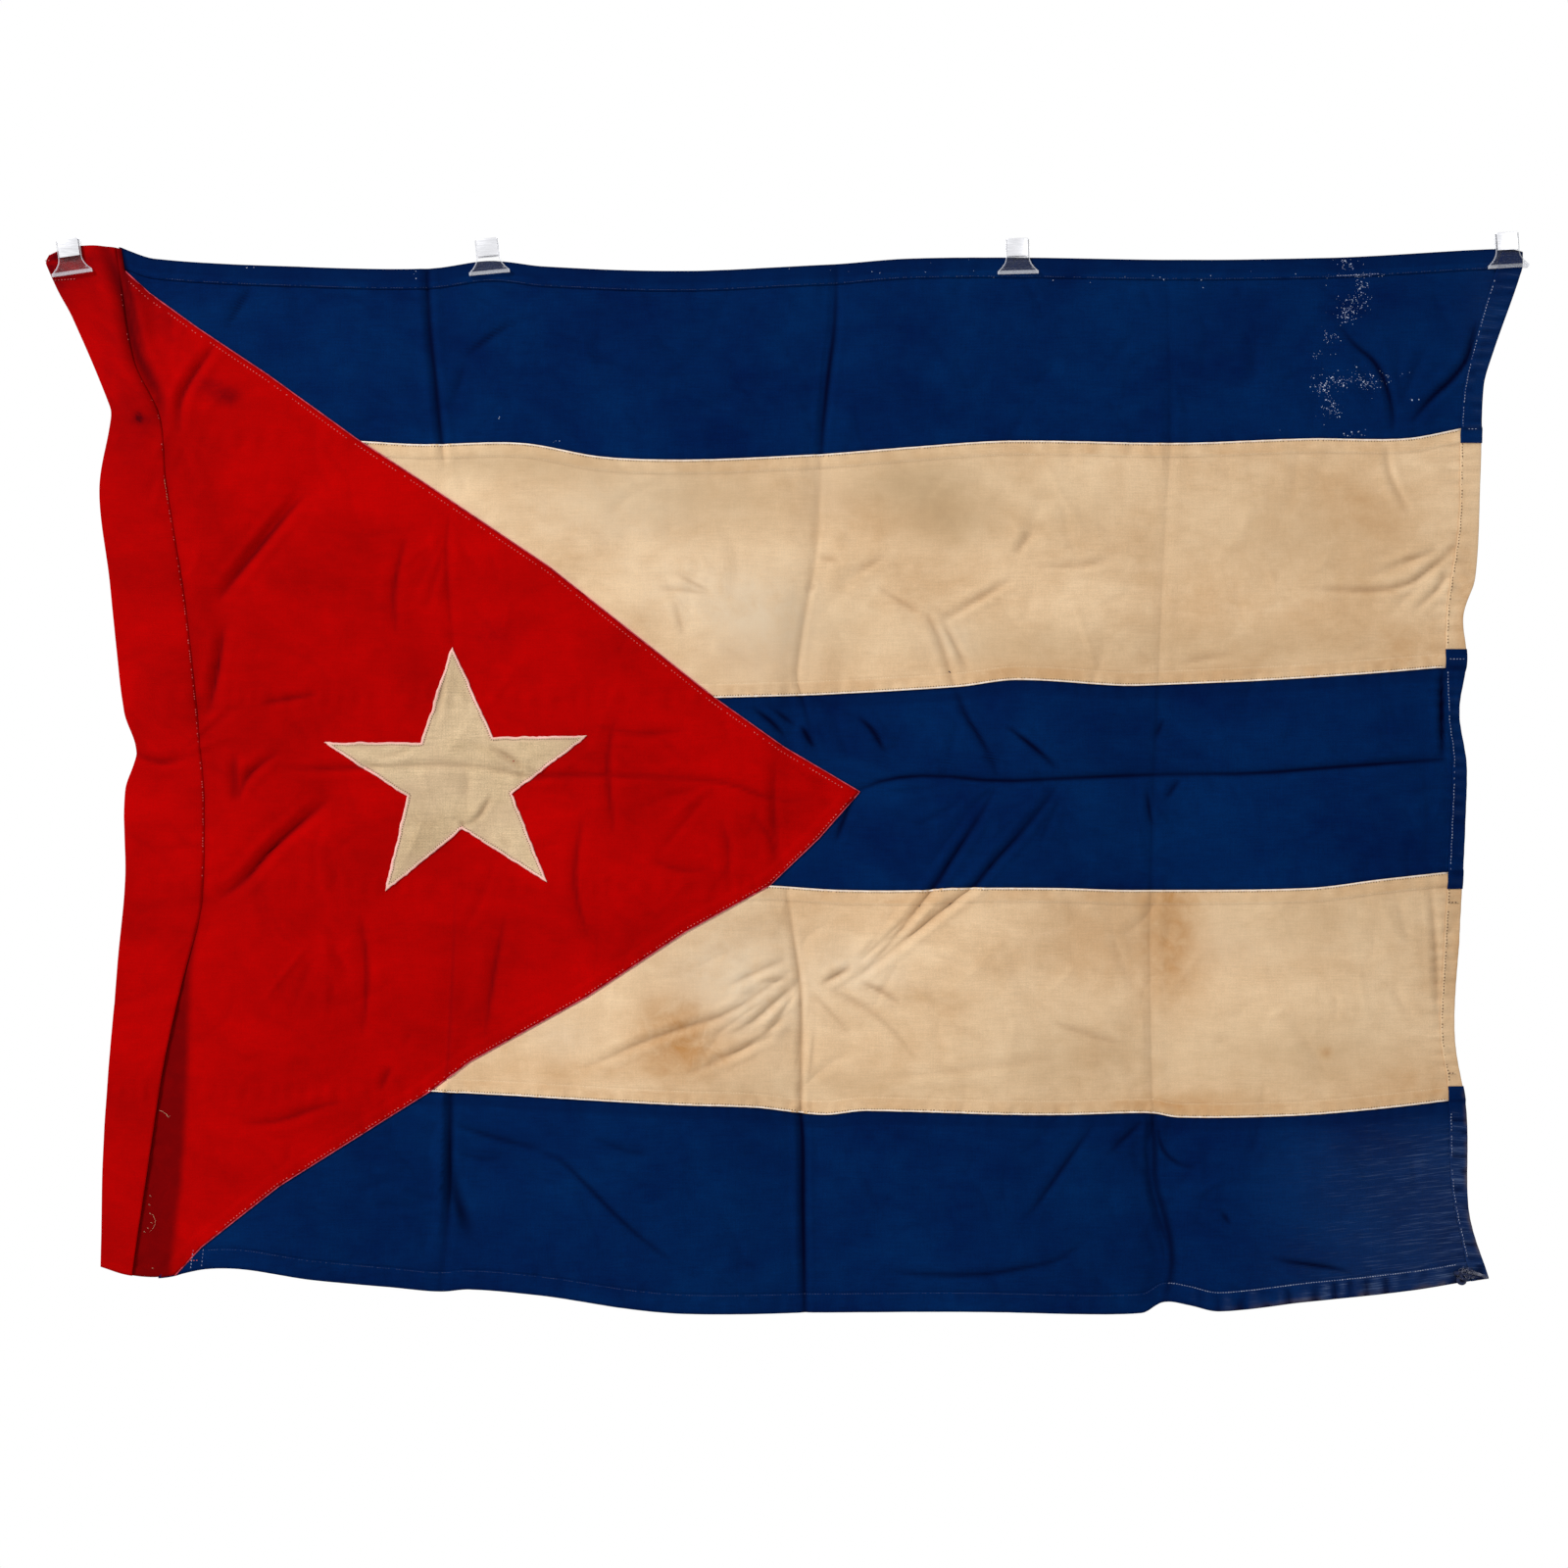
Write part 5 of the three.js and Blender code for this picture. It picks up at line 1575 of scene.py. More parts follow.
    def layers(self, x: Array, z: Array) -> tuple[Array, Array]:
        """How far each point is shifted to the wrong side, and how thick the cloth is there.

        Args:
            x: places across the flag, in millimetres.
            z: their heights.

        Returns:
            The shift and the thickness at each place, in millimetres.
        """
        up, down = self.upper(x) - z, z - self.lower(x)
        reach, way = (LAP + 1.5, -1) if self.laps_over else (3.0, 1)
        lap = np.maximum(
            smoothstep((reach - up) / 3) if not self.hem_up else 0.0,
            smoothstep((reach - down) / 3) if not self.hem_down else 0.0,
        )
        shift = way * LAP_RISE * lap
        inside = smoothstep((triangle_edge(z) + 5 - x) / 6)
        shift = lerp(shift, LAP_RISE + 0.3 * (not self.laps_over) * lap, inside)
        return shift, CLOTH + (LAP_THICKNESS - CLOTH) * lap

    def marks(self, x: Array, z: Array, crease: Array) -> dict[str, Array]:
        """The stripe's wear, stains and painted shade, by name.

        Args:
            x: places across the flag, in millimetres.
            z: their heights.
            crease: the shade painted in the creases there.

        Returns:
            Each mark's strength at each place.
        """
        cream = self.slot == "cream_cotton"
        return self.cream_marks(x, z, crease) if cream else self.blue_marks(x, z, crease)

    def cream_marks(self, x: Array, z: Array, crease: Array) -> dict[str, Array]:
        """Stains, grey patches, patches pale from bleaching with one painted highlight among them, yellowed
        laps, red that has bled beside the triangle, and shade painted in the creases and along the second row
        of stitches.

        Args:
            x: places across the flag, in millimetres.
            z: their heights.
            crease: the shade painted in the creases there.

        Returns:
            Each mark's strength at each place.
        """
        nearest = np.minimum(self.upper(x) - z, z - self.lower(x))
        # painted shade along the second row of stitches
        ditch_shade = 0.16 * np.exp(-(((nearest - LAP - 0.8) / 0.9) ** 2))
        yellowed = 0.3 * smoothstep((LAP - nearest) / 2) * (0.6 + 0.4 * soft_noise(x, z, 14.0, 51))
        return {
            "crease": np.clip(0.55 * crease + ditch_shade, 0.0, 1.0),
            "stain": blotted(CREAM_STAINS, x, z) + yellowed,
            "grey": blotted(CREAM_GREYS, x, z),
            "speck": np.zeros(x.shape),
            "bleached": blotted(CREAM_BLEACHED_AND_HIGHLIT, x, z),
            "wear": 0.75 * np.exp(-((np.maximum(x - triangle_edge(z), 0.0) / 4.2) ** 2)),
        }

    def blue_marks(self, x: Array, z: Array, crease: Array) -> dict[str, Array]:
        """The rubbed lower fly corner, worn and puckered hems, shadowed seams, and specks, with shade painted
        in the creases and in the puckers' hollows and light painted on their ridges.

        Args:
            x: places across the flag, in millimetres.
            z: their heights.
            crease: the shade painted in the creases there.

        Returns:
            Each mark's strength at each place.
        """
        corner = smoothstep((x - 380) / 250) * smoothstep((-750 - z) / 60)
        patches = smoothstep(0.5 + soft_noise(x, np.zeros(x.shape), 9.0, 52)) * smoothstep((x - 360) / 120)
        rubbed_hem = patches * smoothstep((self.lower(x) + 13 - z) / 8) * self.hem_down
        wear = np.clip(0.72 * corner + 0.5 * rubbed_hem + 0.3 * blotted(FLY_WEAR, x, z), 0.0, 1.0)
        foot = np.exp(-(((z - self.lower(x)) / 2.6) ** 2)) * smoothstep((x - 380) / 80) * self.hem_down
        low_fly = np.exp(-(((fly_edge(z) - x) / 2.2) ** 2)) * smoothstep((-745 - z) / 8)
        hem_edges = 0.7 * np.maximum(foot, low_fly) * smoothstep(0.5 + soft_noise(x, z, 8.0, 53))
        puckers = self.hem_puckers(x, z)
        edge_up, edge_down = self.upper(x) - z, z - self.lower(x)
        shadow = 0.45 * np.exp(-((np.minimum(edge_up, edge_down) / 1.6) ** 2))
        return {
            # painted shade: the creases, the shadow along the seams and the puckers' hollows
            "crease": np.clip(1.35 * crease + shadow + np.maximum(-puckers, 0), 0.0, 1.0),
            "stain": hem_edges,
            "grey": 0.4 * smoothstep((LAP - edge_up) / 2),
            "speck": 0.4 * blotted(SPECKS, x, z),
            "bleached": np.zeros(x.shape),
            # the worn colour on the puckers' ridges is rubbed wear and painted light together
            "wear": np.clip(wear + 1.1 * np.maximum(puckers, 0), 0.0, 1.0),
        }

    def hem_puckers(self, x: Array, z: Array) -> Array:
        """How the puckers of the blue hems are painted, from -0.7 in a hollow, drawn darker as painted shade,
        to 0.7 on a ridge, drawn paler as rubbed wear and painted light.

        Args:
            x: places across the flag, in millimetres.
            z: their heights.

        Returns:
            The mark at each place, which is 0 off the hems.
        """
        fly = gathers(z, FLY_GATHER, 0, UPRIGHT_GATHERS)
        foot = gathers(x, FOOT_GATHER, 5, LEVEL_GATHERS)
        on_fly = smoothstep((x - fly_hem(z) - 1) / 3) * lerp(0.45, 1.0, smoothstep((-745 - z) / 8))
        on_foot = smoothstep((self.lower(x) + HEM - 1 - z) / 3) * smoothstep((x - 350) / 60) * self.hem_down
        broken = 0.7 * smoothstep(0.6 + 0.9 * soft_noise(x, z, 11.0, 54))
        return broken * np.where(on_fly > on_foot, fly * on_fly, foot * on_foot)

    def build(self, shape: HangingShape) -> bpy.types.Object:
        """Args:
            shape: how the flag hangs.

        Returns:
            The new piece.
        """
        net = self.net(shape)
        piece = net.build(self.name + "_cloth")
        settle(piece, self.slot, self.finish, [self.name])
        area = cloth_area(net)
        return piece


def cloth_area(net: SheetNet) -> float:
    """The flat area of a net, in square metres.

    Args:
        net: the net.

    Returns:
        The area of its middle surface.
    """
    across = np.diff(net.middle, axis=1)[:-1]
    down = np.diff(net.middle, axis=0)[:, :-1]
    return float(np.linalg.norm(np.cross(across, down), axis=2).sum()) * MM**2


# ---------- the red cloth ----------
@dataclass
class LooseNet:
    """Rows of points with different numbers of columns, joined where their columns have the same key."""

    rows: list[Array] = field(default_factory=list)
    keys: list[Array] = field(default_factory=list)

    def add(self, keys: Array, columns: Array) -> None:
        """Adds a row: a key for each point, and its values, one point to a line."""
        self.keys.append(keys)
        self.rows.append(columns)

    def faces(self) -> tuple[Array, Array]:
        """Joins the rows.

        Returns:
            The triangles of the net, and its border as a closed ring of points.
        """
        starts = np.concatenate([[0], np.cumsum([len(row) for row in self.rows])])
        triangles = []
        for r in range(len(self.rows) - 1):
            upper, lower = self.keys[r].tolist() + [np.inf], self.keys[r + 1].tolist() + [np.inf]
            i = j = 0
            base_i, base_j = int(starts[r]), int(starts[r + 1])
            while i < len(upper) - 2 or j < len(lower) - 2:
                next_upper, next_lower = upper[i + 1], lower[j + 1]
                if next_upper <= next_lower:
                    triangles.append((base_i + i, base_j + j, base_i + i + 1))
                    i += 1
                if next_lower <= next_upper:
                    triangles.append((base_i + i, base_j + j, base_j + j + 1))
                    j += 1
        first = np.arange(starts[0], starts[1])[::-1]
        left = starts[1:-2]
        last = np.arange(starts[-2], starts[-1])
        right = (starts[2:] - 1)[::-1][1:]
        return np.array(triangles), np.concatenate([first, left, last, right])


def sheet_of_triangles(
    name: str, points: Array, triangles: Array, ring: Array, shift: Array, thickness: Array,
    marks: dict[str, Array], uv: Array,
) -> bpy.types.Object:
    """Makes a closed sheet of cloth from the middle surface of a net of triangles.

    Args:
        name: the piece's name.
        points: the middle surface, in millimetres.
        triangles: its triangles, facing the viewer.
        ring: its border, as a closed ring that runs anticlockwise for the viewer.
        shift: how far each point is moved to the wrong side.
        thickness: how thick the cloth is at each point.
        marks: point attributes, by name.
        uv: the place of each point in the flat cloth, in millimetres.

    Returns:
        The new piece.
    """
    a, b, c = (points[triangles[:, k]] for k in range(3))
    face_normal = np.cross(b - a, c - a)
    normal = np.zeros(points.shape)
    for k in range(3):
        np.add.at(normal, triangles[:, k], -face_normal)
    normal /= np.maximum(np.linalg.norm(normal, axis=1, keepdims=True), 1e-9)
    moved = points + normal * shift[:, None]
    half = normal * thickness[:, None] / 2
    far = len(points)
    following = np.roll(ring, -1)
    rim_a = np.stack([ring, ring + far, following], axis=-1)
    rim_b = np.stack([following, ring + far, following + far], axis=-1)
    faces = np.concatenate([triangles, triangles[:, ::-1] + far, rim_a, rim_b])
    doubled = {key: np.tile(value, 2) for key, value in marks.items()}
    return make_piece(name, np.concatenate([moved - half, moved + half]), faces, doubled, np.tile(uv, (2, 1)))


@dataclass
class HoistCloth:
    """The red triangle, in one piece with the pole sleeve that is folded over its front."""

    finish: bpy.types.Material
    name: str = "hoist_triangle"
    sleeve_columns: int = 22
    turn_steps: int = 6
    puff: float = 2.2  # how far the pressed sleeve stands open along its middle
    flap_lift: float = 1.9  # how far its edge stands off the field where its seam has come undone
    flap_opens: float = -582.0
    flap_free: float = -690.0
    fold: float = 1.5  # between the middles of the two layers at the sleeve's fold
    sewn_gap: float = 0.64  # and where the sleeve is sewn down
    corner: float = 5.0  # how far the sleeve's upper corner is worn round
    clear: float = 1.8  # the least distance of the net's columns from the seam and the edge

    def opened(self, z: Array) -> Array:
        """How far the sleeve's seam has come undone at height z, from 0 to 1."""
        return smoothstep((self.flap_opens - z) / (self.flap_opens - self.flap_free))

    def sleeve_lift(self, share: Array, x: Array, z: Array) -> Array:
        """The distance of the folded-over layer from the field, at a share of the way from its fold.

        Args:
            share: the share of the way from the fold to the seam.
            x: places across the flag, in millimetres.
            z: their heights.

        Returns:
            The distances, in millimetres.
        """
        opened = self.opened(z)
        ripple = 1 + 0.5 * soft_noise(x, z, 34.0, 61)
        puff = self.puff * (1 - 0.6 * opened) * np.sin(np.pi * share) * ripple
        lifted = self.flap_lift * (1 + 0.25 * soft_noise(x, z, 46.0, 62))
        edge = lerp(self.sewn_gap, self.sewn_gap + lifted, opened)
        free = lerp(self.fold, edge, share) + puff
        squeezed = lerp(self.fold, self.sewn_gap, share)
        near_clip = np.hypot(x - CLIP_PLACES[0][0], z)
        return lerp(squeezed, free, smoothstep((near_clip - CLIP_REACH / 2) / CLIP_REACH))

    def seam_shade(self, x: Array, z: Array) -> Array:
        """How much shade is painted along the sleeve's seam, on both sides of it."""
        off = x - sleeve_seam(z)
        return 0.2 * np.exp(-((off / 2.8) ** 2)) * smoothstep((-110 - z) / 60) * (1 - self.opened(z))

    @staticmethod
    def row_at(share: float) -> Line:
        """The line that lies a share of the way from the top edge to the bottom edge."""
        return lambda x: lerp(top_edge(x), bottom_edge(x), share)

    def row_shares(self) -> Array:
        """Shares of the way from the top edge to the bottom edge, one of which meets the triangle's tip.

        Returns:
            The shares, in order.
        """
        tip_x, tip_z = min(TRIANGLE_EDGE, key=lambda p: -p[0])
        hoist_height = 920.0
        shares = np.linspace(0.0, 1.0, int(hoist_height / RED_STEP))
        tip = (float(top_edge(tip_x)) - tip_z) / float(top_edge(tip_x) - bottom_edge(tip_x))
        shares[np.argmin(np.abs(shares - tip))] = tip
        return shares

    def build(self, shape: HangingShape) -> bpy.types.Object:
        """Args:
            shape: how the flag hangs.

        Returns:
            The new piece.
        """
        net = LooseNet()
        angles = np.pi * np.arange(1, self.turn_steps) / self.turn_steps
        radius = self.fold / 2
        far_left, far_right = -604, 76
        count = int((far_right - far_left) / RED_STEP)
        for share in self.row_shares():
            row = self.row_at(share)
            edge = crossing(row, hoist_edge, FROM_HOIST)
            below = float(top_edge(edge)) - float(row(np.float64(edge)))
            edge += self.corner * max(0.0, 1 - below / 7.0) ** 2
            sewn = crossing(row, sleeve_seam, FROM_SLEEVE)
            end = crossing(row, triangle_edge, FROM_MIDDLE)
            fold_x = edge + radius + CLOTH / 2
            across = np.linspace(0.0, 1.0, self.sleeve_columns)
            under = lerp(fold_x, sewn, across)
            middle_z = float(row(np.float64((sewn + end) / 2)))
            open_x = crowded(far_left, far_right, count, [float(crease_a(middle_z))], 1.0)
            keys = np.arange(count)
            kept = (open_x > sewn + self.clear) & (open_x < end - self.clear)
            field_x = np.concatenate([under, open_x[kept], [end]])
            x = np.concatenate([under[::-1], fold_x - radius * np.sin(angles), field_x])
            if end < sewn + 3:
                x[-1] = sewn + 3
            share_in = np.concatenate([across[::-1], np.zeros(len(angles)), across, np.zeros(kept.sum() + 1)])
            turn = np.concatenate([np.ones(self.sleeve_columns), (1 + np.cos(angles)) / 2,
                                   np.zeros(self.sleeve_columns + kept.sum() + 1)])
            flat = np.concatenate([2 * edge - under[::-1], np.full(len(angles), edge), field_x])
            sleeve_keys = np.arange(-len(x) + kept.sum() + 1, 0)
            row_keys = np.concatenate([sleeve_keys, keys[kept], [10 * count]])
            net.add(row_keys, np.stack([x, row(x), share_in, turn, flat], axis=-1))
        triangles, ring = net.faces()
        x, z, share_in, turn, flat = np.concatenate(net.rows).T
        out, crease = shape.measure(x, z)
        flap = turn > 0.999
        lift = np.where(flap, self.sleeve_lift(share_in, x, z), self.fold * turn)
        pressed = smoothstep((share_in - 0.88) / 0.12) * flap * (1 - self.opened(z))
        lift = lift - 0.22 * pressed
        points = np.stack([x, -out - lift, z], axis=-1)
        border = beside(TRIANGLE_EDGE, x, z).distance
        lap = smoothstep((LAP - border) / 3) * (turn < 0.001) * (x > sleeve_seam(z) + 2)
        shift = -(LAP_RISE + 0.25) * lap
        thickness = CLOTH + (LAP_THICKNESS - CLOTH) * lap - 0.38 * pressed
        within = smoothstep((old_sleeve_seam(z) + 3 - x) / 9)
        low = smoothstep((-600 - z) / 60) * within * (x > sleeve_seam(z) - 6)
        uncovered = smoothstep((-560 - z) / 30) * smoothstep((x - sleeve_seam(z) + 15) / 9)
        strip = np.maximum(low, uncovered * within)
        marks = {
            # painted shade in the creases and along the sleeve's seam
            "crease": np.maximum(crease, self.seam_shade(x, z)),
            "stain": blotted(RED_STAINS_AND_SHADE, x, z),
            "grey": np.where(flap, 0.0, strip),
            "speck": np.zeros(x.shape),
            "bleached": np.zeros(x.shape),
            # painted shade: a dark line along the triangle's edge, drawn in the worn colour
            "wear": np.exp(-((border / 0.9) ** 2)) * (turn < 0.001),
        }
        uv = np.stack([flat, z], axis=-1)
        piece = sheet_of_triangles(
            self.name + "_cloth", points, triangles, ring, shift, thickness, marks, uv
        )
        settle(piece, "red_cotton", self.finish, [self.name])
        return piece


def wavering(x: Array, z: Array, reach: Array | float = 1.0) -> tuple[Array, Array]:
    """Moves places along the star's edge as its puckered sewing does.

    Args:
        x: places across the flag, in millimetres.
        z: their heights.
        reach: how much of the waver each place gets, from 0 to 1.

    Returns:
        The moved places.
    """
    across = 0.62 * soft_noise(x, z, 8.0, 71) + 0.34 * soft_noise(x, z, 3.2, 77)
    up = 0.62 * soft_noise(x, z, 8.0, 72) + 0.34 * soft_noise(x, z, 3.2, 78)
    return x + reach * across, z + reach * up


@dataclass
class Star:
    """The five-pointed star, sewn on flat with its edge turned under."""

    finish: bpy.types.Material
    name: str = "star"
    cells: int = 34
    lift: float = 0.9  # from the middle of the red cloth to the middle of the star
    edge_width: float = 2.4

    def build(self, shape: HangingShape) -> bpy.types.Object:
        """Args:
            shape: how the flag hangs.

        Returns:
            The new piece.
        """
        edge_shares = 0.92 + 0.08 * np.linspace(0.2, 1.0, 5)
        share = np.concatenate([np.linspace(0.0, 0.92, self.cells - 5), edge_shares])
        u, v = np.meshgrid(share, share, indexing="ij")
        middle = np.array(STAR_MIDDLE, float)
        places: dict[tuple[int, int], int] = {}
        points, faces = [], []
        count = len(share)
        for arm in range(5):
            tip = np.array(STAR[2 * arm], float)
            near, far = np.array(STAR[2 * arm + 1], float), np.array(STAR[2 * arm - 1], float)
            grid = (
                ((1 - u) * (1 - v))[..., None] * middle + (u * (1 - v))[..., None] * near
                + ((1 - u) * v)[..., None] * far + (u * v)[..., None] * tip
            )
            index = np.zeros((count, count), int)
            for i in range(count):
                for j in range(count):
                    key = (round(grid[i, j, 0] * 1000), round(grid[i, j, 1] * 1000))
                    if key not in places:
                        places[key] = len(points)
                        points.append(grid[i, j])
                    index[i, j] = places[key]
            a, b, c, d = index[:-1, :-1], index[1:, :-1], index[1:, 1:], index[:-1, 1:]
            faces.append(np.stack([a, d, b], axis=-1).reshape(-1, 3))
            faces.append(np.stack([b, d, c], axis=-1).reshape(-1, 3))
        flat = np.array(points)
        triangles = np.concatenate(faces)
        a, b, c = (flat[triangles[:, k]] for k in range(3))
        turned = np.cross(b - a, c - a) < 0
        triangles[turned] = triangles[turned][:, ::-1]
        ring = self.border(triangles)
        outline = [*STAR, STAR[0]]
        found = beside(outline, flat[:, 0], flat[:, 1])
        x, z = wavering(flat[:, 0], flat[:, 1], np.exp(-((found.distance / 6.0) ** 2)))
        out, crease = shape.measure(x, z)
        rolled = np.exp(-(((found.distance - 1.1) / 1.0) ** 2))
        stitched = np.exp(-(((found.distance - self.edge_width) / 0.8) ** 2))
        puckers = 0.16 * smoothstep((found.distance - 2.6) / 3) * (1 + soft_noise(x, z, 6.5, 79))
        swell = puckers + 0.62 * smoothstep((found.distance - 3) / 14) * (1 + soft_noise(x, z, 15.0, 73))
        body = np.stack([x, -out - self.lift - swell, z], axis=-1)
        thickness = CLOTH + 0.45 * rolled
        marks = {
            # painted shade in the creases, and a darker line along the row of stitches
            "crease": np.clip(0.6 * crease + 0.4 * stitched, 0, 1),
            "stain": np.clip(1.3 * np.exp(-((found.distance / 2.2) ** 2)), 0, 1),
            "grey": 0.6 * np.clip(soft_noise(x, z, 22.0, 74), 0, 1),
            "speck": np.zeros(x.shape),
            "bleached": np.zeros(x.shape),
            "wear": np.zeros(x.shape),
        }
        uv = np.stack([x, z], axis=-1)
        piece = sheet_of_triangles(
            self.name + "_cloth", body, triangles, ring, -0.2 * rolled, thickness, marks, uv
        )
        settle(piece, "star_cotton", self.finish, [self.name])
        return piece

    @staticmethod
    def border(triangles: Array) -> Array:
        """The ring of points round a net of triangles, in the triangles' own direction.

        Args:
            triangles: the net's triangles.

        Returns:
            The points of the ring, in order.
        """
        edges = np.concatenate([triangles[:, [0, 1]], triangles[:, [1, 2]], triangles[:, [2, 0]]])
        known = {(int(p), int(q)) for p, q in edges}
        after = {p: q for p, q in known if (q, p) not in known}
        start = next(iter(after))
        ring = [start]
        while after[ring[-1]] != start:
            ring.append(after[ring[-1]])
        return np.array(ring)


# ---------- sewing ----------
STITCH_POINTS = 10  # in the mesh of one stitch


@dataclass
class Sewing:
    """Rows of stitches in one thread, collected and made as one piece."""

    name: str
    slot: str
    finish: bpy.types.Material
    shape: HangingShape
    length: float = 1.75
    width: float = 0.8
    height: float = 0.3
    seed: int = 5
    beads: list[Array] = field(default_factory=list)
    holes: "Sewing | None" = None

    def row(self, x: Array, z: Array, lift: Array | float, pitch: float = STITCH_PITCH, back: bool = False,
            chance: float = 1.0, pierced: bool = True) -> None:
        """Sews a row.

        Args:
            x: places along the row, in millimetres.
            z: their heights.
            lift: how far the thread lies in front of the middle of the cloth, or behind it.
            pitch: from one stitch to the next.
            back: whether the row is on the wrong side.
            chance: the share of stitches that are still there.
            pierced: whether the needle's holes show between the stitches, as dark dots of painted shade.
        """
        steps = np.hypot(np.diff(x), np.diff(z))
        run = np.concatenate([[0.0], np.cumsum(steps)])
        rng = np.random.default_rng(self.seed + len(self.beads))
        places = np.arange(pitch / 2, run[-1] - pitch / 2, pitch)
        places = places[rng.random(len(places)) < chance] + rng.normal(0, 0.06 * pitch, 1)
        half = 0.5 * self.length
        ends = [
            np.stack([np.interp(places + by, run, x), np.interp(places + by, run, z)], axis=-1)
            for by in (-half, half)
        ]
        lifts = np.interp(places, run, lift if np.ndim(lift) else np.full(x.shape, lift))
        sign = 1.0 if back else -1.0
        corners = []
        for end in ends:
            out, _ = self.shape.measure(end[:, 0], end[:, 1])
            corners.append(np.stack([end[:, 0], -out + sign * lifts, end[:, 1]], axis=-1))
        start, finish = corners
        along = finish - start
        size = np.linalg.norm(along, axis=1, keepdims=True)
        along = along / size
        face = np.tile([0.0, sign, 0.0], (len(along), 1))
        side = np.cross(along, face)
        side /= np.linalg.norm(side, axis=1, keepdims=True)
        tilt = rng.normal(0, 0.08, (len(along), 1))
        along = along + side * tilt
        middle = (start + finish) / 2
        w, h = self.width / 2, self.height
        end, shoulder, sunk = 0.5, 0.26, -0.3  # shares of a stitch's length, and how deep its ends go
        template = [(-end, 0, sunk)]
        for at in (-shoulder, shoulder):
            template += [(at, -w, 0), (at, 0, h), (at, w, 0), (at, 0, -h)]
        template.append((end, 0, sunk))
        bead = [middle + along * size * a + side * s + face * n for a, s, n in template]
        self.beads.append(np.stack(bead, axis=1))
        if self.holes and pierced and not back:
            at = places - half - 0.25 * pitch
            lifts = np.interp(at, run, np.broadcast_to(lift, x.shape))
            self.holes.dots(np.interp(at, run, x), np.interp(at, run, z), lifts)

    def dots(self, x: Array, z: Array, lift: Array, size: Array | float = 1.0) -> None:
        """Marks single points, such as the needle's holes or flecks.

        Args:
            x: places across the flag, in millimetres.
            z: their heights.
            lift: how far in front of the middle of the cloth each lies.
            size: how wide each is, as a share of this thread's width.
        """
        out, _ = self.shape.measure(x, z)
        middle = np.stack([x, -out - lift, z], axis=-1)
        w, h = np.broadcast_to(self.width / 2 * size, x.shape), self.height
        around = [(-1, 0, -1), (1, 0, -1), (1, 0, 1), (-1, 0, 1)]
        corners = [middle + w[:, None] * np.array(c, float) for c in around]
        corners += [middle + np.array((0, tip, 0)) for tip in (-h, h)]
        self.beads.append(np.stack(corners, axis=1))

    def flecks(self, blots: Sequence[Blot], spacing: float, seed: int) -> None:
        """Scatters flecks over soft patches.

        Args:
            blots: the patches.
            spacing: the mean distance between flecks where a patch is full.
            seed: of the random draws.
        """
        rng = np.random.default_rng(seed)
        for blot in blots:
            count = max(3, int(3.4 * blot.strength * blot.across * blot.down / spacing**2))
            x = blot.x + 0.6 * blot.across * rng.normal(size=count)
            z = blot.z + 0.6 * blot.down * rng.normal(size=count)
            gathered = soft_noise(x, z, 3.4, seed) > -0.1
            x, z = x[gathered], np.minimum(z[gathered], top_edge(x[gathered]) - 1.5)
            sizes = rng.lognormal(-0.35, 0.42, len(x))
            on_hem = (z > top_edge(x) - HEM - 0.5) * FOLD
            self.dots(x, z, CLOTH / 2 + on_hem, np.clip(sizes, 0.4, 1.8))

    def build(self) -> bpy.types.Object:
        """Makes all the thread's stitches, or all its dots, as one piece.

        Returns:
            The new piece.
        """
        beads = np.concatenate(self.beads)
        size = beads.shape[1]
        corners = np.array(self.stitch_faces() if size == STITCH_POINTS else self.dot_faces())
        triangle = beads[:, corners]
        normal = np.cross(triangle[:, :, 1] - triangle[:, :, 0], triangle[:, :, 2] - triangle[:, :, 0])
        outward = np.einsum("ijk,ijk->i", normal, triangle.mean(2) - beads.mean(1)[:, None])
        faces = corners[None] + np.arange(len(beads))[:, None, None] * size
        faces[outward < 0] = faces[outward < 0][:, :, ::-1]
        piece = make_piece(self.name, beads.reshape(-1, 3), faces.reshape(-1, 3), {})
        settle(piece, self.slot, self.finish)
        return piece

    @staticmethod
    def stitch_faces() -> list[tuple[int, int, int]]:
        """A stitch's triangles: four sides along it, and a point at each end.

        Returns:
            The corners of each triangle, as places in the stitch's template.
        """
        sides = [(1, 2, 6, 5), (2, 3, 7, 6), (3, 4, 8, 7), (4, 1, 5, 8)]
        faces = [face for a, b, c, d in sides for face in ((a, b, c), (a, c, d))]
        faces += [(0, b, a) for a, b, _, _ in sides]
        faces += [(STITCH_POINTS - 1, a, b) for _, _, b, a in sides]
        return faces

    @staticmethod
    def dot_faces() -> list[tuple[int, int, int]]:
        """A dot's triangles: a square with a point on either side."""
        sides = ((0, 1), (1, 2), (2, 3), (3, 0))
        return [(4, a, b) for a, b in sides] + [(5, b, a) for a, b in sides]


def stretch(start: float, end: float, step: float = 2.0) -> Array:
    """Places from start to end, about a step apart."""
    return np.linspace(start, end, max(2, int(abs(end - start) / step) + 1))


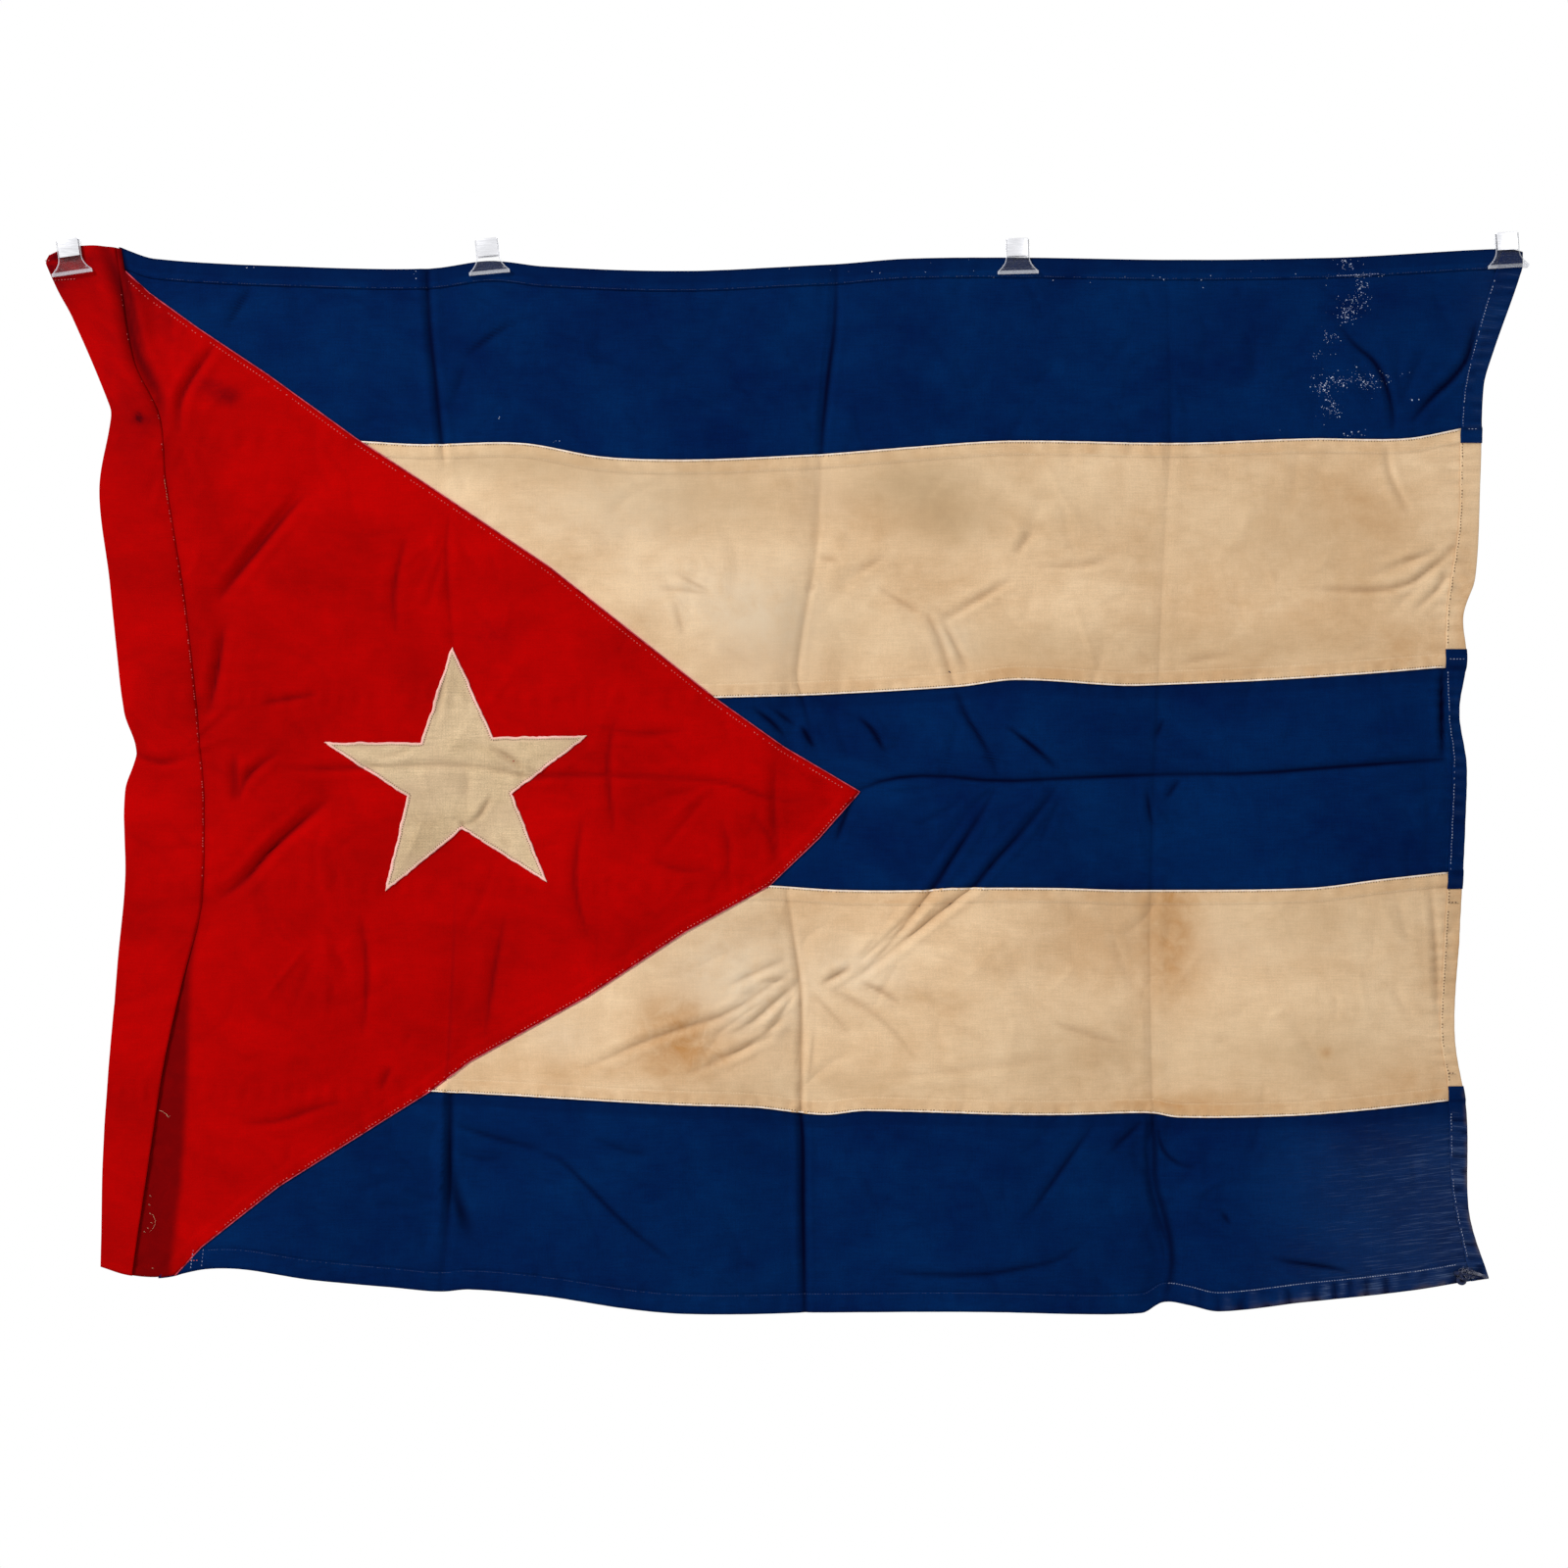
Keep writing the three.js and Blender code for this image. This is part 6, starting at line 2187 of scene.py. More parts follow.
def shifted_outline(points: Sequence[Point], inward: float, step: float = 1.0) -> Array:
    """Points along a closed outline, moved inwards from it.

    Args:
        points: the outline's corners.
        inward: how far inwards to move.
        step: the distance between the new points.

    Returns:
        The points, ending where they start.
    """
    ring = np.array([*points, points[0]], float)
    turn = np.sign(np.sum(ring[:-1, 0] * ring[1:, 1] - ring[1:, 0] * ring[:-1, 1]))
    edge = np.diff(ring, axis=0)
    length = np.linalg.norm(edge, axis=1, keepdims=True)
    normal = turn * np.stack([-edge[:, 1], edge[:, 0]], axis=-1) / length
    corners = []
    for k in range(len(points)):
        before, after = normal[k - 1], normal[k]
        split = before + after
        reach = inward / max(0.35, float(split @ after) / np.linalg.norm(split))
        corners.append(ring[k] + split / np.linalg.norm(split) * reach)
    corners.append(corners[0])
    path = [np.linspace(p, q, max(2, int(np.linalg.norm(q - p) / step)), endpoint=False)
            for p, q in zip(corners, corners[1:])]
    return np.concatenate([*path, [corners[0]]])


@dataclass
class SeamWork:
    """All the sewing that shows, in its four threads, with the needle's holes and the flecks."""

    shape: HangingShape
    triangle_row: float = 4.6  # from the red cloth's edge to its row of stitches
    hem_row: float = 1.3  # from a hem's inner edge to its row of stitches

    def threads(self) -> dict[str, Sewing]:
        """Takes up the threads, the needle's holes and the flecks.

        Returns:
            Each one's sewing, by name.
        """
        shape = self.shape
        # the needle's holes are dark dots of painted shade
        holes = Sewing("needle_holes", "cream_cotton", HOLES.make(), shape, width=1.15, height=0.36)
        return {
            "holes": holes,
            "cream": Sewing("seam_stitches", "cream_cotton", CREAM_THREAD.make(), shape, holes=holes),
            "white": Sewing("hem_stitches_light", "cream_cotton", WHITE_THREAD.make(), shape, 2.2, 0.75, 0.3),
            "blue": Sewing("hem_stitches_blue", "blue_cotton", BLUE_THREAD.make(), shape, 1.7, 0.4, 0.2),
            "pink": Sewing("triangle_stitches", "red_cotton", PINK_THREAD.make(), shape, 1.6, 0.85, 0.32),
            "flecks": Sewing("pale_flecks", "cream_cotton", FLECK.make(), shape, width=0.8, height=0.16),
        }

    def build(self) -> None:
        """Sews every row."""
        threads = self.threads()
        sunk, sunk_behind = 0.06, 0.1  # how far the thread is drawn into the cloth
        for line, way in LAPPED_SEAMS:
            for depth, lift, pierced in ((2.0, LAP_FACE - sunk, True), (LAP, LAP_FACE - sunk - 0.5, False)):
                left = crossing(lambda x: line(x) + way * depth, triangle_edge, FROM_MIDDLE) + 2
                right = crossing(line, fly_hem, FROM_HEM) - 1
                x = stretch(left, right)
                z = line(x) + way * depth
                threads["cream"].row(x, z, lift, chance=0.97, pierced=pierced)
                threads["cream"].row(x, z, LAP_FACE - sunk_behind, 3.4, back=True, chance=0.95)
        self.hems(threads)
        self.red_rows(threads)
        threads["flecks"].flecks(SPECKS, 1.9, 97)
        threads["flecks"].flecks(SCATTERED_SPECKS, 5.0, 98)
        for thread in threads.values():
            thread.build()
        self.rubbed_and_highlit_edges()

    def rubbed_and_highlit_edges(self) -> None:
        """Lays the pale folds along the edge of the red cloth and along the lapped seams: rubbed fibres with
        a highlight painted on each raised fold.
        """
        rubbed_and_highlit = Fibres("triangle_faded_edge", "red_cotton", PINK_EDGE.make(), self.shape, sides=6, flatten=0.45)
        edge = np.array(TRIANGLE_EDGE, float)
        path = np.concatenate([np.linspace(p, q, 24, endpoint=False) for p, q in zip(edge[1:-1], edge[2:])])
        rubbed_and_highlit.strand([(x, z, LAP_FACE + 0.1) for x, z in path], 1.15, even=True)
        rubbed_and_highlit.build()
        pale = Fibres("seam_faded_edges", "cream_cotton", PALE_EDGE.make(), self.shape, sides=6, flatten=0.4)
        for line, way in LAPPED_SEAMS:
            left = crossing(line, triangle_edge, FROM_MIDDLE) - 1
            x = stretch(left, crossing(line, fly_hem, FROM_HEM) - 0.5, 4.0)
            pale.strand([(a, line(a) + way * 0.75, LAP_FACE - 0.05) for a in x], 1.5, even=True)
        pale.build()

    def hems(self, threads: dict[str, Sewing]) -> None:
        """Sews the top hem, the bottom hem and the fly hem.

        Args:
            threads: the sewing, by name.
        """
        hem_face, fly_face = HEM_FACE - 0.02, HEM_FACE + 0.02
        x = stretch(-560, 636)
        threads["blue"].row(x, top_edge(x) - HEM + self.hem_row, hem_face, chance=0.8)
        x = stretch(496, 536)
        threads["white"].row(x, top_edge(x) - HEM + self.hem_row + 0.5, hem_face)
        x = stretch(-515, 345)
        threads["blue"].row(x, bottom_edge(x) + HEM - self.hem_row, hem_face, chance=0.85)
        x = stretch(345, 604)
        threads["white"].row(x, bottom_edge(x) + HEM - self.hem_row, hem_face, 2.3)
        for top, foot, name in (
            (-20, -166, "white"), (-168, -350, "cream"), (-352, -566, "white"), (-568, -743, "cream"),
            (-745, -902, "white"),
        ):
            z = stretch(top, foot)
            threads[name].row(fly_hem(z) + self.hem_row + 0.6, z, fly_face, 2.8, chance=0.85)
        for height, name in ((-154.5, "white"), (-361, "white"), (-579, "cream"), (-732, "cream")):
            x = stretch(float(fly_hem(height)) + 3, float(fly_edge(height)) - 1)
            threads[name].row(x, np.full(x.shape, height), fly_face + 0.75, 3.0, chance=0.9)

    def red_rows(self, threads: dict[str, Sewing]) -> None:
        """Sews the triangle's edge, the star, and the bits of thread left in the sleeve.

        Args:
            threads: the sewing, by name.
        """
        edge = np.array(TRIANGLE_EDGE, float)
        tip = int(np.argmax(edge[:, 0]))
        face = LAP_FACE + 0.25
        for part, inward in ((edge[1:tip + 1], self.triangle_row), (edge[tip:-1], 2.4)):
            path = np.concatenate([np.linspace(p, q, 40, endpoint=False) for p, q in zip(part, part[1:])])
            slope = np.gradient(path, axis=0)
            normal = np.stack([slope[:, 1], -slope[:, 0]], axis=-1)
            normal /= np.linalg.norm(normal, axis=1, keepdims=True)
            path = path[6:-6] + normal[6:-6] * inward
            threads["pink"].row(path[:, 0], path[:, 1], face, 3.3, chance=0.85)
            threads["pink"].row(path[:, 0], path[:, 1], 1.0, 3.4, back=True, chance=0.9)
        ring = shifted_outline(STAR, 2.3)
        x, z = wavering(ring[:, 0], ring[:, 1])
        threads["cream"].row(x, z, 0.88 + 0.36, 2.2)
        threads["pink"].row(x, z, CLOTH / 2, 2.6, back=True)
        sleeve_face = 0.6
        for top, foot, chance, name in (
            (-30, -200, 0.3, "pink"), (-200, -220, 1.0, "cream"), (-220, -560, 0.4, "pink"),
        ):
            z = stretch(top, foot)
            threads[name].row(sleeve_seam(z) - 1.5, z, sleeve_face, chance=chance)
        for left, right, height in ((-664, -658, -3.5), (-655, -634, -21)):
            x = stretch(left, right)
            threads["pink"].row(x, height + 0.06 * (x - left), 2.2, 2.8)
        z = stretch(-889, -909)
        threads["white"].row(-528 + 0.15 * (z + 889), z, HEM_FACE, 3.0)
        threads["white"].row(-519 + 0.1 * (z + 889), z + 1, HEM_FACE, 3.4)
        x = stretch(-531, -521)
        threads["pink"].row(x, np.full(x.shape, -899.0), HEM_FACE, 2.6)


@dataclass
class Fibres:
    """Frayed fibres and loose ends of thread, each a thin strand that tapers to nothing."""

    name: str
    slot: str
    finish: bpy.types.Material
    shape: HangingShape
    sides: int = 3
    flatten: float = 1.0
    strands: list[tuple[Array, float, bool]] = field(default_factory=list)

    def strand(self, points: Sequence[tuple[float, float, float]], width: float, even: bool = False) -> None:
        """Lays a strand through points (x, z, lift in front of the cloth); an even one doesn't taper."""
        self.strands.append((np.array(points, float), width, even))

    def fringe(self, path: Array, outward: float, lift: float, spacing: float, seed: int) -> None:
        """Frays a path: short hairs that stand out from it on its left side, at random.

        Args:
            path: points (x, z) along the edge.
            outward: how long the longest hairs are; negative for the other side.
            lift: how far in front of the cloth they grow.
            spacing: from one hair to the next.
            seed: of the random draw.
        """
        rng = np.random.default_rng(seed)
        steps = np.concatenate([[0.0], np.cumsum(np.linalg.norm(np.diff(path, axis=0), axis=1))])
        for place in np.arange(0.0, steps[-1], spacing):
            here, there = (
                np.array([np.interp(at, steps, path[:, 0]), np.interp(at, steps, path[:, 1])])
                for at in (place, place + 0.5)
            )
            along = there - here
            size = np.linalg.norm(along)
            if size < 1e-6:
                continue
            along = along / size
            out = np.array([-along[1], along[0]])
            reach = outward * rng.uniform(0.25, 1.0)
            lean = rng.normal(0.0, 0.7) * abs(reach)
            root = here - out * math.copysign(0.5, outward)
            middle = here + out * reach * 0.5 + along * lean * 0.3
            tip = here + out * reach + along * lean
            rise = rng.uniform(-0.1, 0.4)
            hair = [(*root, lift), (*middle, lift + rise * 0.6), (*tip, lift + rise)]
            self.strand(hair, rng.uniform(0.14, 0.3))

    def build(self) -> bpy.types.Object:
        """Makes the piece: strands with a closed end at each tip.

        Returns:
            The new piece.
        """
        points, faces, base = [], [], 0
        sides = self.sides
        turns = 2 * np.pi * np.arange(sides) / sides
        x, z, lift = np.concatenate([path for path, *_ in self.strands]).T
        out, _ = self.shape.measure(x, z)
        laid = np.stack([x, -out - lift, z], axis=-1)
        ends = np.cumsum([len(path) for path, *_ in self.strands])[:-1]
        for path, (_, width, even) in zip(np.split(laid, ends), self.strands):
            tangent = np.gradient(path, axis=0)
            tangent /= np.maximum(np.linalg.norm(tangent, axis=1, keepdims=True), 1e-9)
            side = np.cross(tangent, [0.0, 1.0, 0.0])
            side /= np.maximum(np.linalg.norm(side, axis=1, keepdims=True), 1e-9)
            other = np.cross(side, tangent)
            count = len(path)
            narrow = [1.0, 1.0, 1.0] if even else [1.0, 0.8, 0.15]
            taper = width / 2 * np.interp(np.arange(count) / (count - 1), [0.0, 0.5, 1.0], narrow)
            level = np.cos(turns)[None, :, None] * side[:, None]
            upright = self.flatten * np.sin(turns)[None, :, None] * other[:, None]
            ring = path[:, None] + taper[:, None, None] * (level + upright)
            points.append(ring.reshape(-1, 3))
            for k in range(count - 1):
                for t in range(sides):
                    a, b = base + sides * k + t, base + sides * k + (t + 1) % sides
                    faces += [(a, b, b + sides), (a, b + sides, a + sides)]
            end = base + sides * (count - 1)
            for t in range(1, sides - 1):
                faces.append((base, base + t + 1, base + t))
                faces.append((end, end + t, end + t + 1))
            base += sides * count
        piece = make_piece(self.name, np.concatenate(points), np.array(faces), {})
        settle(piece, self.slot, self.finish)
        return piece


@dataclass
class CornerKnot:
    """The lower fly corner, drawn up into a curl of cloth with a frayed, twisted tail."""

    shape: HangingShape
    middle: Point = (611.0, -914.0)
    seed: int = 91

    def curl(self, x: float, z: float, radius: float, start: float, turn: float, lift: float) -> list:
        """Points along a curl that winds in on itself.

        Args:
            x: the middle of the curl.
            z: its height.
            radius: how wide it starts.
            start: the angle where it starts, in radians.
            turn: how far it winds.
            lift: how far in front of the cloth it starts.

        Returns:
            The points (x, z, lift).
        """
        points = []
        for k in range(14):
            share = k / 13
            angle = start + turn * share
            reach = radius * (1 - 0.62 * share)
            across, up = reach * math.cos(angle), 0.8 * reach * math.sin(angle)
            points.append((x + across, z + up, lift + 2.4 * share))
        return points

    def build(self) -> None:
        """Makes the curled cloth, the loops of thread on it and the tail."""
        x, z = self.middle
        cloth = Fibres("corner_knot", "blue_cotton", DARK_THREAD.make(), self.shape, sides=8)
        cloth.strand(self.curl(x, z, 6.4, 0.6, 5.2, 2.6), 4.6)
        cloth.strand(self.curl(x + 3, z + 3, 5.2, 3.4, -4.6, 3.0), 3.8)
        cloth.strand(self.curl(x - 3, z - 4, 4.6, 2.2, 5.0, 2.6), 3.6)
        cloth.strand([(x - 10, z + 2, 1.6), (x - 4, z + 3, 4.0), (x + 3, z, 4.6), (x + 9, z - 1, 3.2),
                      (x + 14, z - 1, 2.2)], 4.4)
        cloth.build()
        tail = Fibres("corner_frayed_threads", "cream_cotton", KNOT_THREAD.make(), self.shape)
        rng = np.random.default_rng(self.seed)
        for strand in range(46):
            phase = 2 * math.pi * strand / 46
            spread = rng.uniform(0.5, 1.7)
            length = rng.uniform(0.55, 1.0)
            points = []
            for k in range(9):
                share = k / 8 * length
                swirl = phase + 7.0 * share
                loose = spread * (1 + 1.6 * max(0.0, share - 0.7))
                points.append((
                    lerp(x + 1, x + 20, share) + loose * math.cos(swirl),
                    lerp(z + 3, z - 2.5, share) + loose * math.sin(swirl) + 1.8 * math.sin(3 * share),
                    4.2 + loose * math.sin(swirl + 1.0),
                ))
            tail.strand(points, rng.uniform(0.28, 0.5))
        for _ in range(26):
            at = rng.uniform(-7, 7), rng.uniform(-1, 8)
            tail.strand(self.curl(x + at[0], z + at[1], rng.uniform(1.2, 3.0), rng.uniform(0, 6),
                                  rng.uniform(3, 6), 4.4), rng.uniform(0.25, 0.42))
        tail.build()


def sew_and_fray(shape: HangingShape) -> None:
    """Adds the stitches, the frayed edge of the star and the loose threads.

    Args:
        shape: how the flag hangs.
    """
    SeamWork(shape).build()
    pink = STAR_EDGE.make()
    fuzz = Fibres("star_frayed_edge", "star_cotton", pink, shape)
    fuzz.fringe(np.stack(wavering(*shifted_outline(STAR, 0.2).T), axis=-1), -1.5, 1.05, 0.9, 81)
    fuzz.build()
    rim = Fibres("star_bound_edge", "star_cotton", pink, shape, sides=6, flatten=0.45)
    path = np.stack(wavering(*shifted_outline(STAR, 0.9, 1.1).T), axis=-1)
    bumpy = path + 0.28 * np.stack([soft_noise(path[:, 0], path[:, 1], 2.6, 75),
                                    soft_noise(path[:, 0], path[:, 1], 2.6, 76)], axis=-1)
    rim.strand([(x, z, 1.06) for x, z in bumpy], 2.2, even=True)
    rim.build()
    CornerKnot(shape).build()
    ends = Fibres("loose_threads", "cream_cotton", CREAM_THREAD.make(), shape)
    ends.strand([(-559, -765, 1.0), (-556, -766, 1.6), (-552, -769, 1.2), (-550, -772, 0.8)], 0.26)
    ends.strand([(-553, -768, 1.0), (-551, -771, 1.5), (-549, -770, 1.0)], 0.3)
    bits = ((-567, -842), (-568, -850), (-567, -858), (-566, -866), (-569, -871), (-572, -874), (-565, -907))
    for x, z in bits:
        ends.strand([(x - 0.9, z + 0.5, 0.6), (x, z + 0.9, 1.3), (x + 1.0, z - 0.4, 0.7)], 0.3)
    ends.strand([(-565, -858, 0.7), (-562, -864, 1.4), (-564, -870, 1.2), (-568, -874, 0.8)], 0.26)
    ends.build()


# ---------- the clips ----------
@dataclass
class SpringClip:
    """One clip: two clear jaws with a highlight painted on their border and lip, and a steel strip bent over
    their tops.
    """

    plastic: bpy.types.Material
    steel: bpy.types.Material
    lip_width: float = 36.5
    lip_height: float = 2.6
    lip_stand_out: float = 1.1
    neck_width: float = 21.0
    flare_top: float = 15.0
    height: float = 31.0
    plate: float = 1.7
    boss_bottom: float = 27.5
    gap: float = 0.3
    level_cuts: tuple[float, ...] = (6.0, 8.0, 10.0)  # besides those at the lip, the pad and the boss
    upright_cuts: tuple[float, ...] = (-16.4, -13.0, -6.0, 6.0, 13.0, 16.4)
    bite: float = 0.15  # how far the jaw's inner ridge presses into the cloth
    pad: tuple[float, float] = (4.0, 12.5)  # the raised pad's foot and top
    pad_border: float = 1.3
    pad_rise: float = 0.45
    ridge_share: float = 0.45  # of the lip's height, that the inner ridge has
    jaw_rounding: float = 0.32
    spring_width: float = 18.5
    spring_thickness: float = 0.8
    spring_bottom: float = 16.0
    spring_rounding: float = 0.36
    back_face: float = 0.6  # the level in y of the cloth's back, which the back jaws share

    @staticmethod
    def only(test: Callable[[Vector, Vector], bool]) -> None:
        """Selects the faces of the mesh in hand whose middle and normal pass a test.

        Args:
            test: takes a face's middle in millimetres and its normal.
        """
        bpy.ops.object.mode_set(mode="OBJECT")
        mesh = bpy.context.object.data
        for kind in (mesh.vertices, mesh.edges):
            kind.foreach_set("select", [False] * len(kind))
        for face in mesh.polygons:
            face.select = bool(test(face.center / MM, face.normal))
        bpy.ops.object.mode_set(mode="EDIT")
        bpy.ops.mesh.select_mode(type="FACE")

    @staticmethod
    def level_row(level: float) -> None:
        """Selects the vertices of the mesh in hand that lie at one height.

        Args:
            level: the height, in millimetres.
        """
        bpy.ops.object.mode_set(mode="OBJECT")
        mesh = bpy.context.object.data
        for kind in (mesh.edges, mesh.polygons):
            kind.foreach_set("select", [False] * len(kind))
        for vertex in mesh.vertices:
            vertex.select = abs(vertex.co.z / MM - level) < 0.01
        bpy.ops.object.mode_set(mode="EDIT")
        bpy.ops.mesh.select_mode(type="VERT")

    @staticmethod
    def block(name: str, low: Sequence[float], high: Sequence[float]) -> bpy.types.Object:
        """Adds a block between two corners, in millimetres, and goes into edit mode.

        Args:
            name: the piece's name.
            low: its least corner.
            high: its greatest corner.

        Returns:
            The block.
        """
        bpy.ops.object.select_all(action="DESELECT")
        middle = [(a + b) / 2 * MM for a, b in zip(low, high)]
        bpy.ops.mesh.primitive_cube_add(size=1.0, location=middle)
        bpy.ops.transform.resize(value=[(b - a) * MM for a, b in zip(low, high)])
        bpy.ops.object.transform_apply(location=True, rotation=True, scale=True)
        piece = bpy.context.object
        piece.name = name
        bpy.ops.object.mode_set(mode="EDIT")
        return piece

    @staticmethod
    def cut(axis: int, place: float) -> None:
        """Cuts the mesh in hand right across, at a place along an axis.

        Args:
            axis: 0, 1 or 2 for X, Y or Z.
            place: the place along it, in millimetres.
        """
        bpy.ops.mesh.select_all(action="SELECT")
        at, facing = [0.0] * 3, [0.0] * 3
        at[axis], facing[axis] = place * MM, 1.0
        bpy.ops.mesh.bisect(plane_co=at, plane_no=facing)

    def half_width(self, z: float) -> float:
        """Half of the jaw's width at height z: it draws in to a neck in a hollow curve."""
        share = min(max((z - self.lip_height) / (self.flare_top - self.lip_height), 0.0), 1.0)
        return lerp(self.lip_width / 2, self.neck_width / 2, 1 - (1 - share) ** 1.9)

    def jaw(self, name: str, inner: float, outward: int, hinge: float) -> bpy.types.Object:
        """Models a jaw.

        Args:
            name: the piece's name.
            inner: the level in y of its inner face.
            outward: -1 for the front jaw and 1 for the back one.
            hinge: the level in y where the jaws meet at the top.

        Returns:
            The jaw, standing with the middle of its lower lip at the origin.
        """
        outer = inner + outward * self.plate
        half = self.lip_width / 2
        near, far = sorted((inner, outer))
        piece = self.block(name, (-half, near, 0.0), (half, far, self.height))
        levels = (self.lip_height, *self.pad, *self.level_cuts, self.flare_top, self.boss_bottom)
        for level in levels:
            self.cut(2, level)
        for x in self.upright_cuts:
            self.cut(0, x)
        for level in (0.0, *levels, self.height):
            self.level_row(level)
            narrowed = self.half_width(level) / half
            bpy.ops.transform.resize(value=(narrowed, 1.0, 1.0), center_override=(0.0, 0.0, 0.0))
        self.only(lambda c, n: n.y * outward > 0.9 and c.z < self.lip_height)
        self.pull((0.0, outward * self.lip_stand_out, 0.0))
        self.only(lambda c, n: n.y * outward > 0.9 and self.pad[0] < c.z < self.pad[1])
        bpy.ops.mesh.inset(thickness=self.pad_border * MM, depth=0.0)
        self.pull((0.0, outward * self.pad_rise, 0.0))
        self.only(lambda c, n: n.y * outward < -0.9 and c.z < self.lip_height)
        self.pull((0.0, -outward * (self.gap + self.bite), 0.0))
        ridge_middle = (0.0, 0.0, self.lip_height / 2 * MM)
        bpy.ops.transform.resize(value=(1.0, 1.0, self.ridge_share), center_override=ridge_middle)
        self.only(lambda c, n: n.y * outward < -0.9 and c.z > self.boss_bottom)
        self.pull((0.0, hinge - inner + outward * self.bite, 0.0))
        bpy.ops.object.mode_set(mode="OBJECT")
        self.round_off(piece, self.jaw_rounding)
        self.mark_rim(piece)
        return piece

    def mark_rim(self, piece: bpy.types.Object) -> None:
        """Marks the moulded border and lip of a jaw, where the plastic is painted whiter as a highlight.

        Args:
            piece: the jaw.
        """
        places = np.empty(3 * len(piece.data.vertices))
        piece.data.vertices.foreach_get("co", places)
        x, _, z = places.reshape(-1, 3).T / MM
        edge = np.array([self.half_width(height) for height in z]) - np.abs(x)
        side = 1 - smoothstep((edge - 0.3) / 0.8)
        lip = 0.6 * (1 - smoothstep((z - self.lip_height) / 0.6))
        layer = piece.data.attributes.new("rim", "FLOAT", "POINT")
        layer.data.foreach_set("value", np.clip(side + lip, 0.0, 1.0).astype(np.float32))

    @staticmethod
    def pull(by: Sequence[float]) -> None:
        """Extrudes the selected faces by a distance in millimetres."""
        bpy.ops.mesh.extrude_region_move(TRANSFORM_OT_translate={"value": [v * MM for v in by]})

    @staticmethod
    def round_off(piece: bpy.types.Object, width: float, segments: int = 3) -> None:
        """Rounds a piece's sharp edges and shades it smooth between them.

        Args:
            piece: the piece.
            width: how far the rounding reaches, in millimetres.
            segments: how many facets round an edge.
        """
        bevel = piece.modifiers.new("rounded edges", "BEVEL")
        bevel.width = width * MM
        bevel.segments = segments
        bevel.limit_method = "ANGLE"
        bevel.angle_limit = math.radians(40)
        bpy.ops.object.modifier_apply(modifier=bevel.name)
        bpy.ops.object.shade_smooth_by_angle(angle=math.radians(40))

    def spring(self, name: str, near: float, far: float) -> bpy.types.Object:
        """Models the steel strip: a leg down the outside of each jaw, bent over their tops.

        Args:
            name: the piece's name.
            near: the level in y of the front leg's inner face.
            far: the level in y of the back leg's inner face.

        Returns:
            The strip, standing like the jaws.
        """
        half, skin = self.spring_width / 2, self.spring_thickness
        top = self.height + self.gap
        piece = self.block(name, (-half, near - skin, self.spring_bottom), (half, near, top + skin))
        self.cut(2, top)
        self.only(lambda c, n: n.y > 0.9 and c.z > top)
        self.pull((0.0, far - near, 0.0))
        self.pull((0.0, skin, 0.0))
        self.only(lambda c, n: n.z < -0.9 and c.y > far)
        self.pull((0.0, 0.0, self.spring_bottom - top))
        bpy.ops.object.mode_set(mode="OBJECT")
        self.round_off(piece, self.spring_rounding)
        return piece

    def build(self) -> None:
        """Models the clips and sets them along the top edge."""
        made: dict[float, list[bpy.types.Object]] = {}
        for number, (x, z, tilt, grips) in enumerate(CLIP_PLACES, start=1):
            names = [f"clip_{number}_{part}" for part in ("front_jaw", "back_jaw", "spring")]
            if grips not in made:
                front, back = grips - self.gap, self.back_face + self.gap
                hinge = (front + back) / 2
                made[grips] = [
                    self.jaw(names[0], front, -1, hinge),
                    self.jaw(names[1], back, 1, hinge),
                    self.spring(names[2], front - self.plate - self.gap, back + self.plate + self.gap),
                ]
            pieces = [self.copied(piece) for piece in made[grips]]
            for piece, name in zip(pieces, names):
                piece.name = name + "_clear" if "jaw" in name else name + "_steel"
                bpy.ops.object.select_all(action="DESELECT")
                piece.select_set(True)
                bpy.context.view_layer.objects.active = piece
                piece.rotation_euler.y = -math.radians(tilt)
                piece.location = (x * MM, 0.0, z * MM)
                bpy.ops.object.transform_apply(location=True, rotation=True, scale=True)
                plastic = "jaw" in name
                settle(piece, "clear_plastic" if plastic else "spring_steel",
                       self.plastic if plastic else self.steel, [name])
        for spares in made.values():
            for spare in spares:
                bpy.data.objects.remove(spare)

    @staticmethod
    def copied(piece: bpy.types.Object) -> bpy.types.Object:
        """A copy of a piece with a mesh of its own.

        Args:
            piece: the piece to copy.

        Returns:
            The copy.
        """
        twin = piece.copy()
        twin.data = piece.data.copy()
        bpy.context.scene.collection.objects.link(twin)
        return twin


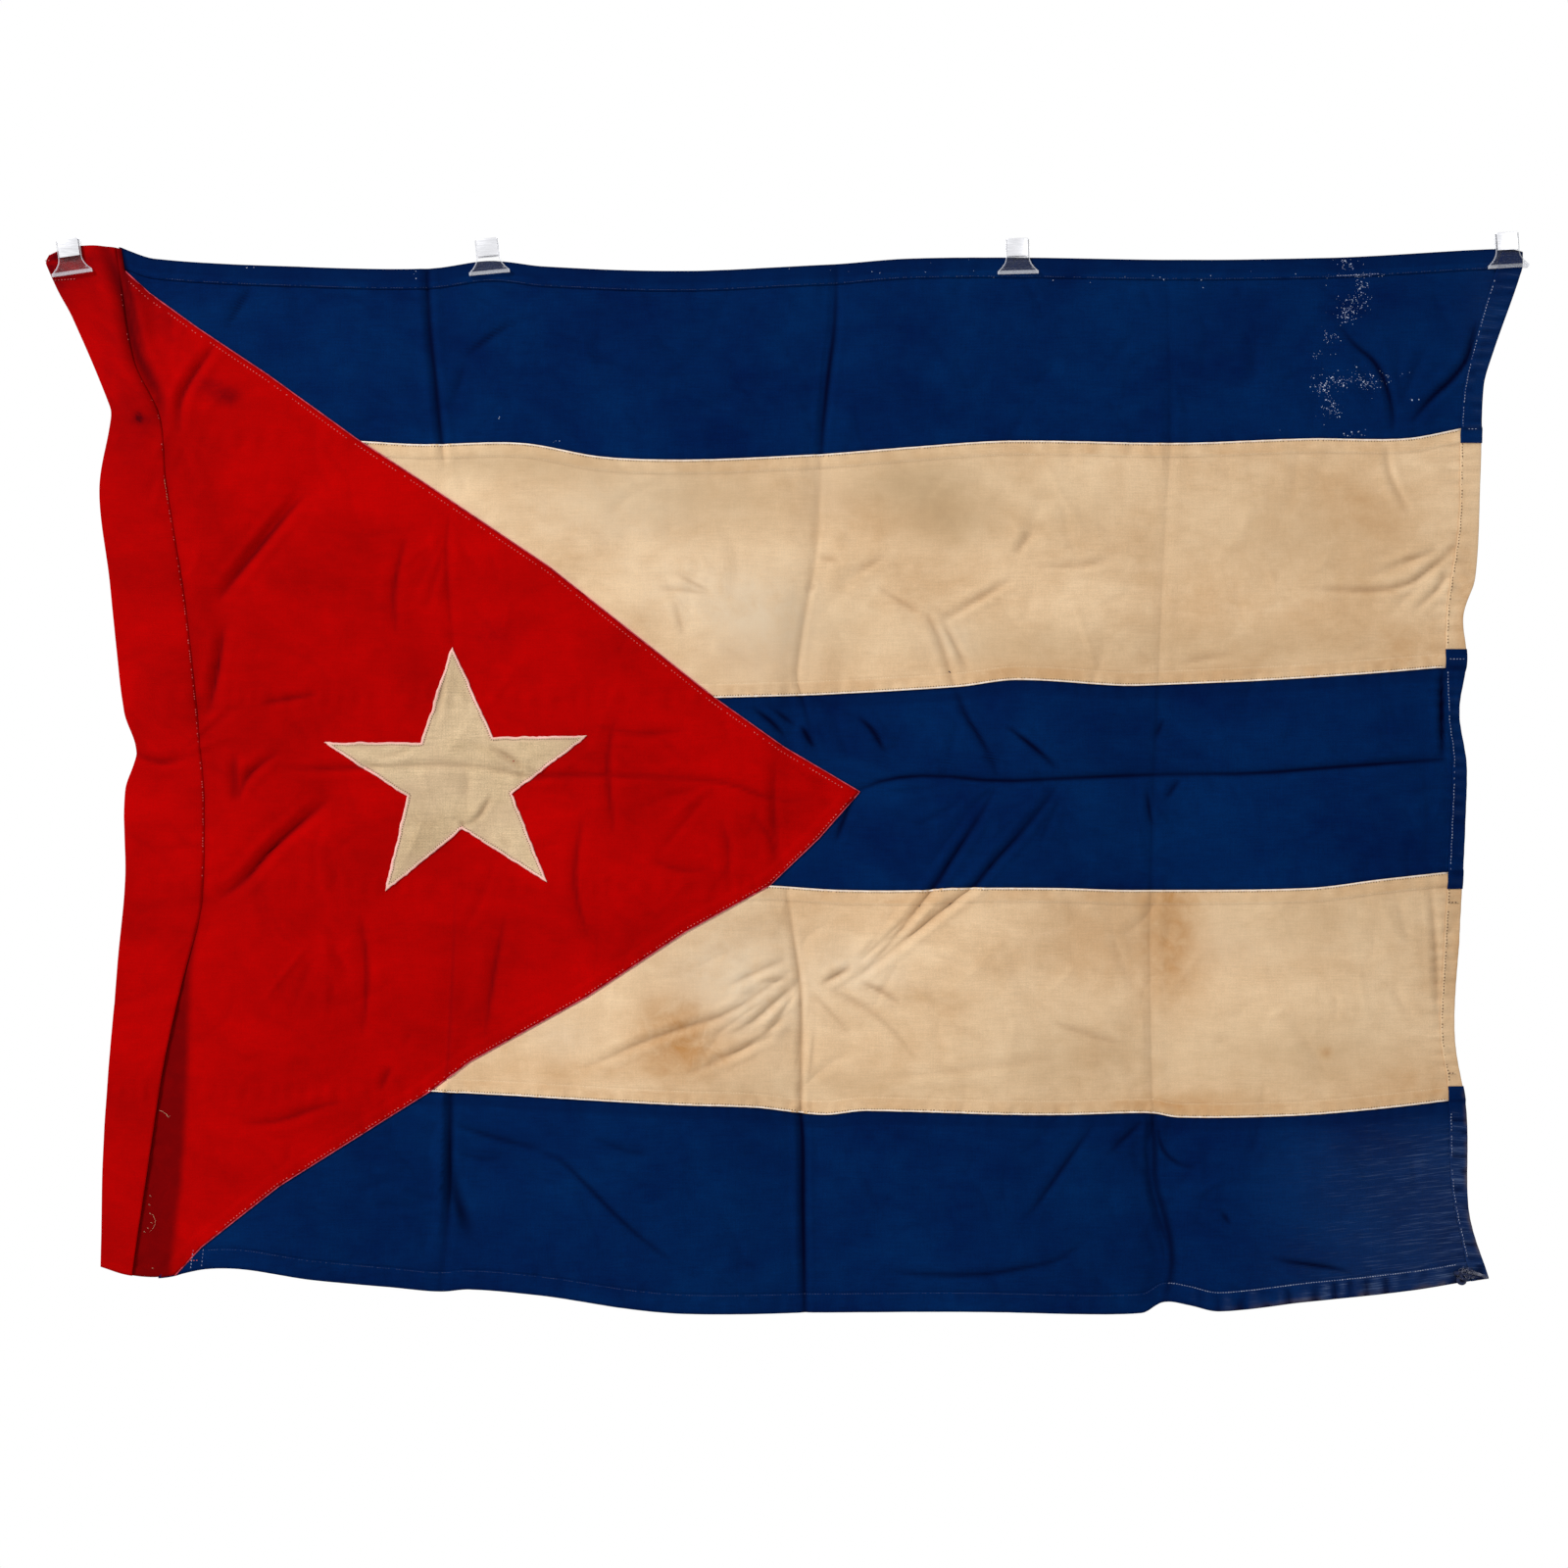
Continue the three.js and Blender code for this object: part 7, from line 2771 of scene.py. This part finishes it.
# ---------- the studio ----------
@dataclass
class Studio:
    """The floor, the soft lights, the white surroundings and the camera."""

    camera_distance: float = 2.738
    camera_height: float = -0.473
    lens: float = 70.0
    floor_height: float = -1.25

    def build(self) -> None:
        """Sets up everything around the flag."""
        scene = bpy.context.scene
        scene.view_settings.view_transform = "Standard"
        world = bpy.data.worlds.new("white surroundings")
        scene.world = world
        world.use_nodes = True
        desk = Desk(world.node_tree)
        background = world.node_tree.nodes["Background"]
        path = desk.add("ShaderNodeLightPath")
        seen = desk.math("ADD", path.outputs["Is Camera Ray"], path.outputs["Is Glossy Ray"], True)
        desk.feed(background.inputs["Color"], (1.0, 1.0, 1.0, 1.0))
        desk.feed(background.inputs["Strength"], desk.span(seen, 0.0, 1.0, 0.31, 1.0))
        self.softbox("key light", (-2.6, -2.4, 1.9), 1.0, 144.0)
        self.softbox("fill light", (1.7, -2.3, -0.2), 1.4, 12.0)
        self.softbox("back light", (0.3, 2.2, 0.6), 1.6, 22.0)
        camera = bpy.data.objects.new("camera", bpy.data.cameras.new("camera"))
        camera.data.lens = self.lens
        camera.data.sensor_width = 36.0
        camera.location = (0.0, -self.camera_distance, self.camera_height)
        camera.rotation_euler = (math.radians(90), 0.0, 0.0)
        scene.collection.objects.link(camera)
        scene.camera = camera
        self.floor()

    def softbox(self, name: str, place: tuple[float, float, float], size: float, power: float) -> None:
        """Adds a square light that faces the middle of the flag.

        Args:
            name: the light's name.
            place: where it stands, in metres.
            size: its side, in metres.
            power: in watts.
        """
        light = bpy.data.lights.new(name, "AREA")
        light.size = size
        light.energy = power
        lamp = bpy.data.objects.new(name, light)
        lamp.location = place
        towards = Vector((0.0, 0.0, self.camera_height)) - Vector(place)
        lamp.rotation_euler = towards.to_track_quat("-Z", "Y").to_euler()
        bpy.context.scene.collection.objects.link(lamp)

    def floor(self) -> None:
        """Adds a plain pale floor below the flag."""
        bpy.ops.object.select_all(action="DESELECT")
        bpy.ops.mesh.primitive_plane_add(size=1.0, location=(0.0, -0.9, self.floor_height))
        plane = bpy.context.object
        plane.name = "floor"
        bpy.ops.transform.resize(value=(3.2, 2.3, 1.0))
        bpy.ops.object.transform_apply(location=True, rotation=True, scale=True)
        _, material, shader = Desk.new_material("pale floor")
        shader.inputs["Base Color"].default_value = (0.86, 0.86, 0.85, 1.0)
        shader.inputs["Roughness"].default_value = 0.8
        plane.data.materials.append(material)


def main() -> None:
    """Builds the flag, piece by piece, and the studio around it."""
    logging.basicConfig(level=logging.INFO, format="%(message)s")
    Studio().build()
    make_weave_group()
    make_dye_group()
    make_soiling_and_painted_light_group()
    blue, cream = BLUE_COTTON.make(), CREAM_COTTON.make()
    shape = HangingShape()
    stripes = (
        Stripe("top_blue_stripe", top_edge, seam_1, blue, "blue_cotton", False, under_down=13.0, hem_up=True),
        Stripe("upper_white_stripe", seam_1, seam_2, cream, "cream_cotton", True),
        Stripe("middle_blue_stripe", seam_2, seam_3, blue, "blue_cotton", False, 17.0, 15.0,
               crowd_rows=fold_across),
        Stripe("lower_white_stripe", seam_3, seam_4, cream, "cream_cotton", True),
        Stripe("bottom_blue_stripe", seam_4, bottom_edge, blue, "blue_cotton", False, under_up=13.0,
               hem_down=True),
    )
    for stripe in stripes:
        stripe.build(shape)
    HoistCloth(RED_COTTON.make()).build(shape)
    Star(STAR_COTTON.make()).build(shape)
    sew_and_fray(shape)
    SpringClip(PlasticFinish().make(), SteelFinish().make()).build()


if __name__ == "__main__":
    main()
